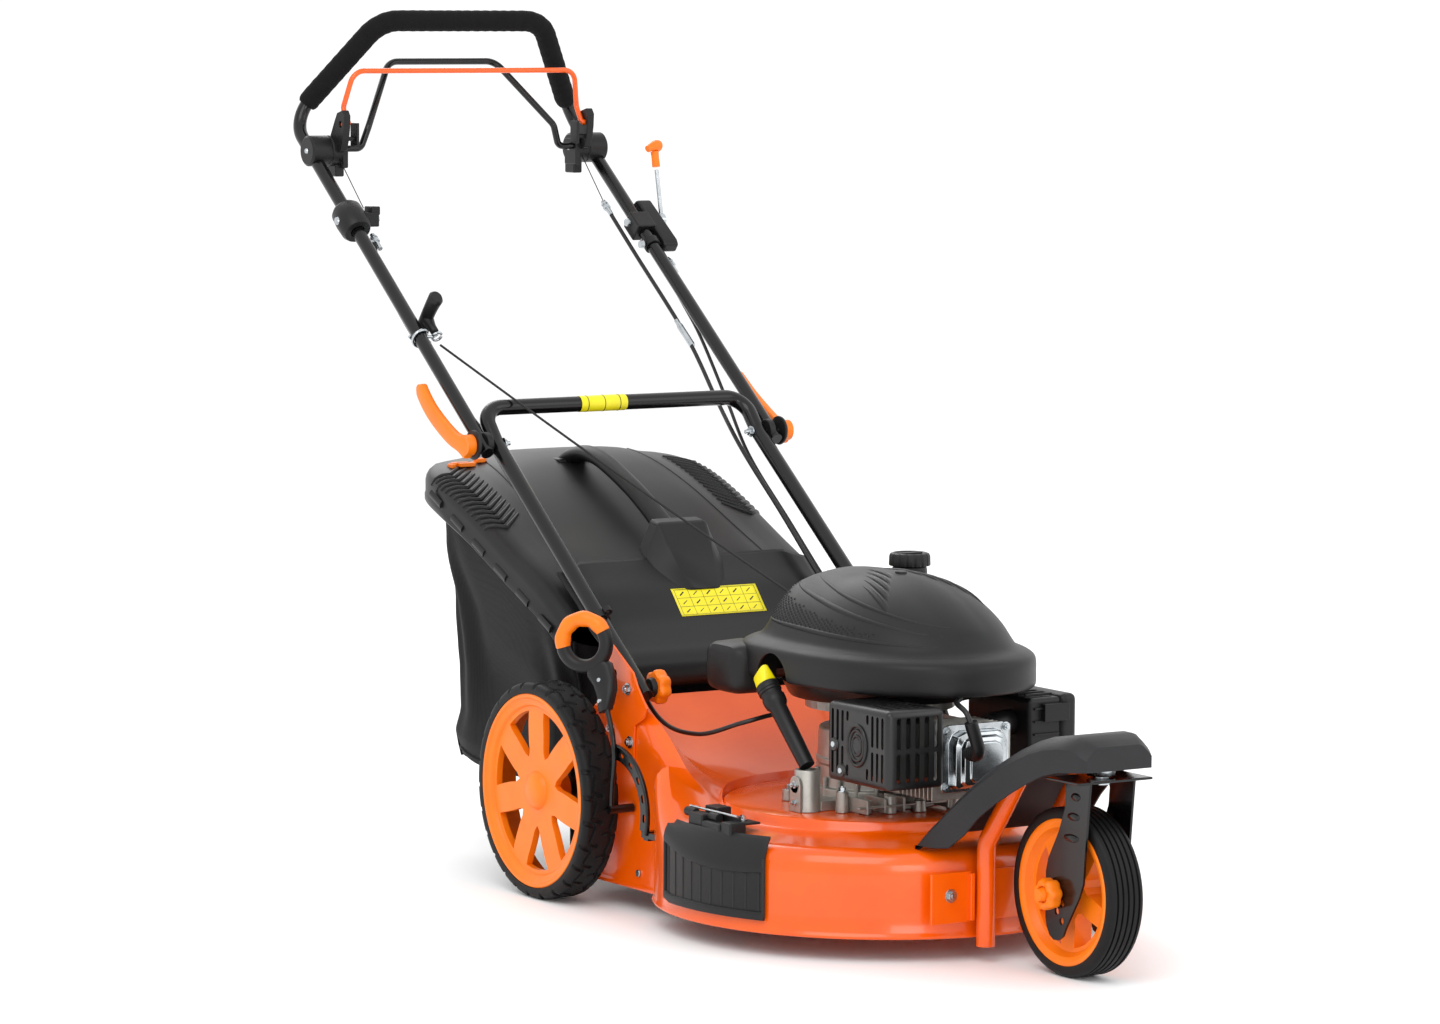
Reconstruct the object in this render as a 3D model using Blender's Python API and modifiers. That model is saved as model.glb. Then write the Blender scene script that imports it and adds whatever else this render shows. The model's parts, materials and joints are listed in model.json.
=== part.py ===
"""A three-wheeled, self-propelled push lawn mower with a grass bag, in metres, +Z up.

The front of the mower faces -Y and the operator stands at +Y, so the operator's right is -X.
Everything is placed from the rear axle's foot on the ground, and the empty called mower carries
that point to its place, so that the origin lies under the middle of the whole machine.
"""
import math

import bmesh
import bpy
from mathutils import Matrix, Vector

# ---------------------------------------------------------------- driving dimensions
REAR_AXLE_FROM_MIDDLE = 0.0656   # the rear axle lies this far behind the middle of the machine
GAP = 0.0003                     # clearance between neighbours that touch
RUN = 0.0008                     # clearance round anything that turns
SHEET = 0.0025                   # pressed steel of the deck

REAR_WHEEL_R = 0.140
REAR_TYRE_W = 0.052
REAR_TRACK_OUT = 0.2885          # middle plane of the mower to a rear tyre's outer face
REAR_RIM_R = 0.1255
FRONT_WHEEL_R = 0.1016
FRONT_TYRE_W = 0.050
FRONT_RIM_R = 0.0880
FRONT_WHEEL_Y = -0.797
CASTER_TRAIL = 0.044             # the front wheel trails its swivel by this much

ENGINE_Y = -0.375                # crankshaft, and middle of the round deck
DECK_R = 0.283
DECK_RIM_Z = 0.028
DECK_SHOULDER_Z = 0.116
DECK_TOP_Z = 0.158
DECK_SIDE_X = 0.2215             # outside of the straight rear side walls
DECK_BACK_Y = -0.030
DECK_RIDGE_Z = 0.262             # top of the discharge tunnel
BLADE_LENGTH = 0.505

SHAFT_R = 0.0060
WHEEL_ARM = 0.070                # drive shaft to wheel axle, the height adjustment's crank
WHEEL_ARM_DEG = 20.0
LEVER_PIVOT = (-0.148, 0.133)    # y and z of the height lever's pivot

LEG_X = 0.2060                   # middle plane to a handle leg's centre line
LEG_R = 0.0105
UPPER_R = 0.0093
LEG_PIVOT = (-0.137, 0.2835)     # y and z of the lower handle's bolts
FOLD = (0.231, 0.568)            # y and z of the upper handle's folding bolts
HANDLE_TOP = (0.687, 1.1235)
HANDLE_BEND = (0.768, 0.985)
HANDLE_TOP_X = 0.130
FOAM_R = 0.0148
HUB = (0.702, 0.943)             # y and z of the bails' barrels
HUB_R = 0.0215
HUB_L = 0.054


# ---------------------------------------------------------------- finishes
FINISHES = {
    "orange_paint": ((0.86, 0.24, 0.03), 0.25, 0.0),
    "orange_plastic": ((0.90, 0.27, 0.03), 0.40, 0.0),
    "black_paint": ((0.02, 0.02, 0.02), 0.35, 0.0),
    "black_plastic": ((0.035, 0.035, 0.035), 0.50, 0.0),
    "tyre_rubber": ((0.025, 0.025, 0.025), 0.70, 0.0),
    "foam": ((0.03, 0.03, 0.03), 0.90, 0.0),
    "cast_alloy": ((0.60, 0.60, 0.58), 0.50, 1.0),
    "zinc_steel": ((0.70, 0.71, 0.72), 0.30, 1.0),
    "dark_steel": ((0.10, 0.10, 0.10), 0.45, 1.0),
    "yellow_plastic": ((0.90, 0.78, 0.02), 0.40, 0.0),
    "bag_fabric": ((0.02, 0.02, 0.02), 0.90, 0.0),
    "cable_sheath": ((0.02, 0.02, 0.02), 0.45, 0.0),
    "belt_rubber": ((0.03, 0.03, 0.03), 0.80, 0.0),
}

for old in list(bpy.data.objects):
    bpy.data.objects.remove(old, do_unlink=True)

scene = bpy.context.scene
mower_parts = bpy.data.collections.new("push_lawn_mower")
cutters = bpy.data.collections.new("cutters")
scene.collection.children.link(mower_parts)
scene.collection.children.link(cutters)

mower = bpy.data.objects.new("mower", None)
mower.location = (0.0, REAR_AXLE_FROM_MIDDLE, 0.0)
mower_parts.objects.link(mower)


def finish(name):
    """The material of that name, made the first time that it is asked for."""
    if name in bpy.data.materials:
        return bpy.data.materials[name]
    colour, roughness, metallic = FINISHES[name]
    material = bpy.data.materials.new(name)
    material.use_nodes = True
    shader = material.node_tree.nodes["Principled BSDF"]
    shader.inputs["Base Color"].default_value = (*colour, 1.0)
    shader.inputs["Roughness"].default_value = roughness
    shader.inputs["Metallic"].default_value = metallic
    return material


def add(name, data, material, at=(0.0, 0.0, 0.0), parent=None):
    """A named piece of the mower, with its origin at a point given from the rear axle's foot."""
    piece = bpy.data.objects.new(name, data)
    mower_parts.objects.link(piece)
    piece.data.materials.append(finish(material))
    piece.parent = parent or mower
    piece.location = Vector(at) - (Vector(parent["at"]) if parent else Vector((0.0, 0.0, 0.0)))
    return piece


def joint(name, at):
    """An empty on a joint's axis, which carries the pieces that move with it."""
    empty = bpy.data.objects.new(name, None)
    mower_parts.objects.link(empty)
    empty.parent = mower
    empty.location = at
    empty["at"] = at
    return empty


def as_mesh(name, bm, at=(0.0, 0.0, 0.0), smooth=35.0):
    """The finished mesh of a bmesh that was built round the rear axle's foot, its origin moved to at."""
    bmesh.ops.translate(bm, verts=bm.verts, vec=-Vector(at))
    bmesh.ops.recalc_face_normals(bm, faces=bm.faces)
    if bm.calc_volume(signed=True) < 0:
        bmesh.ops.reverse_faces(bm, faces=bm.faces)
    mesh = bpy.data.meshes.new(name)
    bm.to_mesh(mesh)
    bm.free()
    mesh.shade_smooth()
    mesh.set_sharp_from_angle(angle=math.radians(smooth))
    return mesh


def cutter(name, bm):
    """A guide that only cuts: it isn't a piece."""
    piece = bpy.data.objects.new(name, as_mesh(name, bm))
    cutters.objects.link(piece)
    piece.parent = mower
    piece.hide_render = True
    piece.display_type = "WIRE"
    return piece


def boolean(piece, tool, operation="DIFFERENCE"):
    step = piece.modifiers.new(operation.lower(), "BOOLEAN")
    step.operation = operation
    step.object = tool
    return step


def bevel(piece, width, segments=1, angle=40.0):
    step = piece.modifiers.new("bevel", "BEVEL")
    step.width = width
    step.segments = segments
    step.limit_method = "ANGLE"
    step.angle_limit = math.radians(angle)
    return step


# ---------------------------------------------------------------- shapes
def add_box(bm, low, high):
    """A box between two corners."""
    low, high = Vector(low), Vector(high)
    size = Matrix.Diagonal((*(high - low), 1.0))
    bmesh.ops.create_cube(bm, size=1.0, matrix=Matrix.Translation((low + high) / 2) @ size)


def box(low, high):
    bm = bmesh.new()
    add_box(bm, low, high)
    return bm


def along(start, end):
    """The matrix that puts +Z along start to end, at its middle, and that length."""
    start, end = Vector(start), Vector(end)
    way = end - start
    turn = way.to_track_quat("Z", "Y").to_matrix().to_4x4()
    return Matrix.Translation((start + end) / 2) @ turn, way.length


def add_rod(bm, start, end, r1, r2=None, sides=16):
    """A round bar or cone between two points."""
    place, length = along(start, end)
    bmesh.ops.create_cone(bm, cap_ends=True, segments=sides, radius1=r1,
                          radius2=r1 if r2 is None else r2, depth=length, matrix=place)


def rod(start, end, r1, r2=None, sides=16):
    bm = bmesh.new()
    add_rod(bm, start, end, r1, r2, sides)
    return bm


def turned(name, profile, material, at, axis="X", steps=24, parent=None):
    """A profile of (radius, height) points turned about an axis through at, its outer side run downwards.

    A profile that ends off the axis is a ring and closes on itself.
    """
    bm = bmesh.new()
    points = [bm.verts.new((radius, 0.0, height)) for radius, height in profile]
    for a, b in zip(points, points[1:]):
        bm.edges.new((a, b))
    if profile[0][0] > 1e-6:
        bm.edges.new((points[-1], points[0]))
    mesh = bpy.data.meshes.new(name)
    bm.to_mesh(mesh)
    bm.free()
    piece = add(name, mesh, material, at, parent)
    spin = piece.modifiers.new("turn", "SCREW")
    spin.steps = steps
    spin.render_steps = steps
    spin.use_merge_vertices = True
    spin.merge_threshold = 0.00005
    spin.use_smooth_shade = True
    if axis == "X":
        piece.rotation_euler = (0.0, math.radians(90.0), 0.0)
    elif axis == "-X":
        piece.rotation_euler = (0.0, math.radians(-90.0), 0.0)
    return piece


def rounded(points, radii, steps=5):
    """A path through points with each inner corner turned into an arc of the radius given for it."""
    points = [Vector(p) for p in points]
    path = [points[0]]
    for before, corner, after, radius in zip(points, points[1:], points[2:], radii):
        to_before, to_after = (before - corner).normalized(), (after - corner).normalized()
        half = to_before.angle(to_after) / 2
        back = radius / math.tan(half)
        start, end = corner + to_before * back, corner + to_after * back
        centre = corner + (to_before + to_after).normalized() * (radius / math.sin(half))
        a, b = start - centre, end - centre
        for k in range(steps + 1):
            turn = a.slerp(b, k / steps) if a.angle(b) > 1e-4 else a
            path.append(centre + turn.normalized() * radius)
    path.append(points[-1])
    return path


def smooth_path(points, spacing):
    """Points read at even steps from a smooth curve through the route's own points."""
    points = [Vector(p) for p in points]
    ends = [points[0] * 2 - points[1]] + points + [points[-1] * 2 - points[-2]]
    fine = []
    for k in range(1, len(ends) - 2):
        p0, p1, p2, p3 = ends[k - 1:k + 3]
        for s in range(12):
            t = s / 12
            fine.append(0.5 * (2 * p1 + (p2 - p0) * t + (2 * p0 - 5 * p1 + 4 * p2 - p3) * t * t
                               + (3 * p1 - p0 - 3 * p2 + p3) * t ** 3))
    fine.append(points[-1])
    length = sum((b - a).length for a, b in zip(fine, fine[1:]))
    count = max(2, round(length / spacing))
    path, walked, target = [fine[0]], 0.0, length / count
    for a, b in zip(fine, fine[1:]):
        step = (b - a).length
        while walked + step >= target - 1e-9 and len(path) < count:
            path.append(a.lerp(b, (target - walked) / step))
            target += length / count
        walked += step
    path.append(fine[-1])
    return path


def tube_curve(name, path, radius, resolution=2, closed=False):
    """A round bar or tube along a path, as a curve with filled caps."""
    curve = bpy.data.curves.new(name, "CURVE")
    curve.dimensions = "3D"
    spline = curve.splines.new("POLY")
    spline.points.add(len(path) - 1)
    for point, place in zip(spline.points, path):
        point.co = (*place, 1.0)
    spline.use_cyclic_u = closed
    curve.bevel_depth = radius
    curve.bevel_resolution = resolution
    curve.use_fill_caps = True
    return curve


def tube(name, path, radius, material, at=(0.0, 0.0, 0.0), parent=None, resolution=2, closed=False):
    moved = [Vector(p) - Vector(at) for p in path]
    return add(name, tube_curve(name, moved, radius, resolution, closed), material, at, parent)


def curve_to_bm(bm, curve):
    """Adds a curve's solid, with its caps welded, to a bmesh."""
    guide = bpy.data.objects.new("guide", curve)
    scene.collection.objects.link(guide)
    evaluated = guide.evaluated_get(bpy.context.evaluated_depsgraph_get())
    mesh = bpy.data.meshes.new_from_object(evaluated)
    own = bmesh.new()
    own.from_mesh(mesh)
    bmesh.ops.remove_doubles(own, verts=own.verts, dist=0.00002)
    bmesh.ops.recalc_face_normals(own, faces=own.faces)
    own.to_mesh(mesh)
    own.free()
    bm.from_mesh(mesh)
    bpy.data.objects.remove(guide, do_unlink=True)
    bpy.data.meshes.remove(mesh)


def add_plate(bm, outline, low, high, across="X"):
    """A flat plate: an outline of (y, z) points along X, of (x, y) points along Z, or of (x, z) points along Y."""
    order = {"X": lambda a, b, c: (c, a, b), "Z": lambda a, b, c: (a, b, c), "Y": lambda a, b, c: (a, c,
                                                                                                   b)}[across]
    rings = [[bm.verts.new(order(a, b, c)) for a, b in outline] for c in (low, high)]
    bm.faces.new(rings[0])
    bm.faces.new(list(reversed(rings[1])))
    count = len(outline)
    for k in range(count):
        j = (k + 1) % count
        bm.faces.new((rings[0][j], rings[0][k], rings[1][k], rings[1][j]))


def plate(outline, low, high, across="X"):
    bm = bmesh.new()
    add_plate(bm, outline, low, high, across)
    return bm


def arc(centre, radius, start_deg, end_deg, steps):
    """Points of an arc, in a plane."""
    points = []
    for k in range(steps + 1):
        a = math.radians(start_deg + (end_deg - start_deg) * k / steps)
        points.append((centre[0] + radius * math.cos(a), centre[1] + radius * math.sin(a)))
    return points


def loft(bm, rings, closed=True, caps=True):
    """A skin through rings with the same count of points, capped at both ends."""
    made = [[bm.verts.new(p) for p in ring] for ring in rings]
    count = len(made[0])
    for lower, upper in zip(made, made[1:]):
        for k in range(count if closed else count - 1):
            j = (k + 1) % count
            bm.faces.new((lower[k], lower[j], upper[j], upper[k]))
    if caps:
        bm.faces.new(list(reversed(made[0])))
        bm.faces.new(made[-1])
    return made


def joined(name, pieces, material, at=(0.0, 0.0, 0.0), parent=None, smooth=35.0):
    """One solid made of several bmeshes, each united with the first."""
    body = add(name, as_mesh(name, pieces[0], at, smooth), material, at, parent)
    for k, bm in enumerate(pieces[1:]):
        boolean(body, cutter(f"{name}_join_{k}", bm), "UNION")
    return body


# ---------------------------------------------------------------- deck
def deck_outline(angle):
    """How far the deck's wall is from the crankshaft, in the direction of an angle from +X."""
    dx, dy = math.cos(angle), math.sin(angle)
    if DECK_R * dy <= math.sqrt(DECK_R ** 2 - DECK_SIDE_X ** 2):
        return DECK_R
    side = DECK_SIDE_X / abs(dx) if abs(dx) > 1e-6 else 10.0
    return min(side, (DECK_BACK_Y - ENGINE_Y) / dy)


def ease(value, low, high):
    t = min(1.0, max(0.0, (value - low) / (high - low)))
    return t * t * (3.0 - 2.0 * t)


def deck_point(angle, reach, z):
    return (reach * math.cos(angle), ENGINE_Y + reach * math.sin(angle), z)


def deck_shell():
    """The pressed deck: a round blade chamber whose top rises behind into the discharge tunnel."""
    count = 46
    bm = bmesh.new()
    back = math.atan2(DECK_BACK_Y - ENGINE_Y, DECK_SIDE_X)
    angles = [back + (math.pi - 2 * back) * k / 12 for k in range(12)]
    angles += [math.pi - back + (math.pi + 2 * back) * k / (count - 12) for k in range(count - 12)]
    levels = []
    for level in range(7):
        ring = []
        for angle in angles:
            wall = deck_outline(angle)
            y = ENGINE_Y + wall * math.sin(angle)
            rise = ease(y, -0.34, -0.13) * (DECK_RIDGE_Z - 0.022 - DECK_SHOULDER_Z)
            shoulder = DECK_SHOULDER_Z + rise
            inner = 0.200
            if level == 0:
                place = (wall, DECK_RIM_Z)
            elif level == 1:
                place = (wall, shoulder)
            elif level == 2:
                place = (wall - 0.007, shoulder + 0.013)
            elif level == 3:
                place = (wall - 0.022, shoulder + 0.020)
            elif level == 4:
                place = (inner, 0.144 + 0.16 * rise)
            elif level == 5:
                place = (inner - 0.008, DECK_TOP_Z)
            else:
                place = (0.045, DECK_TOP_Z)
            ring.append(bm.verts.new(deck_point(angle, *place)))
        levels.append(ring)
    for level, (lower, upper) in enumerate(zip(levels, levels[1:])):
        for k in range(count):
            if level == 0 and k < 12:
                continue
            j = (k + 1) % count
            bm.faces.new((lower[k], lower[j], upper[j], upper[k]))
    bmesh.ops.delete(bm, geom=[v for v in bm.verts if not v.link_faces], context="VERTS")
    bmesh.ops.recalc_face_normals(bm, faces=bm.faces)
    if sum(face.normal.z for face in bm.faces) < 0:
        bmesh.ops.reverse_faces(bm, faces=bm.faces)
    mesh = bpy.data.meshes.new("deck_shell")
    bm.to_mesh(mesh)
    bm.free()
    mesh.shade_smooth()
    mesh.set_sharp_from_angle(angle=math.radians(35))
    shell = add("deck_shell", mesh, "orange_paint")
    wall = shell.modifiers.new("sheet", "SOLIDIFY")
    wall.thickness = SHEET
    wall.offset = -1.0
    opening = bmesh.new()
    add_box(opening, (-0.32, -0.462, 0.052), (-0.20, -0.322, 0.106))
    boolean(shell, cutter("side_discharge_opening", opening))
    return shell


def handle_bracket(name, side):
    """The folded plate on the deck's rear wall that a handle leg bolts to."""
    y, z = LEG_PIVOT
    outline = [(-0.150, 0.190), (-0.150, 0.240), (-0.172, 0.252), (-0.180, 0.264), (y - 0.020, z + 0.006),
               (y - 0.010, z + 0.022), (-0.098, 0.336), (-0.078, 0.322), (-0.060, 0.240), (-0.060, 0.190)]
    inside = side * (DECK_SIDE_X + GAP)
    outside = side * (DECK_SIDE_X + GAP + 0.003)
    add(name, as_mesh(name, plate(outline, inside, outside)), "orange_paint")


def chute_floor():
    """The floor of the discharge tunnel, which covers the gearbox and ends at the bag's mouth."""
    bm = bmesh.new()
    outline = [(-0.160, 0.1470), (-0.100, 0.1530), (-0.030, 0.172), (-0.030, 0.175), (-0.102, 0.1570),
               (-0.160, 0.1500)]
    half = DECK_SIDE_X - SHEET - 0.004
    add_plate(bm, outline, -half, half)
    add("chute_floor", as_mesh("chute_floor", bm), "black_plastic")


def discharge_cover():
    """The black side discharge cover, hinged along its top edge."""
    swing = joint("discharge_cover_hinge", (-DECK_R + 0.010, ENGINE_Y - 0.017, 0.143))
    bm = bmesh.new()
    inner, outer = DECK_R + 0.0016, DECK_R + 0.0044
    angles = [math.radians(169 + 38 * k / 10) for k in range(11)]
    rings = []
    for angle in angles:
        face = []
        for reach, z in ((inner, 0.048), (outer + 0.001, 0.044), (outer, 0.098), (inner - 0.003, 0.132),
                         (inner - 0.012, 0.1445), (inner - 0.0110, 0.1415), (inner - 0.0045, 0.1310),
                         (inner, 0.115)):
            face.append(deck_point(angle, reach, z))
        rings.append(face)
    loft(bm, rings)
    add("discharge_cover", as_mesh("discharge_cover", bm, swing["at"]), "black_plastic", swing["at"], swing)


deck_shell()
handle_bracket("handle_bracket_right", -1)
handle_bracket("handle_bracket_left", 1)
chute_floor()
discharge_cover()


# ---------------------------------------------------------------- wheels and drive
def wheel(tag, name, at, radius, rim_r, width, side, holes, spin):
    """A moulded rim with openings between its spokes, and its tyre."""
    half = width / 2
    tyre = [(radius - 0.006, half), (radius, half - 0.006), (radius, 0.006 - half), (radius - 0.006, -half),
            (rim_r + GAP, -half), (rim_r + GAP, half)]
    turned(f"{tag}_tyre{name}", tyre, "tyre_rubber", at, "X", 32, spin)
    front, web = half - 0.001, half - 0.016
    profile = [(rim_r, front), (rim_r, -front), (rim_r - 0.005, -front), (rim_r - 0.007, web - 0.006),
               (0.022, web - 0.006), (0.019, 0.002 - half), (0.0085, 0.002 - half), (0.0085, half - 0.004),
               (0.020, half - 0.004), (0.030, web), (rim_r - 0.011, web), (rim_r - 0.006, front)]
    rim = turned(f"{tag}_rim{name}", profile, "orange_plastic", at, "X" if side > 0 else "-X", 32, spin)
    ports = bmesh.new()
    inner_r, outer_r = 0.036, rim_r - 0.014
    for k in range(holes):
        middle = 360.0 * (k + 0.5) / holes
        spread = 0.30 * 360.0 / holes
        outline = arc((at[1], at[2]), outer_r, middle - spread, middle + spread, 3)
        outline += arc((at[1], at[2]), inner_r, middle + spread * 0.8, middle - spread * 0.8, 1)
        add_plate(ports, outline, at[0] - half - 0.002, at[0] + half + 0.002)
    boolean(rim, cutter(f"{tag}_rim{name}_openings", ports))
    return rim


B_Y = -WHEEL_ARM * math.cos(math.radians(WHEEL_ARM_DEG))
B_Z = REAR_WHEEL_R - WHEEL_ARM * math.sin(math.radians(WHEEL_ARM_DEG))


def rear_end():
    """Rear wheels on a swinging axle carrier, turned by the gearbox's drive shaft."""
    for side, name in ((-1, "_right"), (1, "_left")):
        middle = side * (REAR_TRACK_OUT - REAR_TYRE_W / 2)
        spin = joint(f"rear_wheel{name}_spin", (middle, 0.0, REAR_WHEEL_R))
        wheel("rear", name, spin["at"], REAR_WHEEL_R, REAR_RIM_R, REAR_TYRE_W, side, 7, spin)
    swing = joint("axle_carrier_swing", (0.0, B_Y, B_Z))
    hub = REAR_TRACK_OUT - REAR_TYRE_W + 0.002
    pieces = [rod((-hub - 0.030, 0, REAR_WHEEL_R), (hub + 0.030, 0, REAR_WHEEL_R), 0.0075)]
    for side in (-1, 1):
        x0, x1 = side * (DECK_SIDE_X + 0.0042), side * (DECK_SIDE_X + 0.0082)
        outline = arc((B_Y, B_Z), 0.020, 120, 300, 6) + arc((0.0, REAR_WHEEL_R), 0.018, -60, 120, 6)
        pieces.append(plate(outline, min(x0, x1), max(x0, x1)))
    carrier = joined("axle_carrier", pieces, "dark_steel", swing["at"], swing)
    holes = bmesh.new()
    add_rod(holes, (-0.3, B_Y, B_Z), (0.3, B_Y, B_Z), SHAFT_R + RUN, sides=20)
    boolean(carrier, cutter("axle_carrier_bore", holes))
    turn = joint("drive_shaft_spin", (0.0, B_Y, B_Z))
    pinion = [rod((-0.262, B_Y, B_Z), (0.262, B_Y, B_Z), SHAFT_R, sides=20)]
    for side in (-1, 1):
        pinion.append(rod((side * 0.2385, B_Y, B_Z), (side * 0.2585, B_Y, B_Z), 0.013, sides=20))
    joined("drive_shaft", pinion, "zinc_steel", turn["at"], turn)
    box_y, box_z = B_Y - 0.004, B_Z - 0.004
    gearbox = joined("gearbox", [
        rod((-0.040, box_y, box_z), (0.040, box_y, box_z), 0.030, sides=20),
        box((-0.026, box_y - 0.070, box_z - 0.018), (0.026, box_y, box_z + 0.007)),
        rod((0.0, box_y - 0.050, box_z), (0.0, box_y - 0.050, box_z + 0.022), 0.0130)], "cast_alloy")
    bore = bmesh.new()
    add_rod(bore, (-0.06, B_Y, B_Z), (0.06, B_Y, B_Z), SHAFT_R + RUN, sides=20)
    boolean(gearbox, cutter("gearbox_bore", bore))
    for side in (-1, 1):
        walls = bmesh.new()
        add_rod(walls, (side * 0.20, B_Y, B_Z), (side * 0.24, B_Y, B_Z), SHAFT_R + RUN, sides=20)
        add_rod(walls, (side * 0.20, 0.0, REAR_WHEEL_R), (side * 0.24, 0.0, REAR_WHEEL_R), 0.011, sides=20)
        boolean(bpy.data.objects["deck_shell"], cutter(f"shaft_hole_{side}", walls))


rear_end()


def rear_apron():
    """The trailing shield of thick rubber that hangs behind the rear axle."""
    half = DECK_SIDE_X - 0.006
    outline = [(-0.060, 0.1795), (0.020, 0.1795), (0.0225, 0.177), (0.0225, 0.026), (0.0195, 0.026),
               (0.0195, 0.1762), (-0.060, 0.1762)]
    add("rear_apron", as_mesh("rear_apron", plate(outline, -half, half)), "tyre_rubber")


rear_apron()


# ---------------------------------------------------------------- height lever
def height_lever():
    """A notched sector on the deck, and the lever with its ring handle that locks in the notches."""
    y, z = LEVER_PIVOT
    inner = -(DECK_SIDE_X + 0.0092)
    bm = bmesh.new()
    outline = arc((y, z), 0.082, 95, 192, 12) + arc((y, z), 0.066, 192, 95, 12)
    add_plate(bm, outline, -0.2520, -0.2490)
    foot = bmesh.new()
    add_box(foot, (-0.2500, y - 0.086, z - 0.020), (-0.2462, y - 0.066, z - 0.008))
    joined("height_quadrant", [bm, foot], "black_paint")
    x = -0.2562
    swing = joint("height_lever_swing", (x, y, z))
    stem = rounded([(x, y, z), (x, y - 0.006, z + 0.085), (x, y + 0.020, z + 0.150)], (0.020,), 3)
    strap = bmesh.new()
    curve_to_bm(strap, tube_curve("height_stem", stem, 0.0032))
    plug = rod((x - 0.0030, y, z), (inner + 0.0066, y, z), 0.0055)
    ring_y, ring_z, ring_r = y + 0.055, z + 0.208, 0.030
    ring = bmesh.new()
    curve_to_bm(ring, tube_curve("height_ring",
                                 [(x, *p) for p in arc((ring_y, ring_z), ring_r, 0, 345, 23)],
                                 0.0095, 2, True))
    neck = bmesh.new()
    add_plate(neck, [(y + 0.010, z + 0.132), (y + 0.024, z + 0.128), (ring_y, ring_z - 0.0275),
                     (ring_y - 0.0245, ring_z - 0.0125), (y + 0.008, z + 0.165)], x - 0.009, x + 0.009)
    joined("height_lever", [strap, plug, ring, neck], "black_plastic", swing["at"], swing)


height_lever()


# ---------------------------------------------------------------- front frame and caster
SWIVEL_Y = FRONT_WHEEL_Y - CASTER_TRAIL
FRAME_TOP_Z = 0.262


def front_frame():
    """Two bent tubes up from the deck's front wall to the plate that carries the swivel."""
    pieces = []
    for side in (-1, 1):
        path = rounded([(side * 0.046, -0.6735, 0.020), (side * 0.046, -0.6735, 0.145),
                        (side * 0.044, -0.755, FRAME_TOP_Z - 0.006), (side * 0.034, -0.842, FRAME_TOP_Z)],
                       (0.030, 0.030), 3)
        bm = bmesh.new()
        curve_to_bm(bm, tube_curve("frame_tube", path, 0.0115, 2))
        pieces.append(bm)
    pieces.append(box((-0.046, -0.868, FRAME_TOP_Z - 0.004), (0.046, -0.800, FRAME_TOP_Z + 0.004)))
    pieces.append(rod((0.0, SWIVEL_Y, FRAME_TOP_Z - 0.016), (0.0, SWIVEL_Y, FRAME_TOP_Z + 0.020), 0.0165,
                      sides=20))
    pieces.append(box((-0.118, -0.6660, 0.050), (0.118, -0.6620, 0.112)))
    frame = joined("front_frame", pieces, "orange_paint")
    bore = rod((0.0, SWIVEL_Y, FRAME_TOP_Z - 0.05), (0.0, SWIVEL_Y, FRAME_TOP_Z + 0.05), 0.0105, sides=20)
    boolean(frame, cutter("swivel_bore", bore))


def front_cover():
    """The black arched cover over the front frame, wider where it meets the deck."""
    spine = [(-0.618, 0.154, 0.110, 0.1395), (-0.645, 0.178, 0.105, 0.1400), (-0.680, 0.212, 0.096, 0.1430),
             (-0.706, 0.236, 0.088, 0.1780), (-0.735, 0.256, 0.080, 0.2020), (-0.768, 0.276, 0.071, 0.2240),
             (-0.805, 0.291, 0.062, 0.2450), (-0.850, 0.296, 0.056, 0.2535), (-0.878, 0.286, 0.048, 0.2560)]
    wall = 0.0025

    def section(y, top, half, low):
        return [(-half, y, low), (-half, y, top - 0.012), (-half + 0.014, y, top), (half - 0.014, y, top),
                (half, y, top - 0.012), (half, y, low)]

    bm = bmesh.new()
    loft(bm, [section(*place) for place in spine])
    cover = add("front_cover", as_mesh("front_cover", bm), "black_plastic")
    inside = bmesh.new()
    first, last = spine[0], spine[-1]
    rings = [section(first[0] + 0.004, first[1] - 0.006, first[2] - wall, first[3] - 0.030)]
    rings += [section(y, top - wall, half - wall, low - 0.010) for y, top, half, low in spine[:-1]]
    rings.append(section(last[0] + wall, last[1] - wall, last[2] - wall, last[3] - 0.010))
    loft(inside, rings)
    boolean(cover, cutter("cover_inside", inside))


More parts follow.
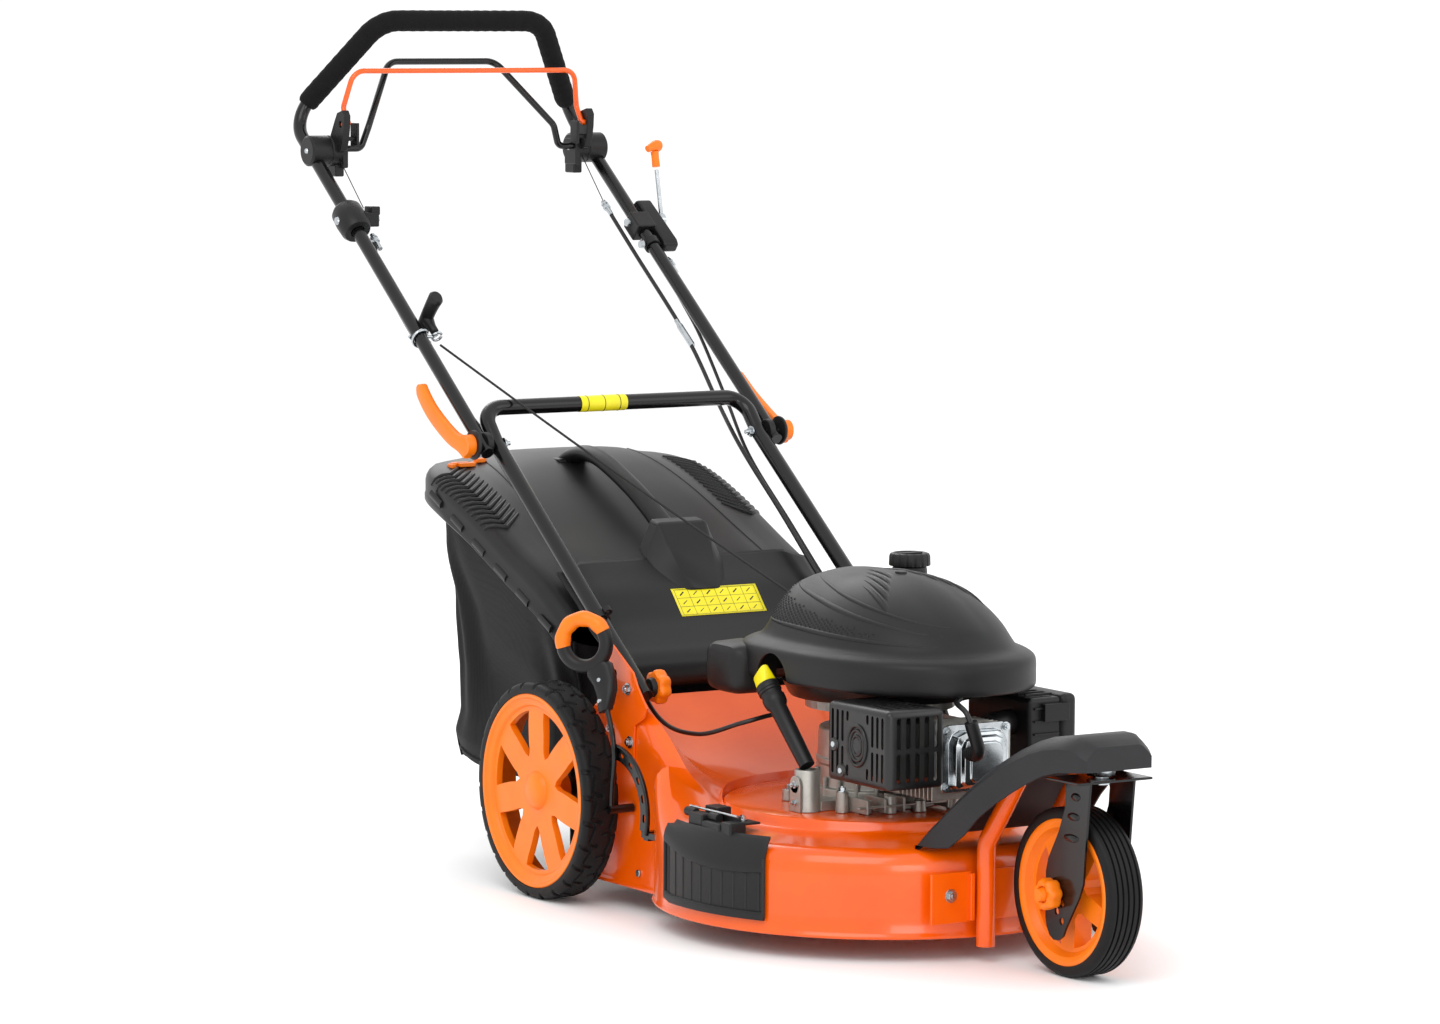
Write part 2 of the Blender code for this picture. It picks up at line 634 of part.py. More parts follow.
def caster():
    """The swivelling fork, its wheel, and the axle bolt with the star knob."""
    swivel = joint("caster_swivel", (0.0, SWIVEL_Y, FRAME_TOP_Z))
    plate_top = FRAME_TOP_Z - 0.018
    pieces = [box((-0.052, SWIVEL_Y - 0.030, plate_top - 0.004), (0.052, SWIVEL_Y + 0.034, plate_top)),
              rod((0.0, SWIVEL_Y, plate_top - 0.006), (0.0, SWIVEL_Y, FRAME_TOP_Z + 0.024), 0.0095,
                  sides=20)]
    for side in (-1, 1):
        y = FRONT_WHEEL_Y
        outline = [(SWIVEL_Y - 0.022, plate_top - 0.001), (SWIVEL_Y + 0.026, plate_top - 0.001),
                   (y - 0.010, 0.170),
                   (y + 0.016, 0.135), (y + 0.018, 0.060), (y + 0.008, 0.046), (y - 0.018, 0.050),
                   (y - 0.050, 0.100), (y - 0.058, 0.165)]
        x = sorted((side * 0.0305, side * 0.0340))
        pieces.append(plate(outline, *x))
    fork = joined("caster_fork", pieces, "black_paint", swivel["at"], swivel)
    holes = bmesh.new()
    for k in range(4):
        z = FRONT_WHEEL_R - 0.013 * k
        add_rod(holes, (-0.05, FRONT_WHEEL_Y - 0.006 * (k % 2), z), (0.05, FRONT_WHEEL_Y - 0.006 * (k % 2),
                                                                     z),
                0.0052, sides=12)
    boolean(fork, cutter("axle_holes", holes))
    bolt = [rod((-0.046, FRONT_WHEEL_Y, FRONT_WHEEL_R), (0.046, FRONT_WHEEL_Y, FRONT_WHEEL_R), 0.0049,
                sides=12),
            rod((0.0345, FRONT_WHEEL_Y, FRONT_WHEEL_R), (0.042, FRONT_WHEEL_Y, FRONT_WHEEL_R), 0.009,
                sides=6),
            rod((-0.0345, FRONT_WHEEL_Y, FRONT_WHEEL_R), (-0.058, FRONT_WHEEL_Y, FRONT_WHEEL_R), 0.0175,
                0.0150, 10)]
    joined("front_axle", bolt, "orange_plastic", swivel["at"], swivel)
    spin = joint("front_wheel_spin", (0.0, FRONT_WHEEL_Y, FRONT_WHEEL_R))
    wheel("front", "", spin["at"], FRONT_WHEEL_R, FRONT_RIM_R, FRONT_TYRE_W, -1, 5, spin)


front_frame()
front_cover()
caster()


# ---------------------------------------------------------------- engine
def engine():
    base = DECK_TOP_Z + GAP
    y = ENGINE_Y
    case = joined("crankcase", [
        box((-0.105, y - 0.085, base), (0.105, y + 0.085, base + 0.014)),
        rod((0, y, base + 0.010), (0, y, base + 0.092), 0.078, sides=28),
        rod((-0.138, y - 0.045, base), (-0.138, y - 0.045, base + 0.052), 0.0155),
        box((-0.138, y - 0.056, base), (-0.070, y - 0.034, base + 0.012)),
        box((-0.052, y - 0.120, base + 0.024), (0.052, y - 0.050, base + 0.110))], "cast_alloy")
    bore = bmesh.new()
    add_rod(bore, (0, y, 0.10), (0, y, 0.35), 0.0135, sides=20)
    add_rod(bore, (-0.138, y - 0.045, base + 0.012), (-0.138, y - 0.045, 0.3), 0.0108)
    boolean(case, cutter("crankcase_bores", bore))
    fins = [box((-0.046, y - 0.205, base + 0.036), (0.046, y - 0.1203, base + 0.104))]
    for k in range(6):
        fin_y = y - 0.130 - 0.012 * k
        fins.append(box((-0.058, fin_y - 0.0035, base + 0.026), (0.058, fin_y, base + 0.114)))
    joined("cylinder", fins, "cast_alloy")
    cover = box((-0.050, y - 0.236, base + 0.036), (0.050, y - 0.2053, base + 0.118))
    piece = add("valve_cover", as_mesh("valve_cover", cover), "zinc_steel")
    bevel(piece, 0.008, 2)
    guard = add("muffler_guard", as_mesh("muffler_guard", box((-0.150, y - 0.240, 0.206), (-0.0665,
                                                                                           y - 0.106,
                                                                                           0.3045))),
                "black_paint")
    hollow = bmesh.new()
    add_box(hollow, (-0.148, y - 0.238, 0.15), (-0.060, y - 0.108, 0.3025))
    boolean(guard, cutter("guard_inside", hollow))
    slots = bmesh.new()
    for k in range(9):
        slot_y = y - 0.232 + 0.014 * k
        if k not in (3, 4, 5):
            add_box(slots, (-0.16, slot_y, 0.220), (-0.140, slot_y + 0.006, 0.294))
    for k in range(4):
        slot_x = -0.138 + 0.017 * k
        add_box(slots, (slot_x, y - 0.25, 0.220), (slot_x + 0.007, y - 0.230, 0.294))
    boolean(guard, cutter("guard_slots", slots))
    muffler = joined("muffler", [box((-0.140, y - 0.230, 0.214), (-0.070, y - 0.116, 0.292)),
                                 rod((-0.072, y - 0.160, 0.245), (-0.0585, y - 0.160, 0.245), 0.014)],
                                 "dark_steel")
    bevel(muffler, 0.006)
    boot = tube("spark_plug_boot", rounded([(-0.030, y - 0.2365, 0.246), (-0.030, y - 0.262, 0.246),
                                            (-0.045, y - 0.262, 0.288)], (0.012,), 3), 0.0085,
                                            "black_plastic")
    boot.data.bevel_resolution = 2
    box_piece = add("air_filter_box", as_mesh("air_filter_box", box((0.099, y - 0.185, 0.205),
                                                                   (0.170, y - 0.045, 0.300))),
                                                                   "black_plastic")
    bevel(box_piece, 0.008, 2)


def shroud_ring(scale_x, back, front, z, shift=0.0, count=24):
    """One level of the shroud: rounded, squarer at the back and drawn to a nose in front."""
    ring = []
    for k in range(count):
        a = 2 * math.pi * k / count
        c, s = math.cos(a), math.sin(a)
        power = 0.62 if s > 0 else 0.86
        x = scale_x * math.copysign(abs(c) ** power, c)
        y = (back if s > 0 else front) * math.copysign(abs(s) ** power, s)
        ring.append((x + 0.012 + shift, ENGINE_Y + y, z))
    return ring


def shroud():
    """The moulded cover over the flywheel, its raised top, the tank under its back and the filler cap."""
    bm = bmesh.new()
    levels = [(0.146, 0.190, 0.220, 0.3110), (0.150, 0.196, 0.226, 0.316), (0.150, 0.196, 0.226, 0.350),
              (0.144, 0.188, 0.218, 0.366), (0.124, 0.160, 0.200, 0.380), (0.112, 0.146, 0.186, 0.402),
              (0.090, 0.130, 0.140, 0.428), (0.062, 0.100, 0.070, 0.440), (0.024, 0.04, 0.02, 0.4425)]
    rings = [shroud_ring(*level) for level in levels]
    wall = 0.003
    inner = [shroud_ring(a - wall, b - wall, c - wall, z - (wall if z > 0.316 else 0.0)) for a, b, c,
             z in levels]
    loft(bm, list(reversed(inner)) + rings)
    body = add("engine_shroud", as_mesh("engine_shroud", bm), "black_plastic")
    openings = bmesh.new()
    add_rod(openings, (0.095, -0.300, 0.36), (0.095, -0.300, 0.46), 0.0275, sides=20)
    add_rod(openings, (-0.020, -0.205, 0.398), (-0.020, -0.260, 0.385), 0.006, sides=10)
    add_rod(openings, (-0.170, -0.335, 0.312), (-0.110, -0.335, 0.312), 0.034, sides=16)
    boolean(body, cutter("shroud_openings", openings))
    tank = joined("fuel_tank", [box((-0.085, -0.262, 0.3135), (0.118, -0.212, 0.343)),
                                rod((0.095, -0.300, 0.330), (0.095, -0.300, 0.4385), 0.0225, sides=20),
                                box((0.075, -0.318, 0.3135), (0.118, -0.250, 0.350))], "black_plastic")
    cap = joint("fuel_cap_lift", (0.095, -0.300, 0.4388))
    piece = add("fuel_cap", as_mesh("fuel_cap", rod((0.095, -0.300, 0.4388), (0.095, -0.300, 0.456),
                                                    0.0265, 0.0245, 20),
                                    cap["at"]), "black_plastic", cap["at"], cap)
    return tank, piece


def oil_filler():
    low = Vector((-0.138, ENGINE_Y - 0.045, DECK_TOP_Z + 0.0560))
    high = Vector((-0.146, -0.346, 0.300))
    up = (high - low).normalized()
    pipe = joined("oil_filler_tube", [rod(low, high - up * 0.012, 0.0098, 0.0112),
                                      rod(high - up * 0.016, high, 0.0150)], "black_plastic")
    lift = joint("dipstick_lift", tuple(high))
    cap = high + up * GAP
    joined("dipstick", [rod(cap, cap + up * 0.012, 0.0150, 0.0140),
                        box(cap + up * 0.010 - Vector((0.004, 0.014, 0.0)),
                            cap + up * 0.010 + Vector((0.004, 0.014, 0.018)))],
           "yellow_plastic", lift["at"], lift)
    return pipe


def crank():
    spin = joint("crank_spin", (0.0, ENGINE_Y, 0.2))
    y = ENGINE_Y
    at = spin["at"]
    joined("crankshaft", [rod((0, y, 0.070), (0, y, 0.3400), 0.0125, sides=20),
                          rod((0, y, 0.118), (0, y, 0.124), 0.028, sides=24),
                          rod((0, y, 0.124), (0, y, 0.132), 0.023, sides=24),
                          rod((0, y, 0.132), (0, y, 0.138), 0.028, sides=24),
                          rod((0, y, 0.0598), (0, y, 0.0720), 0.030, sides=24),
                          rod((0, y, 0.0500), (0, y, 0.0600), 0.0057),
                          rod((0, y, 0.0480), (0, y, 0.0557), 0.012, sides=6)], "zinc_steel", at, spin)
    disc = rod((0, y, 0.2760), (0, y, 0.304), 0.094, sides=36)
    wheel_piece = add("flywheel", as_mesh("flywheel", disc, at), "cast_alloy", at, spin)
    hole = rod((0, y, 0.26), (0, y, 0.35), 0.0125 + GAP, sides=20)
    boolean(wheel_piece, cutter("flywheel_bore", hole))
    half = BLADE_LENGTH / 2
    bm = bmesh.new()
    rings = []
    for x, low, tilt in ((-half, 0.0, 0.010), (-half + 0.09, 0.0, 0.0), (half - 0.09, 0.0, 0.0), (half,
                                                                                                  0.0,
                                                                                                  0.010)):
        lift = 0.012 if tilt else 0.0
        front, back = (0.0, lift) if x > 0 else (lift, 0.0)
        rings.append([(x, y - 0.027, 0.056 + front), (x, y + 0.027, 0.056 + back),
                      (x, y + 0.027, 0.0595 + back), (x, y - 0.027, 0.0595 + front)])
    loft(bm, rings)
    blade = add("blade", as_mesh("blade", bm, at), "dark_steel", at, spin)
    boolean(blade, cutter("blade_bore", rod((0, y, 0.04), (0, y, 0.08), 0.0060 + GAP)))
    deck_hole = rod((0, y, 0.14), (0, y, 0.18), 0.0140, sides=20)
    boolean(bpy.data.objects["deck_shell"], cutter("crank_hole", deck_hole))


engine()
shroud()
oil_filler()
crank()


def drive_belt():
    """The belt from the crankshaft's pulley back to the gearbox."""
    back_y = B_Y - 0.054
    z = 0.128
    outer = arc((0.0, ENGINE_Y), 0.0305, 180, 360, 10) + arc((0.0, back_y), 0.0205, 0, 180, 10)
    inner = arc((0.0, ENGINE_Y), 0.0235, 180, 360, 10) + arc((0.0, back_y), 0.0135, 0, 180, 10)
    bm = bmesh.new()
    rings = [[(a, b, c) for a, b in line] for line, c in ((outer, z - 0.0038), (outer, z + 0.0038),
                                                         (inner, z + 0.0038), (inner, z - 0.0038))]
    made = [[bm.verts.new(p) for p in ring] for ring in rings]
    count = len(outer)
    for n in range(4):
        lower, upper = made[n], made[(n + 1) % 4]
        for k in range(count):
            j = (k + 1) % count
            bm.faces.new((lower[k], lower[j], upper[j], upper[k]))
    add("drive_belt", as_mesh("drive_belt", bm), "belt_rubber")


drive_belt()


# ---------------------------------------------------------------- rear flap and grass bag
FLAP_HINGE = (-0.036, 0.2705)


def strip(name, spine, half, wall, material, at=(0.0, 0.0, 0.0), parent=None):
    """A sheet bent along (y, z) points and extruded across the mower."""
    top = [Vector((0.0, *p)) for p in spine]
    under = []
    for k, point in enumerate(top):
        way = (top[min(k + 1, len(top) - 1)] - top[max(k - 1, 0)]).normalized()
        under.append(point + Vector((0.0, way.z, -way.y)) * wall)
    outline = [(p.y, p.z) for p in top] + [(p.y, p.z) for p in reversed(under)]
    bm = plate(outline, -half, half)
    return add(name, as_mesh(name, bm, at), material, at, parent)


def rear_flap():
    """The sprung guard over the bag's mouth, with the raised hood over the front of the bag's handle."""
    y, z = FLAP_HINGE
    swing = joint("rear_flap_hinge", (0.0, y, z))
    spine = [(y - 0.003, z - 0.004), (y - 0.012, z + 0.010), (y - 0.010, z + 0.028), (y + 0.012, z + 0.050),
             (0.014, 0.349), (0.046, 0.384), (0.094, 0.4205)]
    flap = strip("rear_flap", spine, 0.186, -0.0025, "black_plastic", swing["at"], swing)
    hood = bmesh.new()
    rings = [[(-0.030, 0.052, 0.388), (0.030, 0.052, 0.388), (0.026, 0.060, 0.398), (-0.026, 0.060, 0.398)],
             [(-0.052, 0.088, 0.4165), (0.052, 0.088, 0.4165), (0.036, 0.080, 0.455), (-0.036, 0.080,
                                                                                       0.455)],
             [(-0.056, 0.094, 0.4205), (0.056, 0.094, 0.4205), (0.036, 0.1205, 0.468), (-0.036, 0.1205,
                                                                                        0.468)]]
    loft(hood, rings)
    boolean(flap, cutter("flap_hood", hood), "UNION")
    return flap


def bag():
    """The bag's moulded lid with its handle, and the closed solid of the sagging fabric under it."""
    lift = joint("bag_lift", (0.0, 0.25, 0.40))
    at = lift["at"]
    bm = bmesh.new()
    rings = []
    for y, half, z, flat in ((0.034, 0.214, 0.3560, 0.135), (0.098, 0.219, 0.4000, 0.135), (0.180, 0.220,
                                                                                            0.4375, 0.140),
                             (0.280, 0.220, 0.4830, 0.140), (0.360, 0.219, 0.5120, 0.138), (0.440, 0.196,
                                                                                            0.5290, 0.120),
                             (0.492, 0.130, 0.5200, 0.080)):
        low = z - 0.052
        rings.append([(-half, y, low), (-half, y, z - 0.020), (-half + 0.016, y, z - 0.004), (-flat, y,
                                                                                              z + 0.003),
                      (flat, y, z + 0.003), (half - 0.016, y, z - 0.004), (half, y, z - 0.020), (half, y,
                                                                                                 low),
                      (half - 0.003, y, low), (half - 0.003, y, z - 0.0212), (half - 0.0172, y, z - 0.0068),
                      (flat, y, z), (-flat, y, z), (-half + 0.0172, y, z - 0.0068), (-half + 0.003, y,
                                                                                     z - 0.0212),
                      (-half + 0.003, y, low)])
    loft(bm, rings)
    grip = bmesh.new()
    path = rounded([(0, 0.386, 0.512), (0, 0.345, 0.538), (0, 0.230, 0.510), (0, 0.128, 0.449), (0, 0.124,
                                                                                                 0.410)],
                   (0.020, 0.10, 0.020), 4)
    curve_to_bm(grip, tube_curve("bag_grip", path, 0.0125, 2))
    joined("bag_lid", [bm, grip], "black_plastic", at, lift)
    cloth = bmesh.new()
    rings = []
    for z, front, back, half in ((0.1265, 0.062, 0.395, 0.170), (0.150, 0.040, 0.425, 0.186), (0.230,
                                                                                               0.034,
                                                                                               0.405,
                                                                                               0.192),
                                 (0.305, 0.030, 0.408, 0.206)):
        rings.append([(-half, front, z), (-half, back - 0.02, z), (-half + 0.03, back, z), (half - 0.03,
                                                                                            back, z),
                      (half, back - 0.02, z), (half, front, z)])
    top = [(-0.2105, 0.030, 0.3080), (-0.2155, 0.360, 0.4560), (-0.180, 0.430, 0.4740), (0.180, 0.430,
                                                                                         0.4740),
           (0.2155, 0.360, 0.4560), (0.2105, 0.030, 0.3080)]
    rings.append(top)
    loft(cloth, rings)
    fabric = add("bag_fabric", as_mesh("bag_fabric", cloth, at), "bag_fabric", at, lift)
    mouth = box((-0.160, 0.020, 0.190), (0.160, 0.360, 0.290))
    boolean(fabric, cutter("bag_inside", mouth))


rear_flap()
bag()


# ---------------------------------------------------------------- handles
LEG_WAY = (Vector((0.0, *FOLD)) - Vector((0.0, *LEG_PIVOT))).normalized()


def lower_handle():
    """The bent tube of the lower handle: two legs and the crossbar between their tops."""
    swing = joint("lower_handle_swing", (0.0, *LEG_PIVOT))
    at = swing["at"]
    foot = Vector((0.0, *LEG_PIVOT)) - LEG_WAY * 0.016
    bend = Vector((0.0, *FOLD)) + LEG_WAY * 0.050
    bend.z += 0.014
    x = LEG_X
    path = rounded([(-x, foot.y, foot.z), (-x, *FOLD), (-x, bend.y, bend.z), (x, bend.y, bend.z), (x,
                                                                                                   *FOLD),
                    (x, foot.y, foot.z)], (0.06, 0.030, 0.030, 0.06), 5)
    bm = bmesh.new()
    curve_to_bm(bm, tube_curve("leg_tube", path, LEG_R, 2))
    handle = joined("lower_handle", [bm], "black_paint", at, swing)
    holes = bmesh.new()
    for y, z in (FOLD, LEG_PIVOT):
        add_rod(holes, (-0.3, y, z), (0.3, y, z), 0.0036, sides=12)
    boolean(handle, cutter("leg_holes", holes))
    y, z = LEG_PIVOT
    for side, name in ((-1, "right"), (1, "left")):
        inner = side * (LEG_X - LEG_R - 0.0008)
        knob = [rod((inner - side * 0.024, y, z), (inner, y, z), 0.0165, 0.0195, 10),
                rod((inner - side * 0.012, y, z), (side * (DECK_SIDE_X + 0.0092), y, z), 0.0030, sides=10)]
        joined(f"leg_knob_{name}", knob, "orange_plastic", at, swing)
        for target in (f"handle_bracket_{name}", "deck_shell"):
            bolt_hole = rod((side * 0.2, y, z), (side * 0.24, y, z), 0.0034, sides=12)
            boolean(bpy.data.objects[target], cutter(f"{target}_bolt_hole", bolt_hole))


UPPER_WAY = (Vector((0.0, *HANDLE_BEND)) - Vector((0.0, *FOLD))).normalized()
UPPER_X = LEG_X + 0.0208


def on_upper(distance, x=UPPER_X, off=0.0):
    """A point on the upper handle's straight leg: a distance from the fold, and an offset square to it."""
    square = Vector((0.0, UPPER_WAY.z, -UPPER_WAY.y))
    return Vector((x, *FOLD)) + UPPER_WAY * distance + square * off


def upper_handle():
    """The folding upper tube, its foam grip, and the cam levers that lock the fold."""
    fold = joint("upper_handle_fold", (0.0, *FOLD))
    at = fold["at"]
    x, top_x = UPPER_X, HANDLE_TOP_X
    low = on_upper(-0.018, x)
    path = rounded([(-x, low.y, low.z), (-x, *HANDLE_BEND), (-top_x, *HANDLE_TOP), (top_x, *HANDLE_TOP),
                    (x, *HANDLE_BEND), (x, low.y, low.z)], (0.045, 0.050, 0.050, 0.045), 5)
    bm = bmesh.new()
    curve_to_bm(bm, tube_curve("upper_tube", path, UPPER_R, 2))
    handle = joined("upper_handle", [bm], "black_paint", at, fold)
    pin = bmesh.new()
    add_rod(pin, (-0.3, *FOLD), (0.3, *FOLD), 0.0036, sides=12)
    boolean(handle, cutter("fold_holes", pin))
    ends = [path[5].lerp(path[6], 0.12), path[-6].lerp(path[-7], 0.12)]
    grip = bmesh.new()
    curve_to_bm(grip, tube_curve("foam", [ends[0], *path[6:-6], ends[1]], FOAM_R, 2))
    foam = joined("foam_grip", [grip], "foam", at, fold)
    core = bmesh.new()
    curve_to_bm(core, tube_curve("foam_core", path, UPPER_R + GAP, 2))
    boolean(foam, cutter("foam_core", core))
    for side, name in ((-1, "right"), (1, "left")):
        y, z = HUB
        middle = side * 0.2120
        hub = [rod((middle - HUB_L / 2, y, z), (middle + HUB_L / 2, y, z), HUB_R, sides=20)]
        piece = joined(f"bail_hub_{name}", hub, "black_plastic", at, fold)
        bore = bmesh.new()
        curve_to_bm(bore, tube_curve("hub_bore", path, UPPER_R + GAP, 2))
        boolean(piece, cutter(f"hub_bore_{name}", bore))
        pivot = rod((side * 0.18, y - 0.012, z + 0.003), (side * 0.192, y - 0.012, z + 0.003), 0.0055,
                    sides=12)
        boolean(piece, cutter(f"hub_socket_{name}", pivot))
        outside = x + UPPER_R + GAP
        swing = joint(f"cam_lever_{name}_swing", (side * (outside + 0.013), FOLD[0], FOLD[1]))
        cam = [rod((side * (outside + 0.001), *FOLD), (side * (outside + 0.020), *FOLD), 0.0140, sides=16),
               rod((side * (LEG_X - LEG_R - 0.010), *FOLD), (side * (outside + 0.003), *FOLD), 0.0030,
                   sides=10)]
        handle_bar = bmesh.new()
        add_plate(handle_bar, [(0.222, 0.556), (0.238, 0.578), (0.300, 0.606), (0.352, 0.638), (0.366,
                                                                                                0.624),
                               (0.318, 0.584), (0.262, 0.556)],
                               *sorted((side * (outside + 0.006), side * (outside + 0.018))))
        cam.append(handle_bar)
        joined(f"cam_lever_{name}", cam, "orange_plastic", swing["at"], swing)
    return path


def bails():
    """The orange blade-stop bail and the black drive bail, each turning in the barrels."""
    y, z = HUB[0] - 0.012, HUB[1] + 0.003
    drive = joint("drive_bail_swing", (0.0, y, z))
    ends = 0.1852
    path = rounded([(-ends, y, z), (-0.160, y, z), (-0.150, y - 0.004, z + 0.030), (-0.086, 0.744, 1.066),
                    (0.086, 0.744, 1.066), (0.150, y - 0.004, z + 0.030), (0.160, y, z), (ends, y, z)],
                   (0.010, 0.014, 0.026, 0.026, 0.014, 0.010), 4)
    tube("drive_bail", path, 0.0048, "black_paint", drive["at"], drive)
    y, z = 0.6720, 0.9800
    stop = joint("blade_bail_swing", (0.0, y, z))
    path = rounded([(-0.1990, y, z), (-0.1880, y, z), (-0.1890, 0.688, 1.002), (-0.1780, 0.676, 1.054),
                    (0.1780, 0.676, 1.054), (0.1890, 0.688, 1.002), (0.1880, y, z), (0.1990, y, z)],
                   (0.004, 0.012, 0.020, 0.020, 0.012, 0.004), 4)
    tube("blade_bail", path, 0.0037, "orange_paint", stop["at"], stop)
    for side, name in ((-1, "right"), (1, "left")):
        hub = bpy.data.objects[f"bail_hub_{name}"]
        lug = plate([(y - 0.009, z - 0.004), (y + 0.006, z - 0.030), (HUB[0], HUB[1] - 0.012),
                     (HUB[0] + 0.008, HUB[1]),
                     (y + 0.014, z + 0.012), (y - 0.006, z + 0.012)],
                     *sorted((side * 0.1925, side * 0.2010)))
        boolean(hub, cutter(f"hub_lug_{name}", lug), "UNION")
        socket = rod((side * 0.18, y, z), (side * 0.21, y, z), 0.0037 + RUN, sides=12)
        boolean(hub, cutter(f"lug_bore_{name}", socket))


def controls():
    """The throttle box and its lever on the left, and the starter's T grip parked on the right leg."""
    fold = bpy.data.objects["upper_handle_fold"]
    at = fold["at"]
    x = UPPER_X
    middle = on_upper(0.4350, x)
    square = Vector((0.0, UPPER_WAY.z, -UPPER_WAY.y))
    shape = [(-0.050, -0.008), (-0.042, 0.010), (0.010, 0.016), (0.048, 0.004), (0.050, -0.010)]
    outline = [(middle + UPPER_WAY * a + square * b) for a, b in shape]
    flat = [(p.y, p.z) for p in outline]
    case = joined("throttle_box", [plate(flat, x + UPPER_R + 0.002, x + UPPER_R + 0.026),
                                   plate([(p.y, p.z) for p in (middle + UPPER_WAY * 0.016 - square * 0.016,
                                                                middle + UPPER_WAY * 0.016 + square * 0.015,
                                                                middle - UPPER_WAY * 0.016 + square * 0.015,
                                                                middle - UPPER_WAY * 0.016 - square * 0.016)],
                                         x - UPPER_R - 0.006, x + UPPER_R + 0.006)], "black_plastic", at,
                                         fold)
    bore = rod(on_upper(0.3, x), on_upper(0.6, x), UPPER_R + GAP, sides=16)
    boolean(case, cutter("box_bore", bore))
    pivot = middle + UPPER_WAY * 0.012
    lever_x = x + UPPER_R + 0.0265
    swing = joint("throttle_lever_swing", (lever_x, pivot.y, pivot.z))
    knob = Vector((lever_x + 0.006, pivot.y + 0.020, 0.9405))
    lever = [rod((lever_x, pivot.y, pivot.z), (lever_x + 0.0090, pivot.y, pivot.z), 0.010),
             rod((lever_x + 0.006, pivot.y, pivot.z), knob, 0.0030, 0.0055, 10),
             rod(knob + Vector((0.0, -0.012, -0.003)), knob + Vector((0.0, 0.012, 0.008)), 0.0085,
                 sides=12)]
    joined("throttle_lever", lever, "orange_plastic", swing["at"], swing)
    guide = joined("rope_guide", [rod(on_upper(0.206, -x), on_upper(0.226, -x), UPPER_R + 0.0035),
                                  rod(on_upper(0.216, -x + 0.011), on_upper(0.216, -x + 0.034), 0.0035,
                                      sides=10)],
                   "zinc_steel", at, fold)
    boolean(guide, cutter("guide_bore", rod(on_upper(0.18, -x), on_upper(0.25, -x), UPPER_R + GAP,
                                            sides=16)))
    clamp = joined("cable_clamp", [rod(on_upper(0.438, -x), on_upper(0.482, -x), UPPER_R + 0.011, sides=16),
                                   box(on_upper(0.460, -x + 0.012) - Vector((0.0, 0.016, 0.014)),
                                       on_upper(0.460, -x + 0.036) + Vector((0.0, 0.016, 0.014)))],
                   "black_plastic", at, fold)
    boolean(clamp, cutter("clamp_bore", rod(on_upper(0.40, -x), on_upper(0.52, -x), UPPER_R + GAP,
                                            sides=16)))
    hold = on_upper(0.216, -x + 0.026, 0.0)
    pull = (on_upper(0.262, -x + 0.026) - hold).normalized()
    slide = joint("starter_pull", tuple(hold))
    foot = hold + Vector((0, 0.0042, 0.0052))
    head = foot + pull * 0.030
    across = Vector((0.0, -pull.z, pull.y))
    grip = [rod(foot, head, 0.0052, 0.0075, 12), rod(head - across * 0.042, head + across * 0.042, 0.0105,
                                                     sides=12)]
    joined("starter_grip", grip, "black_plastic", slide["at"], slide)


lower_handle()
upper_handle()
bails()
controls()


# ---------------------------------------------------------------- cables and rope
def cables():
    """The sheathed control cables and the starter rope, whole, along their routes."""
    x = UPPER_X
    swing = bpy.data.objects["lower_handle_swing"]
    at = swing["at"]
    stop = [on_upper(0.432, -x + 0.024, 0.006), on_upper(0.36, -x + 0.010, 0.016), on_upper(0.22,
                                                                                            -x + 0.004,
                                                                                            0.0150),
            on_upper(0.08, -x + 0.022, 0.018), Vector((-0.187, 0.225, 0.535)),
            Vector((-0.184, 0.120, 0.455)),
            Vector((-0.184, 0.020, 0.372)), Vector((-0.186, -0.060, 0.322)),
            Vector((-0.176, -0.130, 0.244)),
            Vector((-0.170, -0.215, 0.2315)), Vector((-0.150, -0.285, 0.252)),
            Vector((-0.112, -0.300, 0.262)),
            Vector((-0.0905, -0.306, 0.262))]
    tube("blade_cable", smooth_path(stop, 0.030), 0.0029, "cable_sheath", at, swing)
    drive = [on_upper(0.500, x - 0.024, 0.012), on_upper(0.40, x - 0.022, 0.016), on_upper(0.22, x - 0.020,
                                                                                           0.020),
             on_upper(0.09, x - 0.034, 0.022), Vector((0.176, 0.225, 0.546)), Vector((0.173, 0.120, 0.467)),
             Vector((0.174, 0.020, 0.384)), Vector((0.186, -0.052, 0.322)), Vector((0.185, -0.130, 0.262)),
             Vector((0.150, -0.205, 0.246)), Vector((0.090, -0.232, 0.232)), Vector((0.060, -0.232, 0.226))]
    tube("drive_cable", smooth_path(drive, 0.030), 0.0029, "cable_sheath", at, swing)
    gas = [on_upper(0.375, x + 0.024, 0.014), on_upper(0.33, x + 0.010, 0.018), on_upper(0.22, x - 0.001,
                                                                                         0.0155),
           on_upper(0.09, x - 0.018, 0.022), Vector((0.189, 0.225, 0.535)), Vector((0.186, 0.120, 0.455)),
           Vector((0.186, 0.020, 0.376)), Vector((0.176, -0.056, 0.345)), Vector((0.164, -0.130, 0.318)),
           Vector((0.158, -0.205, 0.290)), Vector((0.150, -0.282, 0.274)), Vector((0.120, -0.300, 0.276)),
           Vector((0.095, -0.306, 0.276))]
    tube("throttle_cable", smooth_path(gas, 0.030), 0.0024, "cable_sheath", at, swing)
    rope = [(-0.020, -0.2150, 0.3960), (-0.2010, 0.3905, 0.6895)]
    start, end = Vector(rope[0]), Vector(rope[1])
    path = [start.lerp(end, k / 10) - Vector((0, 0, 0.004 * math.sin(math.pi * k / 10))) for k in range(11)]
    tube("starter_rope", path, 0.0016, "cable_sheath", at, swing, 1)


cables()
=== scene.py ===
"""Looks of the push lawn mower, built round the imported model. Metres, +Z up, the front faces -Y."""

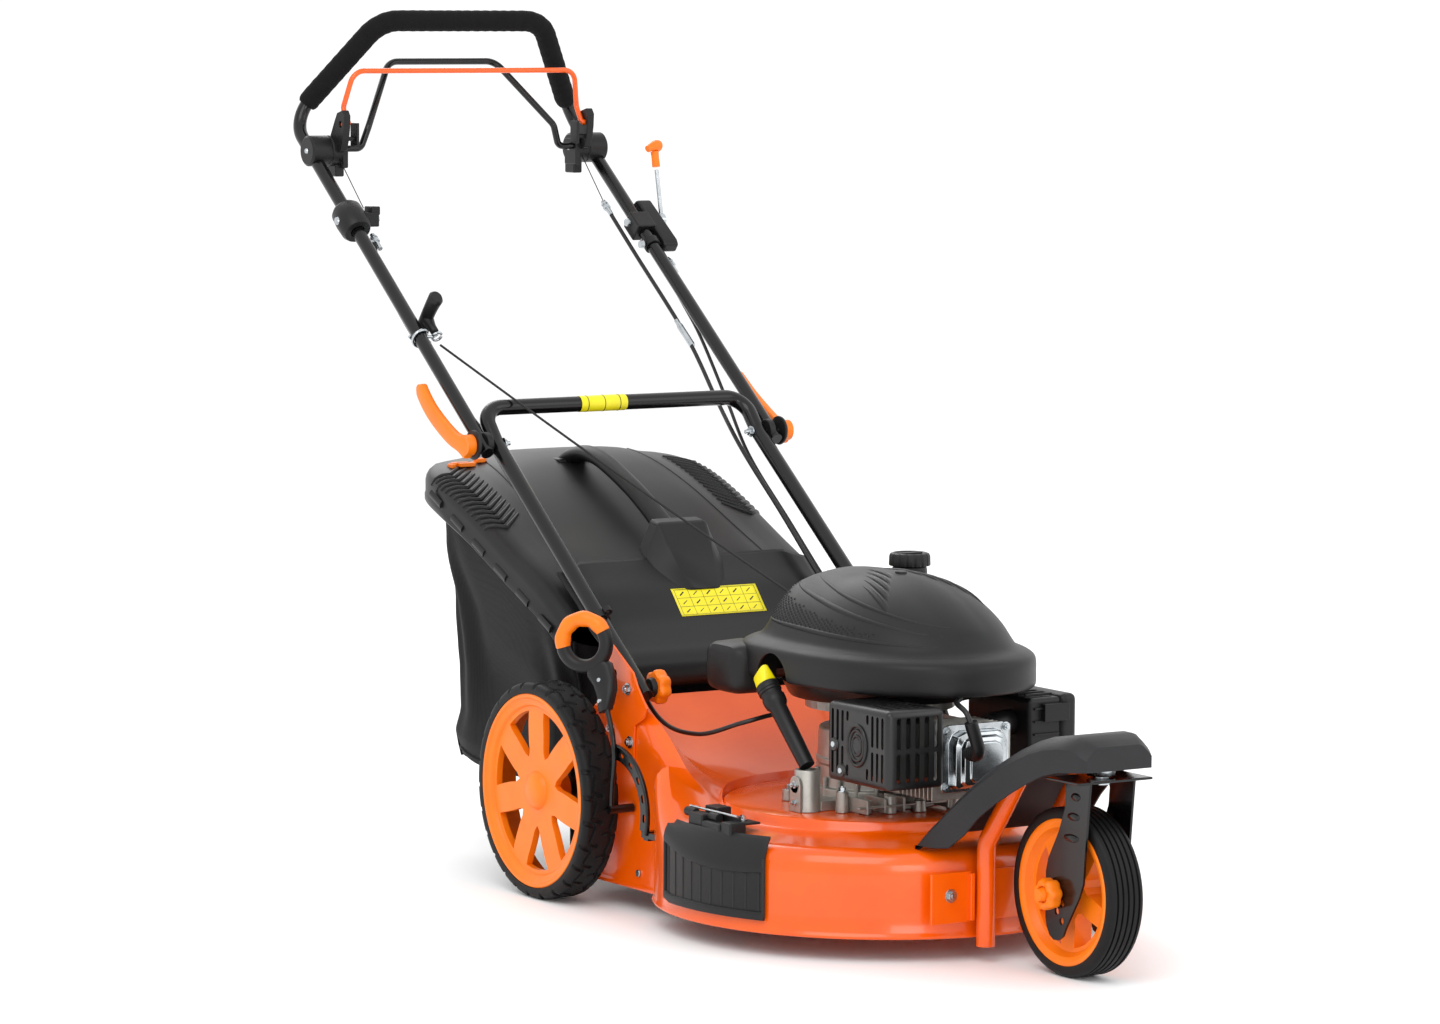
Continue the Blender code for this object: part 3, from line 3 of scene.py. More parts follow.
import json
import math
import random

import bmesh
import bpy
from mathutils import Matrix, Vector, noise
from mathutils.bvhtree import BVHTree


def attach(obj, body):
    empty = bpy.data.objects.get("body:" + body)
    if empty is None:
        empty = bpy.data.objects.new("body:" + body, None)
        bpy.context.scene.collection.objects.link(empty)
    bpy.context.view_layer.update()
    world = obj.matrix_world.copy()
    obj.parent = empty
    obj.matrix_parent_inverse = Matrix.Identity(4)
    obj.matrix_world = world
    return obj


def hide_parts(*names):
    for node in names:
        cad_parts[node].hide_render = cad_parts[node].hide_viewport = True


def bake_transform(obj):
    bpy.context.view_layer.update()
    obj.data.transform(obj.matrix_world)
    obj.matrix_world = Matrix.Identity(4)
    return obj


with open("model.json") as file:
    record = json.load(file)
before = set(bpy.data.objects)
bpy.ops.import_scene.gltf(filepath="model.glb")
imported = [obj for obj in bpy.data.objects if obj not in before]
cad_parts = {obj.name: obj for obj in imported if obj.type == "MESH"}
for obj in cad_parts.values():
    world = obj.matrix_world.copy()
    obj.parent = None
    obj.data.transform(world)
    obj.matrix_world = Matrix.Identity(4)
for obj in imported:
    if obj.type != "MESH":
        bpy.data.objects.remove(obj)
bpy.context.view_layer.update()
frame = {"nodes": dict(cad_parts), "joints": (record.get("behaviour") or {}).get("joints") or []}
random.seed(7)

JOINTS = {j["name"]: j for j in frame["joints"]}
AXLE_Y = JOINTS["rear_wheel_right_spin"]["pos_m"][1]    # the rear axle, from which everything is placed
ENGINE_Y = JOINTS["crank_spin"]["pos_m"][1] - AXLE_Y
GAP = 0.0003
MM = 0.001


def P(x, y, z):
    """A point given from the rear axle's foot, in the model's frame."""
    return Vector((x, y + AXLE_Y, z))


# ---------------------------------------------------------------- materials
def rgb(value):
    """Linear colour of an sRGB hex value."""
    parts = [int(value[k:k + 2], 16) / 255 for k in (1, 3, 5)]
    return tuple(c / 12.92 if c <= 0.04045 else ((c + 0.055) / 1.055) ** 2.4 for c in parts) + (1.0,)


def node(tree, kind, settings=None, inputs=None, links=None):
    """Adds a node, its properties, its socket values, and links from (node, output name) to its sockets."""
    made = tree.nodes.new(kind)
    for key, value in (settings or {}).items():
        setattr(made, key, value)
    for key, value in (inputs or {}).items():
        made.inputs[key].default_value = value
    for key, (source, output) in (links or {}).items():
        tree.links.new(source.outputs[output], made.inputs[key])
    return made


def finish_material(name, colour, dark, roughness, metallic=0.0, grain_mm=0.6, bump=0.15, blotch_mm=60.0,
                    rough_spread=0.08, coat=0.0, coat_rough=0.08, ior=1.5, weave=None, sheen=0.0, streak=None,
                    edge=None):
    """A surface whose colour, gloss and height vary at real sizes: blotches, and a finer grain or weave; with
    an edge colour, a painted highlight lightens the convex edges.
    """
    material = bpy.data.materials.new(name)
    material.use_nodes = True
    tree = material.node_tree
    shader = tree.nodes["Principled BSDF"]
    shader.inputs["Metallic"].default_value = metallic
    shader.inputs["Coat Weight"].default_value = coat
    shader.inputs["Coat Roughness"].default_value = coat_rough
    shader.inputs["Sheen Weight"].default_value = sheen
    if metallic < 0.5:
        shader.inputs["IOR"].default_value = ior
    place = node(tree, "ShaderNodeTexCoord")
    blotch = node(tree, "ShaderNodeTexNoise", None,
                  {"Scale": 1.0 / (blotch_mm * MM), "Detail": 4.0, "Roughness": 0.6},
                  {"Vector": (place, "Object")})
    spread = node(tree, "ShaderNodeMapRange", None, {"From Min": 0.3, "From Max": 0.7},
                  {"Value": (blotch, "Fac")})
    tint = node(tree, "ShaderNodeMix", {"data_type": "RGBA"}, {"A": rgb(dark), "B": rgb(colour)},
                {"Factor": (spread, "Result")})
    colour_out = (tint, "Result")
    # Painted highlight: convex edges, found by pointiness, are mixed towards the lighter edge colour.
    if edge:
        edge_highlight_pointiness = node(tree, "ShaderNodeNewGeometry")
        where = node(tree, "ShaderNodeMapRange", None, {"From Min": 0.53, "From Max": 0.62},
                     {"Value": (edge_highlight_pointiness, "Pointiness")})
        edge_highlight_amount = node(tree, "ShaderNodeMath", {"operation": "MULTIPLY"}, {1: 0.55}, {0: (where, "Result")})
        edge_highlighted_tint = node(tree, "ShaderNodeMix", {"data_type": "RGBA"}, {"B": rgb(edge)},
                     {"Factor": (edge_highlight_amount, "Value"), "A": (tint, "Result")})
        colour_out = (edge_highlighted_tint, "Result")
    tree.links.new(colour_out[0].outputs[colour_out[1]], shader.inputs["Base Color"])
    rough = node(tree, "ShaderNodeMapRange", None,
                 {"To Min": max(0.02, roughness - rough_spread),
                  "To Max": min(1.0, roughness + rough_spread)},
                 {"Value": (blotch, "Fac")})
    tree.links.new(rough.outputs["Result"], shader.inputs["Roughness"])
    if weave:
        across = node(tree, "ShaderNodeTexWave", {"bands_direction": "X"},
                      {"Scale": 0.31 / (weave * MM), "Distortion": 0.4},
                      {"Vector": (place, "Object")})
        down = node(tree, "ShaderNodeTexWave", {"bands_direction": "Z"},
                    {"Scale": 0.31 / (weave * MM), "Distortion": 0.4},
                    {"Vector": (place, "Object")})
        along = node(tree, "ShaderNodeTexWave", {"bands_direction": "Y"},
                     {"Scale": 0.31 / (weave * MM), "Distortion": 0.4},
                     {"Vector": (place, "Object")})
        both = node(tree, "ShaderNodeMath", {"operation": "MAXIMUM"}, None,
                    {0: (across, "Fac"), 1: (down, "Fac")})
        height = node(tree, "ShaderNodeMath", {"operation": "MAXIMUM"}, None,
                      {0: (both, "Value"), 1: (along, "Fac")})
        height_out = (height, "Value")
    elif streak:
        stretch = node(tree, "ShaderNodeMapping", None, {"Scale": streak}, {"Vector": (place, "Object")})
        lines = node(tree, "ShaderNodeTexNoise", None, {"Scale": 1.0 / (grain_mm * MM), "Detail": 2.0},
                     {"Vector": (stretch, "Vector")})
        height_out = (lines, "Fac")
    else:
        grain = node(tree, "ShaderNodeTexNoise", None, {"Scale": 1.0 / (grain_mm * MM), "Detail": 3.0},
                     {"Vector": (place, "Object")})
        height_out = (grain, "Fac")
    relief = node(tree, "ShaderNodeBump", None, {"Strength": bump, "Distance": 0.0004},
                  {"Height": height_out})
    tree.links.new(relief.outputs["Normal"], shader.inputs["Normal"])
    return material


# Baked enamel over pressed steel: a wet gloss with a faint orange peel about 3 mm across.
ENAMEL_ORANGE = finish_material("enamel_orange_baked", "#F06000", "#E65200", 0.22, 0.0, 3.0, 0.05, 140.0,
                                0.04, 0.35, 0.05, ior=1.45)
# Moulded nylon for the wheels and knobs: satin, coloured through, slightly paler where it is thin.
NYLON_ORANGE = finish_material("nylon_orange_moulded", "#F67C06", "#F0730A", 0.36, 0.0, 0.9, 0.10, 40.0, 0.06,
                               ior=1.42)
# Moulded ABS and polypropylene with a spark-eroded skin, which breaks up every highlight; the ABS edge colour
# is a painted highlight on its convex edges.
ABS_BLACK = finish_material("abs_black_spark_eroded", "#19191A", "#141415", 0.44, 0.0, 0.9, 0.28, 70.0, 0.07,
                            edge="#29292A", ior=1.36)
PP_BLACK = finish_material("polypropylene_black_moulded", "#1A1A1B", "#151516", 0.40, 0.0, 1.3, 0.12, 90.0,
                           0.06, ior=1.36)
ENAMEL_BLACK = finish_material("enamel_black_baked", "#080809", "#050506", 0.22, 0.0, 2.5, 0.05, 60.0, 0.05,
                               0.20, 0.08, ior=1.38)
# The edge colour is a painted highlight on the convex edges.
HEAT_BLACK = finish_material("heatproof_black_paint", "#0C0C0D", "#080808", 0.34, 0.0, 0.8, 0.20, 20.0, 0.10,
                             edge="#2A2927")
# The edge colour is a painted highlight on the convex edges.
RUBBER_TYRE = finish_material("rubber_tyre_moulded", "#131314", "#0E0E0F", 0.52, 0.0, 0.8, 0.22, 18.0, 0.10,
                              edge="#202021", ior=1.3)
FOAM_BLACK = finish_material("foam_black_closed_cell", "#151516", "#101011", 0.86, 0.0, 0.5, 0.45, 12.0, 0.05,
                             ior=1.25)
ALLOY_CAST = finish_material("aluminium_die_cast", "#B9B7B0", "#A3A19B", 0.46, 0.85, 0.7, 0.35, 15.0, 0.10)
ZINC_BRIGHT = finish_material("steel_zinc_plated", "#C9CED1", "#AEB4B8", 0.20, 1.0, 2.0, 0.06, 12.0, 0.08)
STEEL_DARK = finish_material("steel_oiled_dark", "#4A4A4A", "#363636", 0.38, 1.0, 0.8, 0.12, 20.0, 0.12)
PE_YELLOW = finish_material("polyethylene_yellow_moulded", "#F2E205", "#E3D200", 0.34, 0.0, 0.9, 0.08, 20.0,
                            0.05)
# Black PVC for the cable sheaths and other small dark parts; it also paints the shade in the vent, louvre and
# clip-slot gaps.
SHEATH_AND_GAP_SHADE_BLACK = finish_material("pvc_sheath_black", "#0D0D0E", "#09090A", 0.36, 0.0, 0.7, 0.08, 20.0, 0.05)
ROPE_BLACK = finish_material("rope_nylon_braided", "#1A1A1A", "#101010", 0.75, 0.0, 0.5, 0.5, 6.0, 0.05)
BELT_RUBBER = finish_material("belt_rubber_cloth", "#232323", "#1A1A1A", 0.75, 0.0, 0.5, 0.3, 8.0, 0.05)
# Polyester net cloth, threads drawn 1.6 mm apart so that the weave still shows at this distance.
NET_CLOTH = finish_material("polyester_net_woven", "#161618", "#0C0C0E", 0.78, 0.0, 1.0, 0.55, 45.0, 0.08,
                            weave=1.6, sheen=0.06, ior=1.28)
STICKER_YELLOW = finish_material("vinyl_sticker_yellow", "#EEE01A", "#E6D812", 0.35, 0.0, 2.0, 0.03, 30.0,
                                 0.05)
STICKER_INK = finish_material("vinyl_sticker_ink", "#1B1B12", "#26260F", 0.40, 0.0, 2.0, 0.03, 8.0, 0.05)
STICKER_SILVER = finish_material("foil_sticker_silver", "#C4C6C9", "#B4B6B9", 0.30, 0.6, 2.0, 0.03, 30.0,
                                 0.05)

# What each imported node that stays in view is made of.
NODE_FINISH = {
    "chute_floor": PP_BLACK, "rear_apron": RUBBER_TYRE, "crankshaft": ZINC_BRIGHT, "flywheel": ALLOY_CAST,
    "blade": STEEL_DARK, "drive_shaft": ZINC_BRIGHT, "gearbox": ALLOY_CAST, "drive_belt": BELT_RUBBER,
    "axle_carrier": STEEL_DARK, "muffler": HEAT_BLACK, "fuel_tank": PP_BLACK, "front_axle": ZINC_BRIGHT,
}


# ---------------------------------------------------------------- camera, light and floor
def camera_and_light():
    camera = bpy.data.cameras.new("camera")
    camera.lens = 131.25
    camera.sensor_width = 36.0
    camera.clip_end = 50.0
    holder = bpy.data.objects.new("camera", camera)
    bpy.context.collection.objects.link(holder)
    azimuth, tilt, roll = math.radians(-32.364), math.radians(5.583), math.radians(0.248)
    back = Vector((math.sin(azimuth) * math.cos(tilt), -math.cos(azimuth) * math.cos(tilt), math.sin(tilt)))
    right = (-back).cross(Vector((0, 0, 1))).normalized()
    up = right.cross(-back)
    right, up = right * math.cos(roll) + up * math.sin(roll), up * math.cos(roll) - right * math.sin(roll)
    turn = Matrix((right, up, back)).transposed().to_4x4()
    holder.matrix_world = Matrix.Translation(P(-3.6656, -5.7825, 1.1560)) @ turn
    bpy.context.scene.camera = holder
    world = bpy.data.worlds.new("studio")
    world.use_nodes = True
    world.node_tree.nodes["Background"].inputs["Color"].default_value = rgb("#FFFFFF")
    world.node_tree.nodes["Background"].inputs["Strength"].default_value = 1.08
    bpy.context.scene.world = world
    bpy.context.scene.view_settings.view_transform = "Standard"
    lamps = (("key", (-2.6, -2.2, 3.6), 3.0, 66.0), ("fill", (2.8, -3.0, 2.2), 2.6, 20.0),
             ("back", (0.6, 3.4, 3.0), 2.6, 50.0), ("front_strip", (-1.4, -4.2, 1.2), 1.2, 16.0))
    for name, place, size, power in lamps:
        lamp = bpy.data.lights.new(name, "AREA")
        lamp.size = size
        lamp.energy = power
        body = bpy.data.objects.new(name, lamp)
        bpy.context.collection.objects.link(body)
        body.location = place
        body.rotation_euler = (Vector((0, -0.1, 0.4)) - Vector(place)).to_track_quat("-Z", "Y").to_euler()
    bm = bmesh.new()
    bmesh.ops.create_grid(bm, x_segments=1, y_segments=1, size=14.0)
    mesh = bpy.data.meshes.new("floor")
    bm.to_mesh(mesh)
    bm.free()
    floor = bpy.data.objects.new("floor", mesh)
    bpy.context.collection.objects.link(floor)
    floor.location.z = -0.0004
    mesh.materials.append(finish_material("floor_paper_white", "#FDFDFD", "#FBFBFB", 0.8, 0.0, 5.0, 0.0,
                                          900.0, 0.02))


camera_and_light()


# ---------------------------------------------------------------- mesh tools
def as_object(name, bm, material, body, replaces=(), smooth=35.0, bevel=0.0, segments=2,
              recalc=True):
    """A finished piece, built from the rear axle's foot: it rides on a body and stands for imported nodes."""
    if recalc:
        bmesh.ops.recalc_face_normals(bm, faces=bm.faces)
    bmesh.ops.translate(bm, verts=bm.verts, vec=(0.0, AXLE_Y, 0.0))
    mesh = bpy.data.meshes.new(name)
    bm.to_mesh(mesh)
    bm.free()
    mesh.shade_smooth()
    if smooth < 180:
        mesh.set_sharp_from_angle(angle=math.radians(smooth))
    for one in (material if isinstance(material, (list, tuple)) else [material]):
        mesh.materials.append(one)
    piece = bpy.data.objects.new(name, mesh)
    bpy.context.collection.objects.link(piece)
    if bevel:
        step = piece.modifiers.new("bevel", "BEVEL")
        step.width = bevel
        step.segments = segments
        step.limit_method = "ANGLE"
        step.angle_limit = math.radians(35)
        step.harden_normals = True
    if body:
        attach(piece, body)
    if replaces:
        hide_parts(*replaces)
    return piece


def cut(piece, bm, operation="DIFFERENCE"):
    """Cuts or joins a piece with a bmesh, and keeps only the result."""
    bmesh.ops.recalc_face_normals(bm, faces=bm.faces)
    bmesh.ops.translate(bm, verts=bm.verts, vec=(0.0, AXLE_Y, 0.0))
    mesh = bpy.data.meshes.new("tool")
    bm.to_mesh(mesh)
    bm.free()
    tool = bpy.data.objects.new("tool", mesh)
    bpy.context.collection.objects.link(tool)
    step = piece.modifiers.new("cut", "BOOLEAN")
    step.operation = operation
    step.object = tool
    while piece.modifiers[0] != step:
        bpy.context.view_layer.objects.active = piece
        with bpy.context.temp_override(object=piece):
            bpy.ops.object.modifier_move_to_index(modifier=step.name, index=0)
        break
    with bpy.context.temp_override(object=piece, active_object=piece):
        bpy.ops.object.modifier_apply(modifier=step.name)
    bpy.data.objects.remove(tool, do_unlink=True)
    piece.data.shade_smooth()
    piece.data.set_sharp_from_angle(angle=math.radians(35))
    return piece


def add_box(bm, low, high):
    low, high = Vector(low), Vector(high)
    size = Matrix.Diagonal((*(high - low), 1.0))
    return bmesh.ops.create_cube(bm, size=1.0, matrix=Matrix.Translation((low + high) / 2) @ size)["verts"]


def add_rod(bm, start, end, r1, r2=None, sides=32):
    start, end = Vector(start), Vector(end)
    way = end - start
    place = Matrix.Translation((start + end) / 2) @ way.to_track_quat("Z", "Y").to_matrix().to_4x4()
    return bmesh.ops.create_cone(bm, cap_ends=True, segments=sides, radius1=r1,
                                 radius2=r1 if r2 is None else r2,
                                 depth=way.length, matrix=place)["verts"]


def add_turned(bm, profile, centre, axis, steps=64, start=0.0, closed_ring=False):
    """A profile of (radius, height along axis) turned about an axis through centre."""
    axis = Vector(axis).normalized()
    side = axis.orthogonal().normalized()
    other = axis.cross(side)
    rings = []
    for radius, height in profile:
        if radius < 1e-6:
            rings.append([bm.verts.new(Vector(centre) + axis * height)])
            continue
        rings.append([bm.verts.new(Vector(centre) + axis * height
                                   + (side * math.cos(start + 2 * math.pi * k / steps)
                                      + other * math.sin(start + 2 * math.pi * k / steps)) * radius)
                      for k in range(steps)])
    pairs = list(zip(rings, rings[1:]))
    if closed_ring:
        pairs.append((rings[-1], rings[0]))
    for a, b in pairs:
        for k in range(steps):
            j = (k + 1) % steps
            if len(a) == 1 and len(b) == 1:
                continue
            if len(a) == 1:
                bm.faces.new((a[0], b[k], b[j]))
            elif len(b) == 1:
                bm.faces.new((a[k], a[j], b[0]))
            else:
                bm.faces.new((a[k], a[j], b[j], b[k]))
    return rings


def arc(centre, radius, start_deg, end_deg, steps):
    return [(centre[0] + radius * math.cos(math.radians(start_deg + (end_deg - start_deg) * k / steps)),
             centre[1] + radius * math.sin(math.radians(start_deg + (end_deg - start_deg) * k / steps)))
            for k in range(steps + 1)]


def add_plate(bm, outline, low, high, across="X"):
    """An outline of (y, z) extruded along X, of (x, y) along Z, or of (x, z) along Y."""
    order = {"X": lambda a, b, c: (c, a, b), "Z": lambda a, b, c: (a, b, c), "Y": lambda a, b,
             c: (a, c, b)}[across]
    rings = [[bm.verts.new(order(a, b, c)) for a, b in outline] for c in (low, high)]
    bm.faces.new(rings[0])
    bm.faces.new(list(reversed(rings[1])))
    for k in range(len(outline)):
        j = (k + 1) % len(outline)
        bm.faces.new((rings[0][j], rings[0][k], rings[1][k], rings[1][j]))
    return rings[0] + rings[1]


def loft(bm, rings, caps=True):
    made = [[bm.verts.new(p) for p in ring] for ring in rings]
    for lower, upper in zip(made, made[1:]):
        for k in range(len(lower)):
            j = (k + 1) % len(lower)
            bm.faces.new((lower[k], lower[j], upper[j], upper[k]))
    if caps:
        bm.faces.new(list(reversed(made[0])))
        bm.faces.new(made[-1])
    return made


def rounded(points, radii, steps=8):
    """A path through points with each inner corner turned into an arc."""
    points = [Vector(p) for p in points]
    path = [points[0]]
    for before, corner, after, radius in zip(points, points[1:], points[2:], radii):
        to_before, to_after = (before - corner).normalized(), (after - corner).normalized()
        half = to_before.angle(to_after) / 2
        start, end = corner + to_before * radius / math.tan(half), corner + to_after * radius / math.tan(half)
        centre = corner + (to_before + to_after).normalized() * (radius / math.sin(half))
        for k in range(steps + 1):
            path.append(centre + (start - centre).slerp(end - centre, k / steps).normalized() * radius)
    path.append(points[-1])
    return path


def smooth_path(points, per_span=8):
    points = [Vector(p) for p in points]
    ends = [points[0] * 2 - points[1]] + points + [points[-1] * 2 - points[-2]]
    fine = []
    for k in range(1, len(ends) - 2):
        p0, p1, p2, p3 = ends[k - 1:k + 3]
        for s in range(per_span):
            t = s / per_span
            fine.append(0.5 * (2 * p1 + (p2 - p0) * t + (2 * p0 - 5 * p1 + 4 * p2 - p3) * t * t
                               + (3 * p1 - p0 - 3 * p2 + p3) * t ** 3))
    fine.append(points[-1])
    return fine


def add_tube(bm, path, radius, sides=20, flatten=None, radii=None):
    """A tube along a path by parallel frames, with capped ends. flatten gives (across, along) scales."""
    path = [Vector(p) for p in path]
    way = (path[1] - path[0]).normalized()
    side = way.orthogonal().normalized()
    if abs(way.x) < 0.99:
        side = (Vector((1, 0, 0)) - way * way.x).normalized()
    rings = []
    for k, point in enumerate(path):
        ahead = (path[min(k + 1, len(path) - 1)] - path[max(k - 1, 0)]).normalized()
        side = (side - ahead * side.dot(ahead)).normalized()
        other = ahead.cross(side)
        r = radii[k] if radii else radius
        wide, tall = flatten or (1.0, 1.0)
        rings.append([point + side * (r * wide * math.cos(2 * math.pi * s / sides))
                      + other * (r * tall * math.sin(2 * math.pi * s / sides)) for s in range(sides)])
    return loft(bm, rings)


def add_bolt(bm, at, out, head=0.0065, sides=6):
    """A hexagon bolt with its washer, its head facing out."""
    at, out = Vector(at), Vector(out).normalized()
    add_rod(bm, at, at + out * 0.0012, head * 1.25, sides=24)
    add_rod(bm, at + out * 0.0012, at + out * 0.0052, head * 0.86, sides=sides)
    add_rod(bm, at + out * 0.0052, at + out * 0.0068, head * 0.45, sides=16)


def ease(value, low, high):
    t = min(1.0, max(0.0, (value - low) / (high - low)))
    return t * t * (3.0 - 2.0 * t)


# ---------------------------------------------------------------- deck
DECK_R, DECK_SIDE_X, DECK_BACK_Y = 0.283, 0.2215, -0.030
DECK_RIM_Z, DECK_SHOULDER_Z, DECK_TOP_Z, DECK_RIDGE_Z = 0.028, 0.116, 0.158, 0.262
SHEET = 0.0025


def deck_point(angle, reach, z):
    return Vector((reach * math.cos(angle), ENGINE_Y + reach * math.sin(angle), z))


def soft_min(a, b, blend):
    h = max(0.0, min(1.0, 0.5 + 0.5 * (b - a) / blend))
    return b * (1 - h) + a * h - blend * h * (1 - h)


def deck_wall(angle):
    """The deck wall's distance from the crankshaft: round in front, straight at the sides and back."""
    dx, dy = math.cos(angle), math.sin(angle)
    if dy < -0.05:
        return DECK_R
    side = DECK_SIDE_X / abs(dx) if abs(dx) > 1e-3 else 10.0
    back = (DECK_BACK_Y - ENGINE_Y) / dy if dy > 1e-3 else 10.0
    straight = min(side, back)
    if DECK_R * dy > math.sqrt(DECK_R ** 2 - DECK_SIDE_X ** 2):
        return soft_min(straight, DECK_R + 0.5 * (dy - 0.62), 0.004) if dy < 0.66 else straight
    return soft_min(DECK_R, straight, 0.004) if dy > 0.5 else DECK_R


def deck_profile(angle):
    """(reach, z) from the rolled rim up over the shoulder and in to the engine's pedestal."""
    wall = deck_wall(angle)
    y = ENGINE_Y + wall * math.sin(angle)
    rise = ease(y, -0.34, -0.13) * (DECK_RIDGE_Z - 0.022 - DECK_SHOULDER_Z)
    shoulder = DECK_SHOULDER_Z + rise
    ring = 0.144 + 0.16 * rise
    dip = 0.35 * rise
    line = [(wall + 0.0005, DECK_RIM_Z), (wall + 0.0022, DECK_RIM_Z + 0.0012),
            (wall + 0.0026, DECK_RIM_Z + 0.0035),
            (wall + 0.0012, DECK_RIM_Z + 0.0062), (wall, DECK_RIM_Z + 0.0085), (wall, DECK_RIM_Z + 0.035),
            (wall, shoulder - 0.030), (wall, shoulder - 0.012), (wall - 0.0010, shoulder + 0.000),
            (wall - 0.0042, shoulder + 0.0095), (wall - 0.0100, shoulder + 0.0155),
            (wall - 0.0180, shoulder + 0.0190)]
    start, end = line[-1][0], 0.2015
    for k in range(1, 7):
        t = k / 7
        line.append((start + (end - start) * t, shoulder + 0.019 + (ring - shoulder - 0.019) * t - dip * t
                     * (1 - t) * 0.9))
    line += [(0.2015, ring), (0.1995, ring + 0.0012), (0.1975, ring + 0.004), (0.1962, DECK_TOP_Z - 0.0045),
             (0.1945, DECK_TOP_Z - 0.0012), (0.1915, DECK_TOP_Z), (0.160, DECK_TOP_Z), (0.046, DECK_TOP_Z)]
    return line


def deck():
    """The pressed deck: a round blade chamber whose top sweeps up behind into the discharge tunnel."""
    count = 216
    bm = bmesh.new()
    rings = []
    for k in range(count):
        angle = 2 * math.pi * k / count
        rings.append([bm.verts.new(deck_point(angle, reach, z)) for reach, z in deck_profile(angle)])
    for k in range(count):
        ring, ahead = rings[k], rings[(k + 1) % count]
        middle = 2 * math.pi * (k + 0.5) / count
        behind = abs(deck_wall(middle) * math.cos(middle)) < DECK_SIDE_X - 0.006 and math.sin(middle) > 0.6
        for level in range(len(ring) - 1):
            if behind and level < 7:
                continue
            bm.faces.new((ring[level], ahead[level], ahead[level + 1], ring[level + 1]))
    bmesh.ops.delete(bm, geom=[v for v in bm.verts if not v.link_faces], context="VERTS")
    shell = as_object("deck_pressing", bm, ENAMEL_ORANGE, "chassis", ["deck_shell"], 40.0)
    wall = shell.modifiers.new("sheet", "SOLIDIFY")
    wall.thickness = SHEET
    wall.offset = -1.0
    with bpy.context.temp_override(object=shell, active_object=shell):
        bpy.ops.object.modifier_apply(modifier="sheet")
    holes = bmesh.new()
    add_box(holes, (-0.32, -0.462, 0.052), (-0.20, -0.322, 0.106))
    cut(shell, holes)
    for side in (-1, 1):
        for y, z, radius in ((-0.0658, 0.1161, 0.0085), (0.0, 0.140, 0.0115)):
            hole = bmesh.new()
            add_rod(hole, (side * 0.205, y, z), (side * 0.235, y, z), radius)
            cut(shell, hole)
    return shell


def deck_fittings():
    """Bolts and rivets of the deck walls, and the handle brackets' folded plates."""
    for side, name in ((-1, "right"), (1, "left")):
        y, z = -0.137, 0.2835
        lean = [(-0.150, 0.186), (-0.152, 0.238), (-0.174, 0.250), (-0.182, 0.263), (y - 0.022, z + 0.005),
                (y - 0.011, z + 0.022), (-0.101, 0.334), (-0.094, 0.338), (-0.082, 0.332), (-0.077, 0.322),
                (-0.060, 0.240), (-0.060, 0.186)]
        bm = bmesh.new()
        inside = side * (DECK_SIDE_X + GAP)
        add_plate(bm, lean, min(inside, inside + side * 0.003), max(inside, inside + side * 0.003))
        add_box(bm, (min(inside, inside - side * 0.004), -0.083, 0.262),
                (max(inside, inside - side * 0.004), -0.078, 0.318))
        plate = as_object(f"handle_bracket_plate_{name}", bm, ENAMEL_ORANGE, "chassis",
                          [f"handle_bracket_{name}"], 30.0,
                          0.0008)
        for hy, hz, radius in ((y, z, 0.0042), (-0.1035, 0.300, 0.0055)):
            hole = bmesh.new()
            add_rod(hole, (side * 0.20, hy, hz), (side * 0.24, hy, hz), radius)
            cut(plate, hole)
        bolts = bmesh.new()
        face = side * (DECK_SIDE_X + GAP + 0.003)
        for by, bz in ((-0.142, 0.216), (-0.096, 0.229), (-0.072, 0.200)):
            add_bolt(bolts, (face, by, bz), (side, 0, 0))
        as_object(f"bracket_bolts_{name}", bolts, ZINC_BRIGHT, "chassis", bevel=0.0004)
        pegs = bmesh.new()
        for by, bz in ((-0.205, 0.070), (-0.060, 0.060), (-0.160, 0.050)):
            add_rod(pegs, (side * DECK_SIDE_X, by, bz), (side * (DECK_SIDE_X + 0.003), by, bz), 0.0048,
                    sides=24)
        as_object(f"wall_rivets_{name}", pegs, ZINC_BRIGHT, "chassis", bevel=0.0008)


deck()
deck_fittings()


# ---------------------------------------------------------------- side discharge cover
COVER_FROM, COVER_TO = 169.0, 207.0


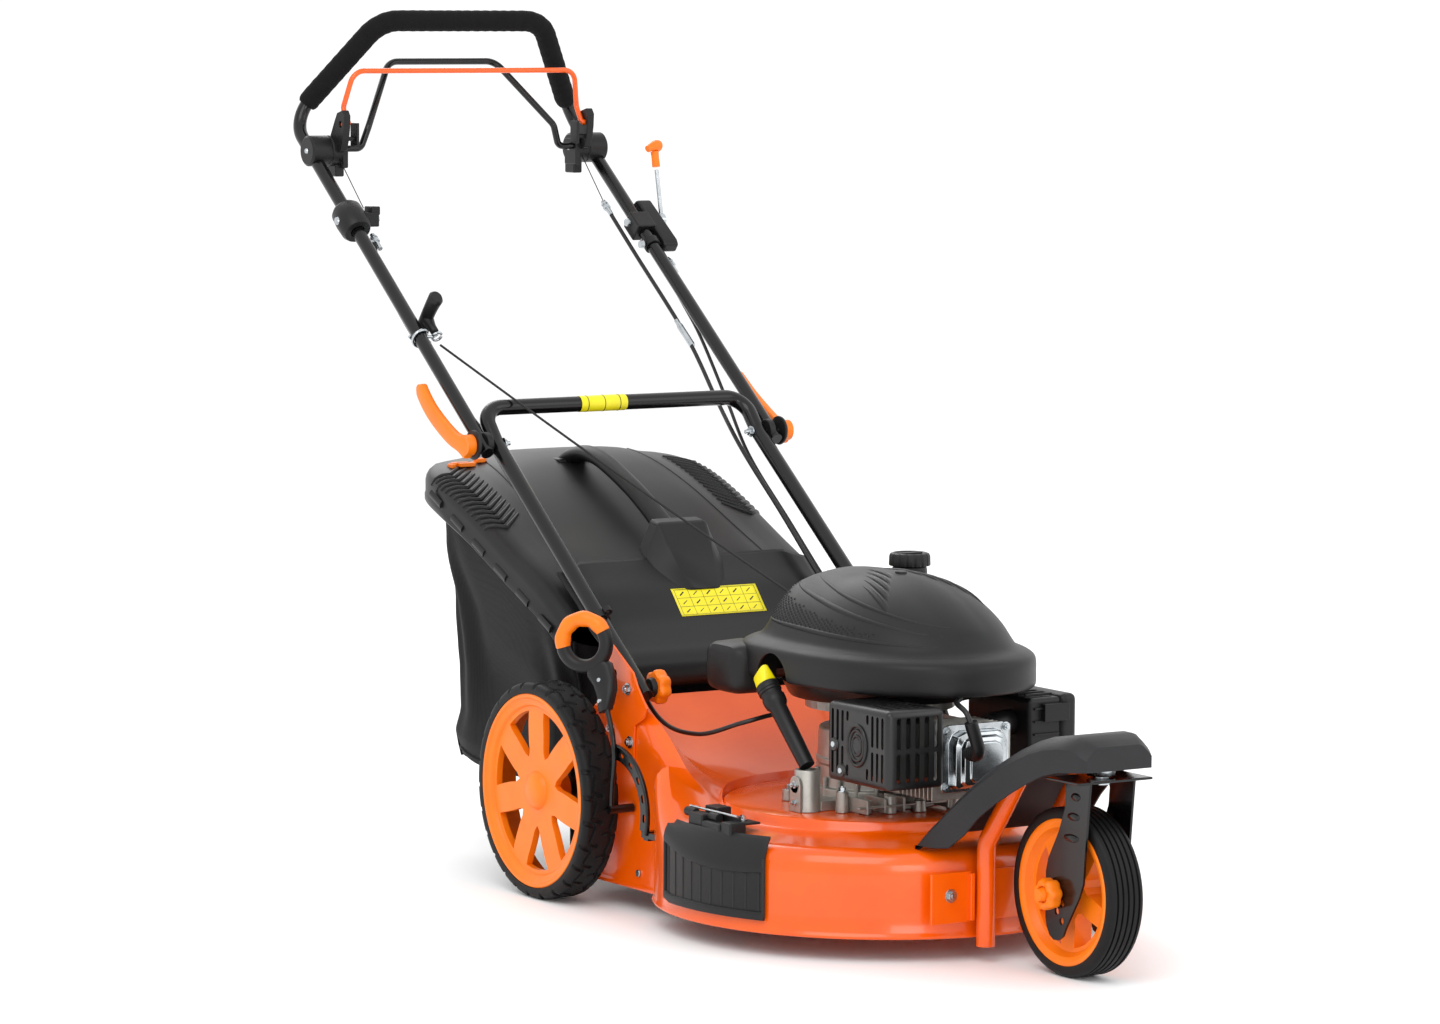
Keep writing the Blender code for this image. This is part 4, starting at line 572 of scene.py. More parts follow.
def discharge_cover():
    """A moulded flap over the side opening, with ribs and a bulging shoulder, and its fixed hinge housings."""
    inner = DECK_R + 0.0016
    outer = DECK_R + 0.0040
    steps = 48
    bm = bmesh.new()
    rings = []
    for k in range(steps + 1):
        t = k / steps
        angle = math.radians(COVER_FROM + (COVER_TO - COVER_FROM) * t)
        line = 0.103 + 0.016 * (1 - t) ** 2 - 0.006 * math.sin(math.pi * t)
        low = 0.0445 + 0.004 * max(0.0, 1 - 12 * t)
        face = [(inner, low + 0.003), (inner + 0.001, low), (outer + 0.0022, low),
                (outer + 0.0030, low + 0.0015),
                (outer + 0.0030, low + 0.0085), (outer + 0.0022, low + 0.0100), (outer, low + 0.0108),
                (outer, line - 0.002), (outer + 0.0006, line), (outer + 0.0026, line + 0.0012),
                (outer + 0.0028, line + 0.006), (outer + 0.0010, line + 0.014),
                (outer - 0.0030, line + 0.0225),
                (inner - 0.0085, 0.1410), (inner - 0.0130, 0.1455), (inner - 0.0130, 0.1425),
                (inner - 0.0085, 0.1380),
                (inner - 0.0050, 0.1310), (inner, 0.118), (inner, 0.080)]
        rings.append([deck_point(angle, reach, z) for reach, z in face])
    loft(bm, rings)
    as_object("discharge_flap_moulding", bm, ABS_BLACK, "discharge_cover", ["discharge_cover"], 50.0)
    ribs = bmesh.new()
    count = 10
    for k in range(count):
        t = (k + 0.6) / count
        angle = math.radians(COVER_FROM + (COVER_TO - COVER_FROM) * t)
        line = 0.103 + 0.016 * (1 - t) ** 2 - 0.006 * math.sin(math.pi * t)
        add_rod(ribs, deck_point(angle, outer - 0.0002, 0.0555),
                deck_point(angle, outer - 0.0002, line - 0.0015), 0.0011,
                sides=10)
    for t in (0.004, 0.996):
        angle = math.radians(COVER_FROM + (COVER_TO - COVER_FROM) * t)
        add_rod(ribs, deck_point(angle, outer + 0.0006, 0.0480), deck_point(angle, outer + 0.0006, 0.120),
                0.0022, sides=12)
    as_object("discharge_flap_ribs", ribs, ABS_BLACK, "discharge_cover")
    top = bmesh.new()
    for y0, y1, low, high, x0, x1 in ((-0.352, -0.384, 0.139, 0.1590, -0.2690, -0.2480),
                                      (-0.384, -0.425, 0.139, 0.1525, -0.2700, -0.2520),
                                      (-0.425, -0.447, 0.139, 0.1560, -0.2680, -0.2440)):
        add_box(top, (x0, y1, low), (x1, y0, high))
    as_object("discharge_hinge_housings", top, ABS_BLACK, "chassis", bevel=0.0028, segments=3)
    knuckle = bmesh.new()
    for y0, y1 in ((-0.330, -0.351), (-0.385, -0.404)):
        add_rod(knuckle, (-0.2560, y0, 0.1560), (-0.2560, y1, 0.1560), 0.0058, sides=24)
    as_object("discharge_hinge_knuckles", knuckle, ABS_BLACK, "chassis", bevel=0.0008)
    plate = bmesh.new()
    add_box(plate, (-0.2440, -0.436, 0.1500), (-0.2160, -0.392, 0.1530))
    add_box(plate, (-0.2470, -0.436, 0.1500), (-0.2440, -0.392, 0.1620))
    add_box(plate, (-0.2430, -0.380, 0.1490), (-0.2230, -0.350, 0.1650))
    as_object("discharge_hinge_plate", plate, ABS_BLACK, "chassis", bevel=0.0018, segments=3)
    pin = bmesh.new()
    add_rod(pin, (-0.2515, -0.330, 0.1620), (-0.2515, -0.438, 0.1620), 0.0016, sides=12)
    add_bolt(pin, (-0.2290, -0.4140, 0.1530), (0, 0, 1), 0.0052)
    as_object("discharge_hinge_pin", pin, ZINC_BRIGHT, "chassis")


discharge_cover()


# ---------------------------------------------------------------- wheels
def zigzag(value):
    return abs(2.0 * (value - math.floor(value + 0.5))) * 2.0 - 1.0


def rear_tread(across, turn):
    """Depth cut into the rear tread: a zig-zag channel by each shoulder, and slanted bars."""
    depth = 0.0
    bars = 26
    channel = 0.50 + 0.09 * zigzag(turn * bars)
    if abs(abs(across) - channel) < 0.075:
        depth = 0.0026
    slant = turn * bars + (0.28 * across if across > 0 else -0.28 * across) + (0.5 if across > 0 else 0.0)
    phase = abs(slant - math.floor(slant + 0.5))
    if abs(across) > channel and phase < 0.085:
        depth = 0.0030
    if abs(across) < channel and abs((slant + 0.25) - math.floor(slant + 0.75)) < 0.070:
        depth = max(depth, 0.0024)
    return depth


def tyre(name, at, body, radius, rim_r, width, around, tread=None, grooves=()):
    """A solid moulded tyre: flat sidewalls with a moulded line, round shoulders, and its tread cut in."""
    half = width / 2
    shoulder = 0.0075
    lanes = 34 if tread else 72
    profile = [(rim_r + GAP, half - 0.0010), (rim_r + 0.0022, half), (rim_r + 0.0040, half),
               (rim_r + 0.0048, half - 0.0007),
               (radius - shoulder - 0.001, half - 0.0007)]
    for k in range(5):
        turn = math.radians(90 * k / 4)
        profile.append((radius - shoulder + shoulder * math.sin(turn),
                        half - shoulder + (shoulder - 0.0007) * math.cos(turn)))
    flat = half - shoulder
    face = [flat - 2 * flat * (k + 1) / lanes for k in range(lanes - 1)]
    profile += [(radius, x) for x in face]
    for k in range(5):
        turn = math.radians(90 - 90 * k / 4)
        profile.append((radius - shoulder + shoulder * math.sin(turn),
                        shoulder - half - (shoulder - 0.0007) * math.cos(turn)))
    profile += [(rim_r + 0.0040, 0.0007 - half), (rim_r + GAP, 0.0010 - half)]
    bm = bmesh.new()
    rings = []
    for k in range(around):
        angle = 2 * math.pi * k / around
        ring = []
        for r, x in profile:
            depth = 0.0
            if r > radius - shoulder * 0.75:
                if tread:
                    depth = tread(max(-1.0, min(1.0, x / half)), k / around)
                elif any(abs(x / half - g) < 0.045 for g in grooves):
                    depth = 0.0022
            ring.append(bm.verts.new((at[0] + x, at[1] + (r - depth) * math.cos(angle),
                                      at[2] + (r - depth) * math.sin(angle))))
        rings.append(ring)
    for k in range(around):
        a, b = rings[k], rings[(k + 1) % around]
        for j in range(len(profile)):
            i = (j + 1) % len(profile)
            bm.faces.new((a[j], a[i], b[i], b[j]))
    return as_object(f"{name}_moulding", bm, RUBBER_TYRE, body, [name], 42.0)


def petal(at, inner, outer, middle, spread, narrow):
    """Outline of one opening between two spokes, wide and round at the rim and narrow at the hub."""
    outline = arc((at[1], at[2]), outer, middle - spread, middle + spread, 10)
    turn = math.radians(middle)
    for t in (0.18, 0.4, 0.65, 0.88):
        r = outer + (inner - outer) * t
        a = math.radians(spread - (spread - narrow) * t ** 1.3)
        outline.append((at[1] + r * math.cos(turn + a), at[2] + r * math.sin(turn + a)))
    outline.append((at[1] + inner * math.cos(turn), at[2] + inner * math.sin(turn)))
    for t in (0.88, 0.65, 0.4, 0.18):
        r = outer + (inner - outer) * t
        a = math.radians(-(spread - (spread - narrow) * t ** 1.3))
        outline.append((at[1] + r * math.cos(turn + a), at[2] + r * math.sin(turn + a)))
    return outline


def rear_rim(name, at, body, out):
    """A moulded rim: rolled bead, stepped ring, seven broad spokes round a smooth hub cap."""
    rim_r, half = 0.1255, 0.026
    face = half - 0.001
    profile = [(0.0, face + 0.0005), (0.012, face), (0.0185, face - 0.0015), (0.0225, face - 0.0045),
               (0.0250, face - 0.0090),
               (0.0330, face - 0.0100), (0.060, face - 0.0085), (0.090, face - 0.0080),
               (0.1040, face - 0.0088),
               (0.1085, face - 0.0080), (0.1105, face - 0.0045), (0.1120, face - 0.0035),
               (0.1175, face - 0.0030),
               (0.1190, face - 0.0018), (0.1205, face), (0.1240, face + 0.0004), (rim_r, face - 0.0010),
               (rim_r, 0.002 - half), (0.1225, 0.002 - half), (0.1195, face - 0.0160),
               (0.1060, face - 0.0175),
               (0.0300, face - 0.0175), (0.0230, 0.004 - half), (0.0085, 0.004 - half),
               (0.0085, face - 0.012),
               (0.0, face - 0.012)]
    bm = bmesh.new()
    add_turned(bm, profile, at, (out, 0, 0), 144)
    rim = as_object(f"{name}_moulding", bm, NYLON_ORANGE, body, [name], 32.0)
    for k in range(7):
        hole = bmesh.new()
        add_plate(hole, petal(at, 0.0460, 0.1035, 360.0 * k / 7 + 12, 15.5, 5.0), at[0] - 0.03, at[0] + 0.03)
        cut(rim, hole)
    step = rim.modifiers.new("bevel", "BEVEL")
    step.width = 0.0018
    step.segments = 3
    step.limit_method = "ANGLE"
    step.angle_limit = math.radians(55)
    step.harden_normals = True
    return rim


def front_rim(at, body):
    """The caster's rim: five openings round a long hub."""
    rim_r, half = 0.088, 0.025
    face = half - 0.001
    profile = [(0.0085, 0.0290), (0.0150, 0.0290), (0.0165, 0.0270), (0.0190, 0.0150), (0.0260, 0.0125),
               (0.0640, 0.0125),
               (0.0720, 0.0130), (0.0755, 0.0175), (0.0775, 0.0215), (0.0815, face - 0.0010), (0.0850, face),
               (rim_r, face - 0.0010)]
    profile = [(r, min(h, 0.0285)) for r, h in profile]
    profile += [(r, -h) for r, h in reversed(profile)]
    bm = bmesh.new()
    add_turned(bm, profile, at, (1, 0, 0), 112, closed_ring=True)
    rim = as_object("front_rim_moulding", bm, NYLON_ORANGE, body, ["front_rim"], 32.0)
    for k in range(5):
        hole = bmesh.new()
        add_plate(hole, petal(at, 0.0300, 0.0670, 72.0 * k + 20, 25.0, 12.0), at[0] - 0.03, at[0] + 0.03)
        cut(rim, hole)
    step = rim.modifiers.new("bevel", "BEVEL")
    step.width = 0.0014
    step.segments = 2
    step.limit_method = "ANGLE"
    step.angle_limit = math.radians(55)
    step.harden_normals = True


def wheels():
    for side, name in ((-1, "right"), (1, "left")):
        at = (side * 0.2625, 0.0, 0.140)
        tyre(f"rear_tyre_{name}", at, f"rear_wheel_{name}", 0.140, 0.1255, 0.052, 780, rear_tread)
        rear_rim(f"rear_rim_{name}", at, f"rear_wheel_{name}", side)
    at = (0.0, -0.797, 0.1016)
    tyre("front_tyre", at, "front_wheel", 0.1016, 0.0880, 0.050, 180, None, (-0.62, -0.31, 0.0, 0.31, 0.62))
    front_rim(at, "front_wheel")


wheels()


# ---------------------------------------------------------------- front frame, arched cover and caster
SWIVEL_Y, WHEEL_Y, WHEEL_Z, FRAME_TOP_Z = -0.841, -0.797, 0.1016, 0.262


def front_frame():
    """Two bent tubes from the deck's front wall to the swivel's plate, with their welded flange."""
    bm = bmesh.new()
    for side in (-1, 1):
        path = rounded([(side * 0.046, -0.6735, 0.020), (side * 0.046, -0.6735, 0.145),
                        (side * 0.044, -0.755, FRAME_TOP_Z - 0.006), (side * 0.034, -0.842, FRAME_TOP_Z)],
                       (0.030, 0.030), 8)
        add_tube(bm, path, 0.0115, 28)
    as_object("front_tubes", bm, ENAMEL_ORANGE, "chassis", ["front_frame"], 50.0, 0.0006)
    flange = bmesh.new()
    for side in (-1, 1):
        add_box(flange, (min(side * 0.062, side * 0.120), -0.6655, 0.050),
                (max(side * 0.062, side * 0.120), -0.6615, 0.112))
        add_box(flange, (min(side * 0.060, side * 0.066), -0.6710, 0.052),
                (max(side * 0.060, side * 0.066), -0.6615, 0.110))
    add_box(flange, (-0.0330, -0.6660, 0.050), (0.0330, -0.6620, 0.112))
    as_object("front_flange", flange, ENAMEL_ORANGE, "chassis", bevel=0.0010)
    carrier = bmesh.new()
    add_box(carrier, (-0.046, -0.868, FRAME_TOP_Z - 0.004), (0.046, -0.800, FRAME_TOP_Z + 0.004))
    plate = as_object("swivel_plate", carrier, ENAMEL_ORANGE, "chassis", bevel=0.0010)
    hole = bmesh.new()
    add_rod(hole, (0, SWIVEL_Y, 0.20), (0, SWIVEL_Y, 0.30), 0.0130)
    cut(plate, hole)
    boss = bmesh.new()
    add_turned(boss, [(0.0105, -0.016), (0.0165, -0.016), (0.0170, -0.0150), (0.0170, 0.019), (0.0165, 0.020),
                      (0.0105, 0.020)],
               (0, SWIVEL_Y, FRAME_TOP_Z), (0, 0, 1), 48, closed_ring=True)
    as_object("swivel_boss", boss, ZINC_BRIGHT, "chassis", smooth=40)
    bolts = bmesh.new()
    for side in (-1, 1):
        add_bolt(bolts, (side * 0.092, -0.6655, 0.084), (0, -1, 0), 0.0068)
    add_bolt(bolts, (0.0165, -0.6660, 0.084), (0, -1, 0), 0.0068)
    add_bolt(bolts, (-0.026, -0.820, FRAME_TOP_Z - 0.004), (0, 0, -1), 0.0052)
    as_object("front_frame_bolts", bolts, ZINC_BRIGHT, "chassis", bevel=0.0004)


def front_cover():
    """The arched cover over the tubes: a flat crown, folded flanks, and a flared foot."""
    spine = [(-0.616, 0.1525, 0.110, 0.1395), (-0.630, 0.1650, 0.1085, 0.1398),
             (-0.648, 0.1810, 0.1045, 0.1402),
             (-0.668, 0.2010, 0.0990, 0.1425), (-0.690, 0.2215, 0.0925, 0.1600),
             (-0.712, 0.2400, 0.0860, 0.1845),
             (-0.735, 0.2560, 0.0795, 0.2030), (-0.760, 0.2715, 0.0730, 0.2195),
             (-0.785, 0.2835, 0.0670, 0.2340),
             (-0.808, 0.2910, 0.0620, 0.2450), (-0.832, 0.2950, 0.0585, 0.2515),
             (-0.852, 0.2955, 0.0555, 0.2535)]
    shut = [(-0.866, 0.2905, 0.0520, 0.2550), (-0.877, 0.2850, 0.0475, 0.2560)]
    wall = 0.0025

    def section(y, top, half, low, inset=0.0):
        chamfer, brow = 0.013, 0.0155
        top, half = top - inset, half - inset
        crown = top - 0.0022
        line = [(-half, low), (-half, top - brow), (-half + 0.0030, top - brow + 0.0040),
                (-half + chamfer, crown),
                (-half + chamfer + 0.006, top), (0.0, top), (half - chamfer - 0.006, top),
                (half - chamfer, crown),
                (half - 0.0030, top - brow + 0.0040), (half, top - brow), (half, low)]
        return [Vector((x, y, z)) for x, z in line]

    bm = bmesh.new()
    outer = [section(*place) for place in spine + shut]
    inner = [section(y, top, half, low, wall) for y, top, half, low in spine + shut]
    inner[-1] = [Vector((p.x, p.y + wall, p.z)) for p in inner[-1]]
    a = [[bm.verts.new(p) for p in ring] for ring in outer]
    b = [[bm.verts.new(p) for p in ring] for ring in inner]
    count = len(a[0])
    for rows in (a, b):
        for lower, upper in zip(rows, rows[1:]):
            for k in range(count - 1):
                bm.faces.new((lower[k], lower[k + 1], upper[k + 1], upper[k]))
    for lower, upper, lower_in, upper_in in zip(a, a[1:], b, b[1:]):
        for k in (0, count - 1):
            bm.faces.new((lower[k], upper[k], upper_in[k], lower_in[k]))
    for k in range(count - 1):
        bm.faces.new((a[0][k], a[0][k + 1], b[0][k + 1], b[0][k]))
    bm.faces.new(a[-1])
    bm.faces.new(b[-1])
    bm.faces.new((a[-1][0], a[-1][-1], b[-1][-1], b[-1][0]))
    as_object("front_arch_cover", bm, ARCH_GRAIN, "chassis", ["front_cover"], 28.0, 0.0012,
              segments=3)


ARCH_GRAIN = finish_material("abs_charcoal_coarse_grain", "#222224", "#1B1B1D", 0.46, 0.0, 0.9, 0.55, 70.0,
                             0.08, ior=1.38)


def add_star(bm, at, out, radius, depth, lobes=7):
    """A hand knob: a lobed wheel, hollowed in front round its hub, with rounded edges."""
    at, out = Vector(at), Vector(out).normalized()
    side = out.orthogonal().normalized()
    other = out.cross(side)
    steps = lobes * 12
    profile = [(0.62, 0.0), (0.86, 0.0), (0.97, 0.12), (1.0, 0.30), (1.0, 0.66), (0.95, 0.86), (0.84, 0.98),
               (0.62, 1.0),
               (0.52, 0.94), (0.48, 0.78), (0.30, 0.76), (0.26, 0.90), (0.22, 0.94), (0.0, 0.94)]
    rings = []
    for r, h in profile:
        ring = []
        for k in range(steps):
            a = 2 * math.pi * k / steps
            lobe = 1.0 - 0.13 * (0.5 - 0.5 * math.cos(lobes * a)) ** 1.2 * (1.0 if r > 0.55 else 0.0)
            reach = radius * r * lobe
            ring.append(at + out * (depth * h) + (side * math.cos(a) + other * math.sin(a)) * max(reach,
                    0.0004))
        rings.append(ring)
    loft(bm, rings)


def caster():
    """The pressed fork with its stiffening dents, the axle bolt, and the star knob that holds it."""
    plate_top = FRAME_TOP_Z - 0.018
    crown = bmesh.new()
    add_box(crown, (-0.056, SWIVEL_Y - 0.030, plate_top - 0.0032), (0.054, SWIVEL_Y + 0.034, plate_top))
    as_object("fork_crown", crown, ENAMEL_BLACK, "caster", ["caster_fork"], 35, 0.0012,
              segments=3)
    stem = bmesh.new()
    add_turned(stem, [(0.0, -0.008), (0.0125, -0.008), (0.0125, -0.0035), (0.0095, -0.0032), (0.0095, 0.0405),
                      (0.0085, 0.0420),
                      (0.0, 0.0420)], (0, SWIVEL_Y, plate_top), (0, 0, 1), 40)
    as_object("fork_stem", stem, ZINC_BRIGHT, "caster")
    for side, name in ((-1, "right"), (1, "left")):
        y = WHEEL_Y
        outline = [(SWIVEL_Y - 0.024, plate_top - 0.002), (SWIVEL_Y + 0.028, plate_top - 0.002),
                   (SWIVEL_Y + 0.024, 0.226),
                   (SWIVEL_Y + 0.026, 0.205), (y - 0.006, 0.176), (y + 0.014, 0.142), (y + 0.0185, 0.126),
                   (y + 0.0185, 0.070), (y + 0.016, 0.060), (y + 0.010, 0.050), (y + 0.002, 0.0455),
                   (y - 0.008, 0.0460),
                   (y - 0.017, 0.0520), (y - 0.022, 0.062), (y - 0.048, 0.102), (y - 0.056, 0.120),
                   (y - 0.060, 0.165),
                   (y - 0.064, 0.205)]
        x = sorted((side * 0.0305, side * 0.0336))
        blade = bmesh.new()
        add_plate(blade, outline, *x)
        leg = as_object(f"fork_blade_{name}", blade, ENAMEL_BLACK, "caster", bevel=0.0011, segments=3)
        for k in range(4):
            hole = bmesh.new()
            hy, hz = y - 0.004 - 0.010 * (k % 2), WHEEL_Z - 0.0105 * k
            add_rod(hole, (-0.05, hy, hz), (0.05, hy, hz), 0.0044, sides=24)
            if k:
                cut(leg, hole)
        dents = bmesh.new()
        for k, (half, z) in enumerate(((0.0085, 0.222), (0.0115, 0.198), (0.0150, 0.172))):
            centre = SWIVEL_Y + 0.004 + 0.004 * k
            rings = []
            for t in (-1.0, -0.86, -0.5, 0.0, 0.5, 0.86, 1.0):
                reach = 0.0050 * math.sqrt(max(0.05, 1 - t * t))
                swell = 0.0030 * math.sqrt(max(0.0, 1 - t * t)) + 0.0002
                ring = [Vector((side * (0.0336 + swell * math.sin(math.pi * s / 8)), centre + half * t,
                                z + reach * math.cos(math.pi * s / 8))) for s in range(9)]
                rings.append(ring)
            loft(dents, rings)
        as_object(f"fork_dents_{name}", dents, ENAMEL_BLACK, "caster", smooth=60)
    knob = bmesh.new()
    add_star(knob, (-0.0342, WHEEL_Y, WHEEL_Z), (-1, 0, 0), 0.0195, 0.0185, 7)
    add_rod(knob, (-0.0500, WHEEL_Y, WHEEL_Z), (-0.0585, WHEEL_Y, WHEEL_Z), 0.0088, 0.0070, 24)
    as_object("fork_star_knob", knob, NYLON_ORANGE, "caster", ["front_axle"], 40)
    axle = bmesh.new()
    add_rod(axle, (-0.0345, WHEEL_Y, WHEEL_Z), (0.0450, WHEEL_Y, WHEEL_Z), 0.0049, sides=24)
    add_bolt(axle, (0.0340, WHEEL_Y, WHEEL_Z), (1, 0, 0), 0.0095)
    as_object("front_axle_bolt", axle, ZINC_BRIGHT, "caster", bevel=0.0004)


front_frame()
front_cover()
caster()


# ---------------------------------------------------------------- height lever
LEVER_Y, LEVER_Z = -0.148, 0.133


def face_the_user(bm, x, y, z):
    """Twists the grip about the upright through (x, y), most at the ring and not at all at the rod."""
    for vert in bm.verts:
        turn = math.radians(34.0) * ease(vert.co.z, z + 0.122, z + 0.176)
        a, b = vert.co.x - x, vert.co.y - y
        vert.co.x = x + a * math.cos(turn) - b * math.sin(turn)
        vert.co.y = y + a * math.sin(turn) + b * math.cos(turn)


def height_lever():
    """The notched sector, and the lever: thin spring rod, black stem and a ring grip with an orange top."""
    y, z = LEVER_Y, LEVER_Z
    sector = bmesh.new()
    outline = arc((y, z), 0.083, 92, 196, 30) + arc((y, z), 0.064, 196, 92, 30)
    add_plate(sector, outline, -0.2520, -0.2492)
    quadrant = as_object("height_sector", sector, ENAMEL_BLACK, "chassis", ["height_quadrant"], 40)
    for k in range(5):
        turn = math.radians(104 + 19.5 * k)
        slot = bmesh.new()
        centre = Vector((-0.2506, y + 0.0722 * math.cos(turn), z + 0.0722 * math.sin(turn)))
        way = Vector((0, -math.sin(turn), math.cos(turn)))
        for shift in (-0.0024, 0.0, 0.0024):
            add_rod(slot, centre + way * shift - Vector((0.005, 0, 0)),
                    centre + way * shift + Vector((0.005, 0, 0)), 0.0030,
                    sides=16)
            cut(quadrant, slot)
            slot = bmesh.new()
        slot.free()
    step = quadrant.modifiers.new("bevel", "BEVEL")
    step.width = 0.0006
    step.segments = 2
    step.limit_method = "ANGLE"
    step.angle_limit = math.radians(40)
    rim = bmesh.new()
    add_tube(rim, [(-0.2530, *p) for p in arc((y, z), 0.0825, 92, 196, 30)], 0.0022, 12)
    add_box(rim, (-0.2522, y - 0.098, z - 0.027), (-0.2440, y - 0.066, z - 0.019))
    add_box(rim, (-0.2515, y - 0.082, z - 0.030), (-0.2230, y - 0.070, z - 0.018))
    as_object("height_sector_rim", rim, ENAMEL_BLACK, "chassis", bevel=0.0006)
    x = -0.2562
    rod_path = smooth_path([(x, y, z), (x, y - 0.002, z + 0.030), (x, y - 0.007, z + 0.060),
                            (x, y - 0.004, z + 0.092),
                            (x, y + 0.008, z + 0.122), (x, y + 0.015, z + 0.140)], 6)
    wire = bmesh.new()
    add_tube(wire, rod_path, 0.0034, 16)
    add_rod(wire, (x - 0.0034, y, z), (-0.2245, y, z), 0.0055, sides=24)
    as_object("height_lever_rod", wire, ENAMEL_BLACK, "height_lever", ["height_lever"], 40)
    ring_y, ring_z, ring_r = y + 0.055, z + 0.208, 0.0305
    stem = bmesh.new()
    rings = []
    spine = [(y + 0.0140, z + 0.124, 0.0085, 0.0075), (y + 0.0150, z + 0.132, 0.0105, 0.0085),
             (y + 0.0185, z + 0.146, 0.0125, 0.0095),
             (y + 0.0250, z + 0.160, 0.0155, 0.0095), (y + 0.0330, z + 0.174, 0.0185, 0.0095),
             (y + 0.0370, z + 0.1795, 0.0150, 0.0085)]
    for k, (py, pz, wide, deep) in enumerate(spine):
        way = Vector((0, 0.42, 0.907)) if k < 4 else Vector((0, 0.5167, 0.8562))
        side = Vector((0, way.z, -way.y))
        ring = []
        for s in range(24):
            a = 2 * math.pi * s / 24
            c, d = math.cos(a), math.sin(a)
            ring.append(Vector((x, py, pz)) + side * (wide * math.copysign(abs(c) ** 0.6, c))
                        + Vector((deep * math.copysign(abs(d) ** 0.6, d), 0, 0)))
        rings.append(ring)
    loft(stem, rings)
    lower = [(x, *p) for p in arc((ring_y, ring_z), ring_r, 150, 345, 36)]
    add_tube(stem, lower, 0.0092, 20, (1.0, 1.0))
    face_the_user(stem, x, y + 0.040, z)
    as_object("height_lever_stem", stem, PP_BLACK, "height_lever", smooth=45)
    grip = bmesh.new()
    turns = [345 - 360 + 165 * k / 60 for k in range(61)]
    path = [(x, ring_y + ring_r * math.cos(math.radians(t)),
             ring_z + ring_r * math.sin(math.radians(t))) for t in turns]
    radii = [0.0104 - 0.0011 * (0.5 + 0.5 * math.cos(math.radians((t + 15) / 165 * 360 * 4))) for t in turns]
    radii[0] = radii[-1] = 0.0088
    add_tube(grip, path, 0.0100, 22, (1.0, 1.0), radii)
    face_the_user(grip, x, y + 0.040, z)
    as_object("height_lever_grip", grip, NYLON_ORANGE, "height_lever", smooth=60)
    screws = bmesh.new()
    for py, pz in ((y + 0.0190, z + 0.137), (y + 0.0290, z + 0.163)):
        add_rod(screws, (x - 0.0085, py, pz), (x - 0.0106, py, pz), 0.0032, 0.0026, 20)
    face_the_user(screws, x, y + 0.040, z)
    as_object("height_lever_screws", screws, ZINC_BRIGHT, "height_lever")


height_lever()


# ---------------------------------------------------------------- engine shroud

# half width, reach behind and before the crankshaft, and height of each level from the lip to the crown
SHROUD_LEVELS = ((0.1470, 0.191, 0.222, 0.3110), (0.1500, 0.196, 0.226, 0.3150),
                 (0.1502, 0.1962, 0.2262, 0.330),
                 (0.1500, 0.1960, 0.2260, 0.3430), (0.1475, 0.1930, 0.2230, 0.3500),
                 (0.1400, 0.1850, 0.2140, 0.3550),
                 (0.1300, 0.1710, 0.1980, 0.3600), (0.1240, 0.1610, 0.1880, 0.3700),
                 (0.1165, 0.1550, 0.1740, 0.3850),
                 (0.1050, 0.1480, 0.1500, 0.4020), (0.0890, 0.1370, 0.1190, 0.4180),
                 (0.0680, 0.1190, 0.0840, 0.4310),
                 (0.0420, 0.0860, 0.0480, 0.4395), (0.0180, 0.0400, 0.0200, 0.4425))


def shroud_ring(half, back, front, z, count=120):
    ring = []
    for k in range(count):
        a = 2 * math.pi * k / count
        c, s = math.cos(a), math.sin(a)
        power = 0.62 if s > 0 else 0.86
        x = half * math.copysign(abs(c) ** (power + 0.10), c)
        y = (back if s > 0 else front) * math.copysign(abs(s) ** power, s)
        crest = 0.0
        if z > 0.375:
            crest = 0.0022 * math.cos(max(-1.0, min(1.0, x / 0.03)) * math.pi / 2)
        ring.append(Vector((x + 0.012, ENGINE_Y + y, z + crest)))
    return ring


def between(rows, per_span):
    """Rows of numbers read smoothly between the given ones."""
    points = [Vector(row) for row in rows]
    ends = [points[0]] + points + [points[-1]]
    fine = []
    for k in range(1, len(ends) - 2):
        p0, p1, p2, p3 = ends[k - 1:k + 3]
        for s in range(per_span):
            t = s / per_span
            fine.append(0.5 * (2 * p1 + (p2 - p0) * t + (2 * p0 - 5 * p1 + 4 * p2 - p3) * t * t
                               + (3 * p1 - p0 - 3 * p2 + p3) * t ** 3))
    fine.append(points[-1])
    return fine


def shroud():
    """The moulded cover over the flywheel: a rim band, a flat brim and the swept dome, hollow below."""
    levels = between(SHROUD_LEVELS, 3)
    outer = [shroud_ring(*level) for level in levels]
    wall = 0.003
    inner = [shroud_ring(a - wall, b - wall, c - wall, z - (wall if z > 0.316 else 0.0)) for a, b, c,
             z in levels]
    bm = bmesh.new()
    loft(bm, outer)
    bmesh.ops.recalc_face_normals(bm, faces=bm.faces)
    skin = BVHTree.FromBMesh(bm)
    bm.free()
    bm = bmesh.new()
    loft(bm, list(reversed(inner)) + outer)
    body = as_object("shroud_moulding", bm, ABS_BLACK, "chassis", ["engine_shroud"], 40)
    holes = bmesh.new()
    add_rod(holes, (0.095, -0.300, 0.36), (0.095, -0.300, 0.46), 0.0275, sides=48)
    cut(body, holes)
    holes = bmesh.new()
    add_rod(holes, (-0.170, -0.336, 0.306), (-0.108, -0.336, 0.312), 0.036, sides=48)
    cut(body, holes)
    holes = bmesh.new()
    add_rod(holes, (-0.020, -0.190, 0.402), (-0.020, -0.262, 0.385), 0.0085, sides=32)
    cut(body, holes)
    return skin


